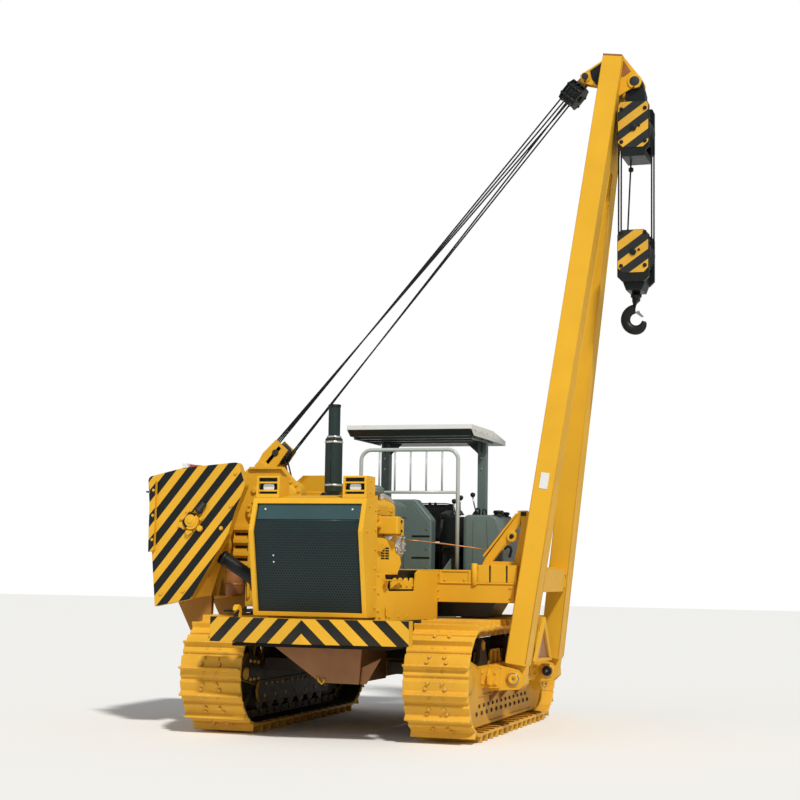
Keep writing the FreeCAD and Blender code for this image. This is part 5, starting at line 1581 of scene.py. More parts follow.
@dataclass
class Platform:
    """The operator's place: rail, canopy, dash, tank, levers and seat."""

    rail_x: float = -1.1
    rail_right: float = -0.18
    rail_left: float = 0.87
    rail_top: float = 2.84
    rail_low: float = 2.4
    bend: float = 0.11
    deck: float = 1.44
    tank_top: float = 2.18
    tank_front: float = -1.2
    roof_low: float = 3.0

    def build(self) -> None:
        """Builds the whole platform."""
        self.bend_rail()
        self.line_canopy()
        self.fit_dash()
        self.fit_tank()
        self.fit_levers()
        self.upholster()

    def bend_rail(self) -> None:
        """The bent guard rail with its bars, clamps and feet."""
        rail = Shaper("bent_rail")
        path = [(self.rail_x, self.rail_right, self.deck)]
        for side, centre, turns in ((-1.0, self.rail_right + self.bend, arc(0, 90, 9)),
                (1.0, self.rail_left - self.bend, arc(90, 0, 9))):
            for turn in turns:
                path.append((self.rail_x, centre + side * self.bend * math.cos(turn),
                    self.rail_top - self.bend + self.bend * math.sin(turn)))
        path.append((self.rail_x, self.rail_left, self.deck))
        rail.tube(path, 0.02, 16)
        rail.rod((self.rail_x, self.rail_right, self.rail_low),
            (self.rail_x, self.rail_left, self.rail_low), 0.0155, 14)
        for place in range(5):
            y = self.rail_right + 0.2 + 0.17 * place
            rail.rod((self.rail_x, y, self.rail_low), (self.rail_x, y, self.rail_top), 0.0095, 12)
        for y in (self.rail_right, self.rail_left):
            rail.lathe((self.rail_x, y, self.deck), UP, [(0.0, 0.05), (0.01, 0.05), (0.012, 0.03),
                (0.03, 0.026)], 20)
            rail.bolt_ring((self.rail_x, y, self.deck + 0.01), UP, 0.038, 4, 0.014, 0.007)
        rail.done(RAIL_ENAMEL, replaces=("guard_rail",))

    def line_canopy(self) -> None:
        """The canopy's lining and ribs, dark grey as painted shade under the roof, post brackets,
        bolts and pale rim.
        """
        skin = self.roof_low + 0.004
        # The lining's dark grey is painted shade under the roof.
        lining = Shaper("canopy_lining")
        for x in (-1.45, -1.75, -2.05):
            lining.box((x - 0.02, -0.36, self.roof_low - 0.02), (x + 0.02, 0.96, skin))
        for y in (-0.34, 0.94):
            lining.box((-2.2, y - 0.012, self.roof_low - 0.03), (-1.34, y + 0.012, skin))
        lining.side([(-1.3, 3.0), (-1.215, 3.052), (-1.22, 3.062), (-1.31, 3.01)], -0.36, 1.32)
        for y, inner in ((-0.245, 1.0), (0.855, -1.0)):
            lining.front([(y, 2.86), (y + inner * 0.045, 2.86), (y + inner * 0.2, self.roof_low),
                (y, self.roof_low)], -2.16, 0.012)
            lining.side([(-2.1, 2.88), (-2.1, self.roof_low), (-1.94, self.roof_low)], y - 0.006,
                0.012)
        lining.done(DARK_GREY, bevel=0.002)
        bolts = Shaper("canopy_bolts")
        for y in (-0.245, 0.855):
            bolts.bolt_row((-2.1, y, 2.7), (-2.1, y, 2.82), 2, FORE, 0.024, 0.01)
        for x in (-1.35, -1.6, -1.85, -2.1):
            for y, side in ((0.98, 1.0), (-0.38, -1.0)):
                bolts.bolt((x, y, 3.06), side * LEFT, 0.018, 0.006)
        bolts.done(STEEL)
        rim = Shaper("canopy_rim")
        rim.box((-1.215, -0.382, 3.062), (-1.196, 0.982, 3.111))
        for y in (-0.383, 0.967):
            rim.side([(-1.2, 3.058), (-1.2, 3.111), (-2.1, 3.111), (-2.65, 3.041), (-2.65, 2.992),
                (-2.2, 3.03)], y, 0.016)
        rim.done(BARE_PLATE, bevel=0.004)

    def fit_dash(self) -> None:
        """The dash's shell, slots, covers, gauges, switches and pedals."""
        cowl = Shaper("dash_shell")
        cowl.front([(-0.15, 1.44), (0.6, 1.44), (0.605, 2.12), (0.43, 2.326), (-0.1, 2.326),
            (-0.15, 2.26)], -1.23, 0.166)
        cowl.done(GREY_ENAMEL, bevel=0.02, segments=3, replaces=("dash_cowl",))
        slots = Shaper("dash_slots")
        for z in (1.94, 1.72):
            slots.box((-1.058, 0.4, z), (-1.049, 0.59, z + 0.016))
        slots.done(DARK_ENAMEL)
        dash = Shaper("dash_cover")
        dash.front([(0.31, 1.48), (0.585, 1.48), (0.585, 2.08), (0.41, 2.29), (0.31, 2.29)], -1.066,
            0.012)
        dash.front([(-0.13, 1.5), (0.29, 1.5), (0.29, 2.28), (-0.1, 2.28)], -1.066, 0.01)
        for y, high in ((0.33, 2.24), (0.56, 2.02)):
            dash.bolt_row((-1.052, y, 1.62), (-1.052, y, high), 3, FORE, 0.02, 0.008)
        dash.done(GREY_ENAMEL, bevel=0.004)
        gauges = Shaper("dash_gauges")
        out = Vector((-0.45, 0.0, 0.6)).normalized()
        for place in range(4):
            spot = HULL.at(-1.2, place * 0.13, 2.298)
            gauges.lathe(spot - out * 0.01, out, [(0.0, 0.045), (0.016, 0.045), (0.02, 0.04),
                (0.014, 0.036)], 24)
        for y in (0.5, 0.56):
            gauges.rod((-1.26, y, 2.2), (-1.34, y, 2.28), 0.006, 10)
            gauges.lathe((-1.34, y, 2.28), Vector((-0.7, 0.0, 0.7)), [(0.0, 0.008), (0.008, 0.016),
                (0.022, 0.016), (0.03, 0.006)], 14)
        gauges.box((-1.5, -0.1, self.deck), (-1.26, 0.6, self.deck + 0.012))
        for y in (0.1, 0.34):
            gauges.side([(-1.36, 1.46), (-1.28, 1.62), (-1.265, 1.615), (-1.345, 1.45)], y, 0.11)
        gauges.done(DARK_ENAMEL, bevel=0.002)

    def fit_tank(self) -> None:
        """The side tank's shell, ribs, caps and handle, and the two consoles."""
        shell = Shaper("tank_shell")
        shell.front([(0.9, 1.44), (0.9, 2.14), (0.935, 2.175), (1.19, 2.175), (1.25, 2.15),
            (1.325, 1.96), (1.325, 1.44)], -2.345, 1.14)
        shell.done(GREY_ENAMEL, bevel=0.022, segments=3, replaces=("side_tank_left",))
        side = Shaper("side_console")
        side.front([(0.63, 1.44), (0.63, 2.1), (0.66, 2.16), (0.86, 2.16), (0.885, 2.12),
            (0.885, 1.44)], -2.2, 0.82)
        side.front([(0.66, 1.46), (0.66, 1.9), (0.85, 1.9), (0.85, 1.46)], -1.38, 0.1)
        side.tube([(-1.3, 0.84, 1.75), (-1.26, 0.84, 1.8), (-1.24, 0.8, 1.84), (-1.24, 0.7, 1.84),
            (-1.3, 0.66, 1.8)], 0.014, 10)
        side.done(DARK_ENAMEL, bevel=0.012, segments=2)
        tank = Shaper("tank_fittings")
        tank.front([(0.93, 1.48), (1.3, 1.48), (1.3, 1.95), (1.235, 2.11), (0.93, 2.135)],
            self.tank_front - 0.006, 0.008)
        for y, tilt in ((1.02, 0.0), (1.2, -0.04)):
            tank.front([(y - 0.01, 1.5), (y + 0.01, 1.5), (y + tilt + 0.01, 2.12),
                (y + tilt - 0.01, 2.12)], self.tank_front + 0.002, 0.008)
        tank.bolt_row((self.tank_front + 0.002, 0.96, 1.53), (self.tank_front + 0.002, 1.27, 1.53),
            3, FORE, 0.022, 0.008)
        tank.done(GREY_ENAMEL, bevel=0.003)
        dark = Shaper("tank_caps")
        for x, y, radius in ((-1.5, 1.2, 0.055), (-2.0, 1.15, 0.045)):
            dark.lathe((x, y, self.tank_top - 0.01), UP, [(0.0, radius + 0.014),
                (0.014, radius + 0.014), (0.016, radius - 0.008), (0.03, radius - 0.008),
                (0.032, radius), (0.052, radius), (0.06, radius - 0.01), (0.062, 0.012)], 28)
        for x in (-1.35, -1.62):
            dark.tube([(x + run, 1.0, self.tank_top + rise) for run, rise in ((0.0, -0.005),
                (0.0, 0.05), (-0.02, 0.065), (-0.12, 0.065), (-0.14, 0.05), (-0.14, -0.005))],
                0.009, 10)
        dark.done(DARK_ENAMEL)
        console = Shaper("seat_console")
        console.side([(-1.56, self.deck), (-1.56, 2.05), (-1.6, 2.14), (-1.98, 2.14), (-2.05, 2.05),
            (-2.05, self.deck)], 0.545, 0.07)
        console.side([(-1.6, 2.14), (-1.58, 2.2), (-1.8, 2.24), (-2.0, 2.2), (-2.02, 2.14)], 0.54,
            0.075)
        console.done(VINYL, bevel=0.012, segments=3)

    def fit_levers(self) -> None:
        """The levers' bent rods, round knobs and boots."""
        levers = Shaper("lever_rods")
        knobs = Shaper("lever_knobs")
        rods = [(-1.45, 0.8, (0.805, 2.365)), (-1.56, 0.94, (0.905, 2.4)),
            (-1.5, 0.72, (0.72, 2.33))]
        for x, foot, knob in rods:
            levers.tube([(x, foot, self.tank_top - 0.01), (x, foot, self.tank_top + 0.04),
                (x, (foot + knob[0]) / 2 - 0.005, (knob[1] + 2.22) / 2),
                (x, knob[0], knob[1] - 0.02)], 0.008, 10)
            knobs.lathe((x, knob[0], knob[1] - 0.03), UP, [(0.0, 0.01), (0.006, 0.02),
                (0.02, 0.027), (0.036, 0.026), (0.046, 0.018), (0.05, 0.006)], 20)
            knobs.lathe((x, foot, self.tank_top - 0.002), UP, [(0.0, 0.045), (0.008, 0.045),
                (0.014, 0.034), (0.022, 0.036), (0.028, 0.026), (0.036, 0.028), (0.044, 0.016),
                (0.05, 0.012)], 20)
        levers.done(STEEL, replaces=("control_levers",))
        knobs.done(DARK_ENAMEL)

    def upholster(self) -> None:
        """The stuffed seat and back, with piping sewn round them."""
        pads = [("seat_pad", (-2.14, 0.072, 1.785), (-1.7, 0.528, 1.882), "seat_cushion"),
            ("back_pad", (-2.234, 0.072, 1.9), (-2.158, 0.528, 2.33), "seat_back")]
        for name, low, high, node in pads:
            pad = Shaper(name)
            pad.box(low, high)
            bmesh.ops.subdivide_edges(pad.mesh, edges=pad.mesh.edges[:], cuts=15,
                use_grid_fill=True)
            middle = (HULL.at(*low) + HULL.at(*high)) / 2
            half = (HULL.at(*high) - HULL.at(*low)) / 2
            for vert in pad.mesh.verts:
                u, v, w = ((vert.co[axis] - middle[axis]) / half[axis] for axis in range(3))
                thick = 0 if half.x < half.z else 2
                near = max(abs(part) for axis, part in enumerate((u, v, w)) if axis != thick)
                pull = 1.0 - 0.3 * max(0.0, near - 0.7) / 0.3 * abs((u, v, w)[thick])
                vert.co[thick] = middle[thick] + (vert.co[thick] - middle[thick]) * pull
            for face in pad.mesh.faces:
                face.smooth = True
            piece = pad.done(VINYL, replaces=(node,))
            self.stuff(piece)
            piece.modifiers.new("soft", "SUBSURF").levels = 1
            self.pipe(name, middle, half)

    def stuff(self, piece: bpy.types.Object, cap: float = 0.012) -> None:
        """Swells a closed pad by a short cloth simulation.

        Args:
            piece: the pad.
            cap: how far a point may move, in metres.
        """
        scene = bpy.context.scene
        cloth = piece.modifiers.new("stuffing", "CLOTH")
        cloth.settings.use_pressure = True
        cloth.settings.uniform_pressure_force = 4.0
        cloth.settings.effector_weights.gravity = 0.0
        for number in range(1, 21):
            scene.frame_set(number)
        graph = bpy.context.evaluated_depsgraph_get()
        swollen = piece.evaluated_get(graph)
        moved = [vert.co.copy() for vert in swollen.to_mesh().vertices]
        swollen.to_mesh_clear()
        for vert, place in zip(piece.data.vertices, moved):
            shift = place - vert.co
            vert.co += shift if shift.length < cap else shift.normalized() * cap
        piece.modifiers.remove(cloth)
        scene.frame_set(1)

    def pipe(self, name: str, middle: Vector, half: Vector) -> None:
        """Sews piping round a pad's broad faces.

        Args:
            name: the pad's name.
            middle: its middle.
            half: its half sizes.
        """
        piping = Shaper(f"{name}_piping")
        thick = 0 if half.x < half.z else 2
        first, second = (axis for axis in range(3) if axis != thick)
        for side in (-0.72, 0.72):
            loop = []
            for step in range(41):
                turn = math.tau * step / 40
                point = middle.copy()
                point[thick] += side * half[thick]
                for axis, value in ((first, math.cos(turn)), (second, math.sin(turn))):
                    point[axis] += math.copysign(abs(value) ** 0.3, value) * half[axis]
                loop.append(point)
            piping.tube(loop, 0.0045, 8)
        piping.done(RUBBER)


# ------------------------------------------------------------------ engine bay


@dataclass
class EngineBay:
    """Hood, stack, air cleaner, bright ducting and the side panels' fittings."""

    hood_top: float = 2.29
    hood_side: float = 0.47
    stack: tuple[float, float] = (0.08, -0.06)
    panel_front: float = 0.56
    panel_flare: float = 0.25

    def build(self) -> None:
        """Builds everything round the engine."""
        self.band_stack()
        self.shape_air_cleaner()
        self.shape_ducting()
        self.fit_left_panel()
        self.fit_right_panel()
        self.fit_hood()

    def band_stack(self) -> None:
        """The stack's clamp bands, its seam and the open pipe's lip."""
        x, y = self.stack
        bands = Shaper("stack_bands")
        for low, radius in ((2.345, 0.068), (2.87, 0.068), (2.4, 0.0865), (2.82, 0.0865)):
            bands.lathe((x, y, low), UP, [(0.0, radius), (0.003, radius + 0.004),
                (0.018, radius + 0.004), (0.021, radius)], 32)
            bands.bolt((x + radius + 0.004, y + 0.01, low + 0.01), LEFT, 0.014, 0.02)
        bands.done(SILVER)
        lip = Shaper("stack_lip")
        lip.lathe((x, y, 3.17), UP, [(0.0, 0.058), (0.004, 0.062), (0.028, 0.062), (0.0295, 0.058)],
            32)
        lip.lathe((x, y, 3.196), UP, [(0.0, 0.052), (0.0038, 0.051)], 32)
        lip.rod((x + 0.0855, y, 2.42), (x + 0.0855, y, 2.8), 0.003, 6)
        lip.done(DARK_ENAMEL)

    def shape_air_cleaner(self) -> None:
        """The air cleaner's box and clips, the pre-cleaner's bowl and the intake pipe."""
        cleaner = Shaper("cleaner_box")
        cleaner.box((0.185, 0.475, 1.935), (0.305, 0.675, 2.105))
        cleaner.box((0.07, 0.48, 1.92), (0.172, 0.668, 2.09))
        cleaner.side([(0.43, 2.0), (0.43, 2.03), (0.3, 2.06), (0.3, 1.99)], 0.49, 0.03)
        cleaner.done(ENAMEL, bevel=0.014, segments=3, replaces=("air_intake",))
        seam = Shaper("cleaner_seam")
        seam.box((0.171, 0.48, 1.93), (0.186, 0.67, 2.1))
        for z in (1.97, 2.06):
            seam.box((0.15, 0.668, z - 0.012), (0.205, 0.678, z + 0.012))
        seam.done(DARK_ENAMEL, bevel=0.003)
        bowl = Shaper("precleaner_bowl")
        bowl.lathe((0.12, 0.37, self.hood_top), UP, [(0.0, 0.058), (0.03, 0.058), (0.036, 0.075),
            (0.05, 0.098), (0.066, 0.1), (0.07, 0.094), (0.074, 0.1), (0.09, 0.098), (0.106, 0.08),
            (0.118, 0.04), (0.12, 0.008)], 36)
        bowl.done(GREY_ENAMEL)
        pipe = Shaper("intake_pipe")
        pipe.tube([(-0.02, 0.36, 2.305), (-0.12, 0.38, 2.31), (-0.24, 0.4, 2.29),
            (-0.36, 0.42, 2.22), (-0.45, 0.44, 2.12), (-0.5, 0.46, 2.02)], 0.035, 16)
        pipe.lathe((-0.02, 0.36, 2.305), FORE, [(0.0, 0.036), (0.004, 0.041), (0.02, 0.041),
            (0.024, 0.036)], 20)
        pipe.done(SILVER)

    def shape_ducting(self) -> None:
        """The bright round housing, the strap over it, engine parts and the grease line."""
        hub = HULL.at(-0.25, 0.3, 1.85)
        housing = Shaper("bright_housing")
        housing.lathe(hub, LEFT, [(0.0, 0.13), (0.05, 0.138), (0.18, 0.138), (0.2, 0.13),
            (0.205, 0.139), (0.225, 0.139), (0.23, 0.128), (0.248, 0.11), (0.255, 0.07),
            (0.252, 0.045), (0.24, 0.04)], 40)
        housing.lathe((-0.09, 0.52, 1.79), LEFT, [(0.0, 0.03), (0.03, 0.03), (0.034, 0.024),
            (0.034, 0.012)], 20)
        housing.bolt_ring(hub + LEFT * 0.253, LEFT, 0.09, 8, 0.02, 0.008)
        housing.done(SILVER)
        strap = Shaper("housing_strap")
        strap.side([(0.39, 1.78), (0.39, 1.815), (-0.14, 1.955), (-0.15, 1.925)], 0.545, 0.012)
        strap.side([(0.39, 1.77), (0.39, 1.83), (0.43, 1.83), (0.43, 1.77)], 0.47, 0.087)
        strap.done(ENAMEL, bevel=0.003)
        core = Shaper("engine_side_parts")
        core.box((-0.5, 0.3, 1.62), (0.0, 0.36, 1.7))
        for place in range(6):
            core.lathe((0.3 - place * 0.15, 0.3, 1.6), LEFT,
                [(0.0, 0.045), (0.03, 0.045), (0.035, 0.035)], 16)
        core.tube([(-0.4, 0.32, 1.4), (-0.42, 0.38, 1.5), (-0.45, 0.4, 1.7), (-0.5, 0.36, 1.9)],
            0.028, 12)
        core.done(CAST, bevel=0.004)
        line = Shaper("grease_line")
        line.tube([(-0.5, 0.46, 1.9), (-0.62, 0.62, 1.89), (-0.78, 0.85, 1.865),
            (-0.9, 1.08, 1.835), (-0.97, 1.288, 1.802)], 0.007, 10)
        line.done(COPPER)

    def panel_spot(self, x: float, y: float, z: float) -> Vector:
        """A point that is y out from the hull's middle where the flared panel starts."""
        return HULL.at(x, y + self.panel_flare * (self.panel_front - x), z)

    def fit_left_panel(self) -> None:
        """The left panels' vent, ledge, gussets, the toothed bracket in the notch and the notch's
        painted shade.
        """
        trim = Shaper("left_panel_trim")
        trim.box((0.0, 0.462, 1.575), (0.54, 0.49, 1.6))
        trim.side([(0.47, 1.5), (0.36, 1.5), (0.42, 1.42)], 0.605, 0.012)
        trim.box((0.02, 0.62, 1.498), (0.5, 0.655, 1.51))
        trim.side([(0.4, 1.17), (0.37, 1.17), (0.37, 1.25), (0.4, 1.25)], 0.6, 0.014)
        trim.done(ENAMEL, bevel=0.003)
        skin = Shaper("upper_panel_skin")
        reach = [(0.553, 1.56), (0.553, 1.9), (0.34, 1.9), (0.12, 1.87), (0.1, 1.76), (0.02, 1.73),
            (0.0, 1.66), (0.06, 1.57)]
        skin.plate([self.panel_spot(x, 0.47, z) for x, z in reach], Vector((0.0, 0.012, 0.0)))
        skin.rod((0.5, 0.5, 1.558), (0.07, 0.605, 1.562), 0.008, 8)
        skin.done(ENAMEL, bevel=0.003)
        vent = Shaper("left_vent_and_shade")
        for row in range(5):
            for column in range(2):
                x, low = 0.36 - column * 0.075, 1.7 + row * 0.024
                vent.plate([self.panel_spot(along, 0.4825, z) for along, z in ((x, low),
                    (x - 0.06, low), (x - 0.06, low + 0.015), (x, low + 0.015))],
                    Vector((0.0, 0.003, 0.0)))
        # A dark plate behind the notch: painted shade in the opening.
        vent.plate([self.panel_spot(x, 0.435, z) for x, z in ((0.42, 1.37), (-0.52, 1.37),
            (-0.52, 1.6), (0.42, 1.6))], Vector((0.0, 0.006, 0.0)))
        vent.done(DARK_ENAMEL)
        bracket = Shaper("notch_bracket")
        teeth = [(-0.36, 1.415), (0.14, 1.415), (0.14, 1.49)]
        for place in range(5):
            x = 0.11 - place * 0.1
            teeth += [(x, 1.49), (x - 0.02, 1.525), (x - 0.05, 1.525), (x - 0.07, 1.49)]
        teeth.append((-0.36, 1.49))
        bracket.plate([self.panel_spot(x, 0.45, z) for x, z in teeth], Vector((0.0, 0.018, 0.0)))
        for place in range(5):
            bracket.bolt(self.panel_spot(0.075 - place * 0.1, 0.468, 1.45), LEFT, 0.026, 0.012)
        bracket.done(ENAMEL, bevel=0.004)
        gusset = Shaper("deck_gusset")
        gusset.side([(-0.72, 1.61), (-0.98, 1.61), (-0.98, 1.72)], 0.83, 0.014)
        gusset.done(GREY_ENAMEL, bevel=0.003)
        bolts = Shaper("left_panel_bolts")
        out = Vector((0.163, 1.0, 0.0))
        bolts.bolt_row((0.5, 0.571, 1.16), (-0.64, 0.758, 1.16), 7, out, 0.026, 0.012)
        bolts.bolt_row((0.53, 0.566, 1.22), (0.53, 0.566, 1.55), 3, out, 0.024, 0.012)
        bolts.bolt_row((0.1, 0.47, 2.08), (0.5, 0.47, 2.08), 3, LEFT, 0.022, 0.01)
        bolts.done(ENAMEL)

    def fit_right_panel(self) -> None:
        """The right panel's louvres, handle and bolts."""
        louvres = Shaper("right_louvres")
        for place in range(7):
            z = 1.45 + place * 0.07
            louvres.front([(-0.47, z), (-0.488, z + 0.005), (-0.47, z + 0.04)], 0.27, 0.24)
        louvres.tube([(0.3, -0.468, 2.02), (0.3, -0.5, 2.02), (0.42, -0.5, 2.02),
            (0.42, -0.468, 2.02)], 0.007, 8)
        louvres.bolt_row((0.25, -0.47, 1.2), (0.53, -0.47, 1.2), 3, -LEFT, 0.026, 0.012)
        louvres.done(ENAMEL, bevel=0.002)

    def fit_hood(self) -> None:
        """The hood's hinges, joint strip, handle, stack collar, rear cover and cap."""
        hood = Shaper("hood_fittings")
        for x in (-0.1, 0.3):
            for side in (-1.0, 1.0):
                y = side * self.hood_side
                hood.box((x - 0.05, y - 0.008, 2.13), (x + 0.05, y + 0.008, 2.2))
                hood.rod((x - 0.05, y + side * 0.008, 2.165), (x + 0.05, y + side * 0.008, 2.165),
                    0.008, 10)
        hood.box((-0.16, -0.37, self.hood_top - 0.001), (-0.12, 0.37, self.hood_top + 0.004))
        hood.bolt_row((-0.14, -0.33, self.hood_top + 0.004), (-0.14, 0.33, self.hood_top + 0.004),
            6, UP, 0.018, 0.007)
        hood.tube([(0.3, -0.25, self.hood_top - 0.004), (0.3, -0.25, self.hood_top + 0.04),
            (0.3, -0.1, self.hood_top + 0.04), (0.3, -0.1, self.hood_top - 0.004)], 0.008, 10)
        hood.lathe((*self.stack, self.hood_top), UP, [(0.0, 0.1), (0.01, 0.1), (0.014, 0.09),
            (0.016, 0.06)], 32)
        hood.bolt_ring((*self.stack, self.hood_top + 0.01), UP, 0.08, 6, 0.018, 0.009)
        hood.done(ENAMEL, bevel=0.0015)
        cover = Shaper("hood_rear_cover")
        cover.front([(-0.474, 2.12), (-0.474, 2.232), (-0.383, 2.294), (0.383, 2.294),
            (0.474, 2.232), (0.474, 2.12), (0.46, 2.12), (0.46, 2.2), (0.37, 2.28), (-0.37, 2.28),
            (-0.46, 2.2), (-0.46, 2.12)], -0.648, 0.4)
        cover.side([(-0.25, 2.12), (-0.64, 2.12), (-0.64, 2.0), (-0.5, 1.96)], 0.455, 0.012)
        cover.done(GREY_ENAMEL, bevel=0.005)
        cap = Shaper("coolant_cap")
        cap.lathe((0.46, 0.0, self.hood_top), UP, [(0.0, 0.05), (0.012, 0.05), (0.014, 0.04),
            (0.026, 0.04), (0.03, 0.032), (0.032, 0.01)], 28)
        cap.done(DARK_ENAMEL)


# ------------------------------------------------------------------ bolster


@dataclass
class Bolster:
    """The cross beam with its recessed panels, and the rest that holds the boom."""

    front: float = -0.7
    rear: float = -1.0
    low: float = 1.29
    top: float = 1.61
    reach: float = 1.57

    def build(self) -> None:
        """Builds the beam and the boom's rest."""
        self.shape_beam()
        self.shape_rest()

    def shape_beam(self) -> None:
        """The box beam, its seat on the hull, its pads, frames, slits and bolts."""
        beam = Shaper("bolster_beam")
        beam.box((self.rear, -0.518, self.low), (self.front, self.reach, self.top))
        beam.box((self.rear, -0.35, 1.17), (self.front, 0.35, self.low + 0.01))
        beam.box((self.rear, 1.19, self.top - 0.01), (self.front - 0.004, 1.6, 1.662))
        beam.box((self.front - 0.002, 0.8, 1.472), (self.front + 0.012, 1.59, 1.49))
        for low, high in ((0.8, 0.826), (1.1, 1.126)):
            beam.box((self.front - 0.002, low, 1.488), (self.front + 0.01, high, 1.61))
        beam.box((self.front - 0.002, 0.825, 1.59), (self.front + 0.01, 1.1, 1.61))
        for low, high in ((1.2, 1.312), (1.33, 1.482), (1.5, 1.595)):
            beam.box((self.front - 0.002, low, 1.49), (self.front + 0.008, high, 1.66))
        beam.front([(1.565, 1.3), (1.59, 1.5), (1.6, 1.66), (1.565, 1.66)], self.rear + 0.02, 0.27)
        beam.done(ENAMEL, bevel=0.007, segments=2, replaces=("cross_bolster",))
        trim = Shaper("bolster_trim")
        trim.lathe((self.front, 1.162, 1.46), UP, [(0.0, 0.026), (0.004, 0.03), (0.212, 0.03),
            (0.217, 0.024)], 24)
        trim.bolt_row((self.front, 0.86, 1.51), (self.front, 1.06, 1.51), 2, FORE, 0.02, 0.01)
        trim.bolt_row((self.front, 0.79, 1.33), (self.front, 0.79, 1.57), 4, FORE, 0.022, 0.011)
        trim.bolt_row((self.front, 1.53, 1.34), (self.front, 1.53, 1.44), 2, FORE, 0.024, 0.012)
        trim.done(ENAMEL)
        slits = Shaper("bolster_slits")
        for y in (1.315, 1.486):
            slits.box((self.front - 0.001, y, 1.492), (self.front + 0.002, y + 0.012, 1.66))
        slits.done(DARK_ENAMEL)

    def rest_outline(self, points: list[tuple[float, float]]) -> list[tuple[float, float]]:
        """Corners drawn from the beam's outer top edge, in machine coordinates."""
        return [(self.reach + y, self.top + z) for y, z in points]

    def shape_rest(self) -> None:
        """The triangular rest with its window, boss, keeper and pad."""
        rest = Shaper("boom_rest")
        plates = [([(-0.4, 0.04), (-0.355, 0.13), (-0.03, 0.56), (-0.03, 0.6), (0.01, 0.6),
            (-0.005, 0.46), (-0.285, 0.09), (-0.285, 0.04)], -0.99, 0.06),
            ([(0.0, 0.6), (0.07, 0.6), (0.09, 0.51), (0.0, 0.04), (-0.07, 0.04), (0.005, 0.43)],
            -0.99, 0.06), ([(-0.3, 0.04), (-0.3, 0.09), (-0.03, 0.09), (-0.03, 0.04)], -0.985,
            0.05), ([(-0.37, 0.13), (-0.385, 0.145), (-0.045, 0.575), (-0.03, 0.56)], -1.0, 0.085)]
        for points, start, depth in plates:
            rest.front(self.rest_outline(points), start, depth)
        rest.done(ENAMEL, bevel=0.005)
        y, z = self.reach - 0.085, self.top + 0.34
        boss = Shaper("rest_boss")
        boss.lathe((-0.94, y, z), FORE, [(-0.05, 0.056), (0.025, 0.056), (0.03, 0.05),
            (0.03, 0.024), (0.02, 0.022)], 28)
        boss.front(self.rest_outline([(-0.19, 0.2), (-0.06, 0.33), (-0.11, 0.38), (-0.23, 0.235)]),
            -0.975, 0.035)
        boss.done(ENAMEL, bevel=0.003)
        keeper = Shaper("rest_keeper")
        keeper.tube([(-0.93, *spot) for spot in self.rest_outline([(-0.16, 0.21), (-0.135, 0.24),
            (-0.1, 0.235), (-0.09, 0.2), (-0.11, 0.13)])], 0.014, 12)
        keeper.rod((-0.99, y, z), (-0.9, y, z), 0.02, 16)
        keeper.box((-0.985, self.reach + 0.005, self.top + 0.545),
            (-0.925, self.reach + 0.06, self.top + 0.585))
        keeper.done(DARK_ENAMEL, bevel=0.002)


# ------------------------------------------------------------------ winch


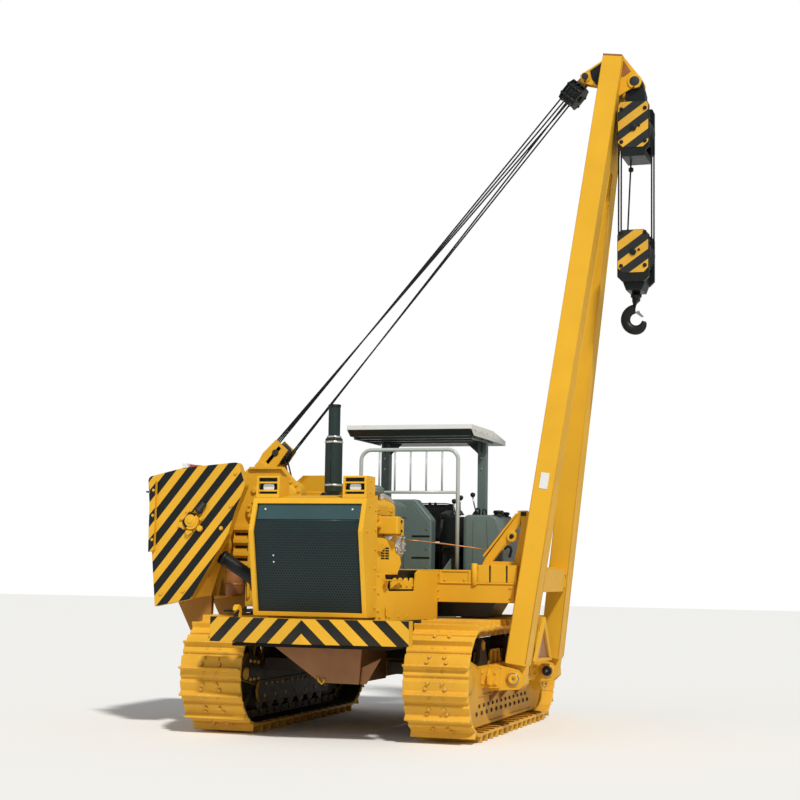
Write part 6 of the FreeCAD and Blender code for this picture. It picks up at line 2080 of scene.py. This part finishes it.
@dataclass
class Winch:
    """The winch's wound drums, bearing covers, ribs, motor hoses and lugs."""

    front: float = -0.35
    drum: float = 0.13
    flange: float = 0.23
    shaft_y: float = -0.83
    load_drum: float = 1.64
    line_drum: float = 2.15
    line_pin: tuple[float, float] = (-1.34, 2.66)
    motor: tuple[float, float] = (-0.31, -1.245)
    turn: float = 0.018

    def build(self) -> None:
        """Builds the whole winch."""
        self.wind_drums()
        self.bolt_covers()
        self.rib_plates()
        self.run_hoses()
        self.close_underside()

    def wind_drums(self) -> None:
        """Rope wound on both drums, and their flanges' rims and spokes."""
        wound = Shaper("wound_rope")
        rims = Shaper("drum_rims")
        for low, layers in ((self.load_drum, 2), (self.line_drum, 1)):
            start = HULL.at(-1.86 + 0.232, self.shaft_y, low)
            radius = self.drum + self.turn * layers - self.turn / 2
            profile = []
            for turn in range(56):
                for share, rise in ((0.0, -0.006), (0.25, 0.006), (0.5, 0.0095), (0.75, 0.006)):
                    profile.append(((turn + share) * self.turn, radius + rise))
            wound.lathe(start, FORE, profile, 36)
            for x in (-1.86 + 0.2, -0.39 - 0.23):
                rims.lathe((x, self.shaft_y, low), FORE, [(-0.004, self.flange - 0.03),
                    (-0.006, self.flange - 0.004), (0.0, self.flange), (0.03, self.flange),
                    (0.036, self.flange - 0.004), (0.034, self.flange - 0.03)], 40)
            for x, side in ((-0.59, 1.0), (-1.66, -1.0)):
                rims.bolt_ring((x, self.shaft_y, low), side * FORE, 0.19, 8, 0.03, 0.014)
        wound.done(ROPE)
        rims.done(ENAMEL)

    def bolt_covers(self) -> None:
        """Bolt rings and domes on the bearing cover, gearcase and drum ends."""
        covers = Shaper("winch_covers")
        covers.bolt_ring((-0.315, -1.02, 2.18), FORE, 0.092, 10, 0.026, 0.014)
        covers.lathe((-0.315, -1.02, 2.18), FORE, [(0.0, 0.06), (0.01, 0.06), (0.02, 0.045),
            (0.024, 0.01)], 28)
        covers.bolt_ring((-0.23, -0.64, 2.35), FORE, 0.108, 10, 0.026, 0.014)
        covers.lathe((-0.23, -0.64, 2.35), FORE, [(0.0, 0.08), (0.012, 0.078), (0.022, 0.05),
            (0.026, 0.01)], 28)
        covers.lathe((self.front, self.shaft_y, self.load_drum), FORE, [(0.0, 0.15), (0.02, 0.15),
            (0.026, 0.14), (0.03, 0.08), (0.04, 0.07), (0.042, 0.01)], 36)
        covers.bolt_ring((self.front + 0.02, self.shaft_y, self.load_drum), FORE, 0.125, 12, 0.026,
            0.014)
        for low in (self.load_drum, self.line_drum):
            covers.lathe((-1.9, self.shaft_y, low), -FORE, [(0.0, 0.15), (0.02, 0.15),
                (0.026, 0.14), (0.03, 0.06), (0.032, 0.01)], 36)
            covers.bolt_ring((-1.92, self.shaft_y, low), -FORE, 0.125, 12, 0.026, 0.014)
        covers.bolt((self.front, -1.063, 2.38), FORE, 0.06, 0.026)
        covers.done(ENAMEL, bevel=0.0015)

    def rib_plates(self) -> None:
        """The flanged edge strips, the stepped ribs and the stiffeners."""
        ribs = Shaper("winch_ribs")
        strips = [[(-0.52, 1.25), (-0.545, 1.25), (-0.545, 2.35), (-0.52, 2.36)], [(-0.52, 2.36),
            (-0.545, 2.35), (-0.77, 2.595), (-0.76, 2.62)], [(-0.76, 2.62), (-0.77, 2.595),
            (-1.11, 2.595), (-1.12, 2.62)]]
        for x in (self.front, -1.93):
            for outline in strips:
                ribs.front(outline, x, 0.03)
        for z in (1.64, 1.74, 1.87, 2.0):
            ribs.box((self.front, -1.272, z - 0.022), (self.front + 0.035, -1.1, z + 0.022))
        ribs.box((self.front, -1.11, 1.3), (self.front + 0.03, -1.085, 2.03))
        for x in (-0.75, -1.35, -1.6):
            ribs.front([(-1.14, 1.27), (-1.1, 1.27), (-0.6, 1.27), (-0.6, 1.3), (-1.1, 1.34),
                (-1.14, 1.34)], x, 0.02)
        for x, side in ((-1.174, 1.0), (-1.566, -1.0)):
            ribs.lathe((x, *self.line_pin), side * FORE,
                [(0.0, 0.07), (0.012, 0.07), (0.015, 0.062)], 28)
        ribs.bolt_row((-0.5, -1.2, 2.53), (-1.75, -1.2, 2.53), 8, UP, 0.028, 0.014)
        ribs.done(ENAMEL, bevel=0.003)
        slots = Shaper("winch_slots")
        for z in (1.68, 1.807, 1.937):
            slots.box((self.front + 0.0005, -1.262, z - 0.013),
                (self.front + 0.004, -1.12, z + 0.013))
        slots.done(DARK_ENAMEL)

    def close_underside(self) -> None:
        """The dark plates between the winch and the hull: painted shade over the space there."""
        shade_skirt = Shaper("winch_shade_skirt")
        shade_skirt.box((-1.88, -1.38, 1.15), (-0.37, -0.36, 1.17))
        shade_skirt.front([(-1.0, 0.92), (-0.36, 0.92), (-0.36, 1.16), (-1.2, 1.16)], -0.62, 0.02)
        for y in (-1.1, -0.85, -0.6):
            shade_skirt.side([(-0.6, 0.96), (-0.6, 1.15), (-0.42, 1.15)], y, 0.016)
        shade_skirt.done(DARK_GREY, bevel=0.003)

    def run_hoses(self) -> None:
        """The motor's clamp ring, its ports and the hoses to the deck."""
        # The motor's fittings are brown: painted shade under the winch.
        motor = Shaper("motor_fittings")
        motor.lathe((*self.motor, 1.312), UP, [(0.0, 0.03), (0.004, 0.07), (0.03, 0.0915),
            (0.3, 0.0915), (0.312, 0.08)], 32)
        for z in (1.42, 1.56):
            motor.lathe((*self.motor, z), UP, [(0.0, 0.09), (0.003, 0.094), (0.016, 0.094),
                (0.019, 0.09)], 32)
        motor.bolt_ring((*self.motor, 1.335), -UP, 0.055, 6, 0.022, 0.01)
        motor.done(SHADE_BROWN)
        hoses = Shaper("winch_hoses")
        route = [(-0.31, -1.15, 1.5), (-0.3, -1.08, 1.5), (-0.29, -0.98, 1.44),
            (-0.29, -0.86, 1.34), (-0.32, -0.72, 1.29), (-0.36, -0.6, 1.3), (-0.4, -0.5, 1.34),
            (-0.46, -0.36, 1.4)]
        for shift in (0.0, 0.045):
            hoses.tube([(x, y, z + shift) for x, y, z in route], 0.014, 12)
        hoses.done(RUBBER)


# ------------------------------------------------------------------ boom


@dataclass
class BoomDress:
    """The boom's blank plate, welds, head bosses, foot gusset and pins."""

    leg_slope: float = -0.105
    leg_half: float = 0.094
    seam_lift: float = 1.064
    foot_span: float = 0.75

    def build(self) -> None:
        """Builds the boom's fittings."""
        self.fit_head()
        self.fit_legs()
        self.fit_feet()

    def fit_head(self) -> None:
        """The bosses, pin heads, crown plate and dark webs of the boom's head."""
        bosses = Shaper("head_bosses", BOOM_FOOT)
        pins = Shaper("head_pin_ends", BOOM_FOOT)
        for out, up, inner, end, boss, pin in ((-0.287, 6.165, 0.055, 0.089, 0.055, 0.034),
                (0.242, 6.134, 0.115, 0.115, 0.075, 0.052)):
            for side in (-1.0, 1.0):
                face = side * FORE
                bosses.lathe((side * inner, out, up), face, [(0.0, boss), (0.01, boss),
                    (0.013, boss - 0.007)], 28)
                pins.lathe((side * (end - 0.003), out, up), face, [(0.0, pin), (0.016, pin),
                    (0.02, pin - 0.006), (0.02, 0.01)], 24)
                pins.bolt((side * (inner + 0.012), out, up - boss + 0.01), face, 0.018, 0.009)
        bosses.done(ENAMEL, Body.BOOM)
        pins.done(CAST, Body.BOOM)
        # The crown and its side plates are brown: painted shade on the boom's head.
        crown = Shaper("boom_crown", BOOM_FOOT)
        crown.front([(-0.098, 6.36), (-0.098, 6.378), (0.098, 6.378), (0.098, 6.36)], -0.224, 0.448)
        for side in (-1.0, 1.0):
            crown.front([(0.101, 6.345), (0.19, 6.235), (0.13, 6.18), (0.101, 6.17)], side * 0.115,
                side * 0.004)
        crown.done(SHADE_BROWN, Body.BOOM, bevel=0.001)
        webs = Shaper("head_webs", BOOM_FOOT)
        for side in (-1.0, 1.0):
            webs.front([(-0.101, 6.36), (-0.25, 6.235), (-0.218, 6.15), (-0.16, 6.085),
                (-0.101, 6.08)], side * 0.055, side * 0.004)
        webs.done(DARK_ENAMEL, Body.BOOM)

    def leg_front(self, up: float) -> float:
        """X of the front leg's front face above the boom's foot, in the foot's seat."""
        return self.foot_span + 0.125 + self.leg_slope * (up - 0.14)

    def fit_legs(self) -> None:
        """The blank plate, the legs' seams and the cross member's bolts."""
        plate = Shaper("boom_blank_plate", BOOM_FOOT)
        low, high = 1.86, 2.02
        plate.side([(self.leg_front(low), low), (self.leg_front(low) + 0.004, low),
            (self.leg_front(high) + 0.004, high), (self.leg_front(high), high)], -0.045, 0.085)
        plate.done(BARE_PLATE, Body.BOOM, bevel=0.001)
        seams = Shaper("boom_seams", BOOM_FOOT)
        for side in (-1.0, 1.0):
            for face in (-1.0, 1.0):
                out = face * self.leg_half * self.seam_lift
                for foot, head, height in ((0.875, 0.22, 6.3), (0.625, 0.06, 5.2)):
                    seams.rod((side * foot, out, 0.16), (side * head, out, height), 0.0045, 6)
                seams.bolt_row((side * 0.53, face * 0.08, 0.9), (side * 0.51, face * 0.08, 1.03), 2,
                    BOOM_FOOT.way(0.0, face, 0.0), 0.03, 0.014)
        seams.done(ENAMEL, Body.BOOM)

    def fit_feet(self) -> None:
        """The rear foot's boxed gusset, the lug bosses and the foot pins' heads."""
        gusset = Shaper("foot_gusset", BOOM_FOOT)
        corners = [(0.2, 0.14), (-0.6, 0.12), (0.0, 0.59)]
        inner = [(0.09, 0.17), (-0.46, 0.155), (-0.025, 0.49)]
        gusset.side(corners, -0.02, 0.04)
        for place in range(3):
            after = (place + 1) % 3
            gusset.side([corners[place], corners[after], inner[after], inner[place]], -0.045, 0.09)
        gusset.done(ENAMEL, Body.BOOM, bevel=0.003)
        # The recess is brown: painted shade inside the boxed gusset.
        recess = Shaper("gusset_recess", BOOM_FOOT)
        for start in (0.018, -0.022):
            recess.side(inner, start, 0.004)
        recess.done(SHADE_BROWN, Body.BOOM)
        bosses = Shaper("foot_bosses")
        for x in (-0.6, -2.1):
            for side in (-1.0, 1.0):
                bosses.lathe((x + side * 0.116, *BOOM_FOOT.base[1:]), side * FORE,
                    [(0.0, 0.075), (0.008, 0.075), (0.012, 0.066)], 32)
        bosses.done(ENAMEL)
        for word, x, finish in (("front", -0.6, ENAMEL), ("rear", -2.1, DARK_ENAMEL)):
            head = Shaper(f"foot_pin_{word}")
            head.lathe((x + 0.128, *BOOM_FOOT.base[1:]), FORE, [(0.0, 0.05), (0.01, 0.05),
                (0.014, 0.042), (0.014, 0.014), (0.004, 0.012)], 28)
            head.done(finish)


# ------------------------------------------------------------------ undercarriage


@dataclass
class Undercarriage:
    """Track frames' covers, bolts and braces, final drives and the boom's beam."""

    gauge: float = 2.248
    frame_half: float = 0.15
    span: float = 2.73
    axle: float = 0.564

    def build(self) -> None:
        """Builds both sides and the boom's beam."""
        for word, side in (("left", 1.0), ("right", -1.0)):
            self.dress_side(word, side)
        self.dress_beam()
        self.dress_rear()

    def dress_side(self, word: str, side: float) -> None:
        """One track frame's idler block, carriers, bolts, plates and final drive.

        Args:
            word: the side's name.
            side: 1 for the left, -1 for the right.
        """
        middle = side * self.gauge / 2
        out = side * LEFT
        face = middle + side * self.frame_half
        metal = Shaper(f"frame_fittings_{word}")
        for sign in (-1.0, 1.0):
            near = middle + sign * self.frame_half
            way = sign * LEFT
            metal.lathe((0.0, near, self.axle), way, [(0.0, 0.062), (0.016, 0.062), (0.02, 0.052),
                (0.022, 0.02)], 28)
            metal.bolt_ring((0.0, near, self.axle), way, 0.046, 4, 0.022, 0.026)
            for fore, aft in ((0.5, 0.5), (0.68, 0.66)):
                metal.bolt_row((-0.13, near, fore), (-0.33, near, aft), 3, way, 0.032, 0.016)
            metal.bolt_row((-0.5, near + sign * 0.025, 0.44), (-2.2, near + sign * 0.025, 0.44), 13,
                way, 0.028, 0.014)
            metal.bolt_row((-0.46, near + sign * 0.02, 0.32), (-2.2, near + sign * 0.02, 0.32), 7,
                way, 0.04, 0.012)
        for place in range(2):
            x = -0.76 - place * 1.1
            metal.lathe((x, middle + side * 0.115, 0.868), out, [(0.0, 0.05), (0.008, 0.05),
                (0.014, 0.04), (0.016, 0.01)], 24)
            metal.bolt_ring((x, middle + side * 0.115, 0.868), out, 0.036, 4, 0.018, 0.02)
            for run in (-0.13, 0.06):
                metal.side([(x + run, 0.65), (x + run + 0.02, 0.65), (x + run * 0.5 + 0.012, 0.8),
                    (x + run * 0.5 - 0.006, 0.8)], middle + side * 0.035, side * 0.05)
        metal.tube([(x, face - side * 0.04, z) for x, z in ((-0.98, 0.68), (-1.02, 0.7),
            (-1.5, 0.7), (-1.54, 0.68))], 0.012, 10)
        metal.front([(middle - 0.12, 0.65), (middle - 0.1, 0.69), (middle + 0.1, 0.69),
            (middle + 0.12, 0.65)], -1.5, 0.5)
        metal.done(TRACK_ENAMEL, bevel=0.002)
        self.cover_side(word, side)
        self.line_side(word, side)
        drive = Shaper(f"drive_fittings_{word}")
        low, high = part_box("final_drives")
        end = (high.y if side > 0 else low.y) - SHOP.origin.y
        drive.bolt_ring((-self.span, end - side * 0.04, self.axle), out, 0.205, 14, 0.034, 0.018)
        drive.bolt_ring((-self.span, end - side * 0.002, self.axle), out, 0.12, 8, 0.028, 0.001)
        drive.done(TRACK_ENAMEL)
        wheels = Shaper(f"idler_plates_{word}")
        for sign in (-1.0, 1.0):
            wheels.lathe((0.0, middle + sign * 0.035, self.axle), sign * LEFT, [(0.0, 0.3),
                (0.006, 0.3), (0.012, 0.29), (0.016, 0.12), (0.02, 0.11)], 40)
        wheels.done(CAST)

    def cover_side(self, word: str, side: float) -> None:
        """The long guard over the rollers, with its round ends, hub and rows of bolts.

        Args:
            word: the side's name.
            side: 1 for the left, -1 for the right.
        """
        cover = Shaper(f"side_guard_{word}")
        start = side * (self.gauge / 2 + self.frame_half + 0.027)
        outline = []
        for hub, reach, turns in ((0.0, 0.31, arc(45, -90, 9)),
                (-self.span, 0.34, arc(270, 135, 9))):
            for turn in turns:
                drop = 0.355 if math.sin(turn) > 0 else 0.455
                outline.append((hub + reach * math.cos(turn), self.axle + drop * math.sin(turn)))
        outline += [(-2.4, 0.62), (-0.3, 0.66)]
        cover.side(outline, start, side * 0.014)
        way = side * LEFT
        face = start + side * 0.014
        for fore, aft, low, high, depth in ((-0.2, -2.5, 0.122, 0.146, 0.03),
                (-0.32, -2.3, 0.4, 0.412, 0.026)):
            cover.side([(fore, low), (aft, low), (aft, high), (fore, high)], start, side * depth)
        rows = Shaper(f"side_guard_bolts_{word}")
        for fore, aft, height, width, head in ((-0.25, -2.35, 0.24, 0.036, 0.016),
                (-0.35, -2.25, 0.31, 0.032, 0.014)):
            rows.bolt_row((fore, face, height), (aft, face, height), 12, way, width, head)
        rows.done(CAST)
        cover.lathe((0.0, face, self.axle), way, [(0.0, 0.12), (0.01, 0.12), (0.02, 0.105),
            (0.024, 0.06), (0.026, 0.01)], 32)
        cover.done(FRAME_ENAMEL, bevel=0.004)

    def line_side(self, word: str, side: float) -> None:
        """The carrier roller's stand and a near-black plate behind it: caked soil and painted
        shade.

        Args:
            word: the side's name.
            side: 1 for the left, -1 for the right.
        """
        middle = side * self.gauge / 2
        # A near-black plate on the frame's inner side: painted shade with caked soil.
        mud_and_shade = Shaper(f"mud_and_shade_plate_{word}")
        mud_and_shade.side([(-0.45, 0.62), (-0.45, 0.86), (-0.8, 0.905), (-2.35, 0.905), (-2.35, 0.62)],
            middle - side * 0.17, side * 0.01)
        mud_and_shade.done(EARTH_AND_SHADE)
        stand = Shaper(f"carrier_plates_{word}")
        stand.side([(-1.05, 0.66), (-1.05, 0.78), (-1.1, 0.82), (-1.42, 0.82), (-1.48, 0.66)],
            middle + side * 0.1, side * 0.02)
        for x in (-1.16, -1.32):
            stand.rod((x, middle + side * 0.135, 0.67), (x, middle + side * 0.135, 0.8), 0.016, 12)
        stand.done(TRACK_ENAMEL, bevel=0.004)

    def dress_beam(self) -> None:
        """The boom beam's fittings and braces, the side step and the weight's mount."""
        beam = Shaper("beam_fittings")
        beam.box((-2.2, 1.276, 0.67), (-0.46, 1.5, 0.682))
        beam.front([(1.3, 0.505), (1.47, 0.505), (1.47, 0.645), (1.3, 0.645)], -0.451, 0.01)
        for y, z in ((1.32, 0.525), (1.45, 0.525), (1.45, 0.625), (1.32, 0.625)):
            beam.bolt((-0.441, y, z), FORE, 0.024, 0.012)
        beam.side([(-0.452, 0.5), (-0.4, 0.52), (-0.39, 0.6), (-0.452, 0.665)], 1.38, 0.02)
        for x in (-0.9, -1.25, -1.6, -1.95):
            beam.front([(1.494, 0.5), (1.53, 0.53), (1.53, 0.62), (1.494, 0.65)], x, 0.016)
        for z in (0.6, 0.53):
            beam.bolt_row((-0.75, 1.494, z), (-1.9, 1.494, z), 7, LEFT, 0.034, 0.016)
        beam.done(ENAMEL, bevel=0.002)
        # The braces are brown: painted shade under the beam.
        braces = Shaper("beam_braces")
        for x in (-0.75, -1.15, -1.8):
            braces.plate([(x, 1.46, 0.485), (x, 1.41, 0.485), (x, 1.28, 0.33), (x, 1.3, 0.3)],
                Vector((-0.05, 0.0, 0.0)))
        braces.done(SHADE_BROWN, bevel=0.003)
        stair = Shaper("side_step")
        stair.front([(0.36, 1.14), (1.21, 1.14), (1.3, 1.285), (0.36, 1.285)], -1.6, 0.59)
        stair.done(DARK_GREY, bevel=0.004)
        weight = Shaper("weight_mount_fittings")
        for x in (-0.3, -1.17):
            for side in (-1.0, 1.0):
                weight.lathe((x + side * 0.078, -1.56, 0.9), side * FORE, [(0.0, 0.058),
                    (0.006, 0.058), (0.01, 0.05), (0.01, 0.012)], 28)
        weight.bolt_row((-0.25, -1.394, 0.58), (-1.3, -1.394, 0.58), 8, -LEFT, 0.034, 0.016)
        weight.done(ENAMEL)

    def dress_rear(self) -> None:
        """The hull's rear cover, the hitch's ribs, the deck's treads and the ram's collars."""
        rear = Shaper("rear_cover")
        rear.front([(-0.26, 0.66), (0.26, 0.66), (0.26, 1.1), (-0.26, 1.1)], -2.962, 0.012)
        for z in (0.72, 0.88, 1.04):
            for y in (-0.23, 0.23):
                rear.bolt((-2.962, y, z), -FORE, 0.032, 0.014)
        rear.lathe((-3.39, 0.0, 0.7), UP, [(0.0, 0.055), (0.008, 0.055), (0.01, 0.048)], 28)
        for y in (-0.11, 0.11):
            rear.side([(-2.955, 0.7), (-3.2, 0.7), (-2.955, 0.96)], y - 0.008, 0.016)
        rear.done(ENAMEL, bevel=0.003)
        treads = Shaper("deck_treads")
        for count, first, gap in ((8, 0.68, 0.09), (7, -0.45, 0.15)):
            for place in range(count):
                y = first + place * gap
                treads.box((-2.85, y, 1.44), (-2.4, y + 0.02, 1.446))
        treads.done(DARK_GREY)
        seat = Seat((0.0, -0.64, 1.33), math.degrees(math.atan2(-0.69, 0.42)))
        barrel = Shaper("ram_barrel_fittings", seat)
        barrel.lathe((0.0, 0.0, 0.14), seat.way(0.0, 0.0, 1.0), [(0.0, 0.066), (0.004, 0.072),
            (0.03, 0.072), (0.034, 0.066)], 28)
        barrel.lathe((0.0, 0.0, 0.66), seat.way(0.0, 0.0, 1.0), [(0.0, 0.066), (0.004, 0.073),
            (0.05, 0.073), (0.056, 0.05), (0.058, 0.038)], 28)
        barrel.lathe((0.0, 0.06, 0.2), seat.way(0.0, 1.0, 0.0),
            [(0.0, 0.02), (0.02, 0.02), (0.024, 0.015)], 16)
        barrel.done(DARK_ENAMEL, Body.RAM_BARREL)


def dress_frame() -> None:
    """Gives every CAD node that stays in view its finish."""
    painted = {ENAMEL: ("boom_mount", "boom_frame", "boom_cross_member", "counterweight_slabs",
        "cross_bolster", "drawbar", "engine_hood", "final_drives", "lamp_housings", "main_frame",
        "radiator_guard", "side_panels", "winch_frame", "winch_drums", "line_block_cheeks",
        "air_intake", "track_left", "track_right"), FRAME_ENAMEL: ("track_frames", "roller_guards"),
        # Painted shade: SHADE_ENAMEL on the counterweight's arms and mount, the brown enamel on the
        # belly guard.
        SHADE_ENAMEL: ("counterweight_mount", "counterweight_arms"), MUFFLER: ("exhaust_stack",),
        SHADE_BROWN: ("belly_guard",), DARK_ENAMEL: ("ram_barrel", "seat_base", "control_levers",
        "head_block_cheeks", "upper_block", "hook_block", "hook"), GREY_ENAMEL: ("canopy_posts",
        "dash_cowl", "guard_rail", "platform_deck", "side_tank_left"),
        PALE_ENAMEL: ("canopy_roof",), CAST: ("carrier_rollers", "cross_shafts", "engine_block",
        "idlers", "sprockets", "track_rollers", "line_block_sheaves", "head_block_sheaves",
        "upper_block_sheaves", "hook_block_sheaves"),
        STEEL: ("ram_rod", "pivot_pins", "boom_head_pins"), ROPE: ("boom_ropes", "load_ropes"),
        VINYL: ("seat_cushion", "seat_back"),}
    for finish, nodes in painted.items():
        for node in nodes:
            dress(node, finish)
            LOG.info("%s: %s", node, finish.name)


def main() -> None:
    """Builds the studio and every sub-assembly in order."""
    logging.basicConfig(level=logging.INFO, format="%(name)s: %(message)s")
    Studio().build()
    dress_frame()
    CrawlerTrack("left", 1.0, 0.292).build()
    CrawlerTrack("right", -1.0, 0.122).build()
    for assembly in (Undercarriage(), FrontEnd(), EngineBay(), Platform(), Bolster(), Winch(),
            Counterweight(), BoomDress(), Rigging()):
        assembly.build()


if __name__ == "__main__":
    main()
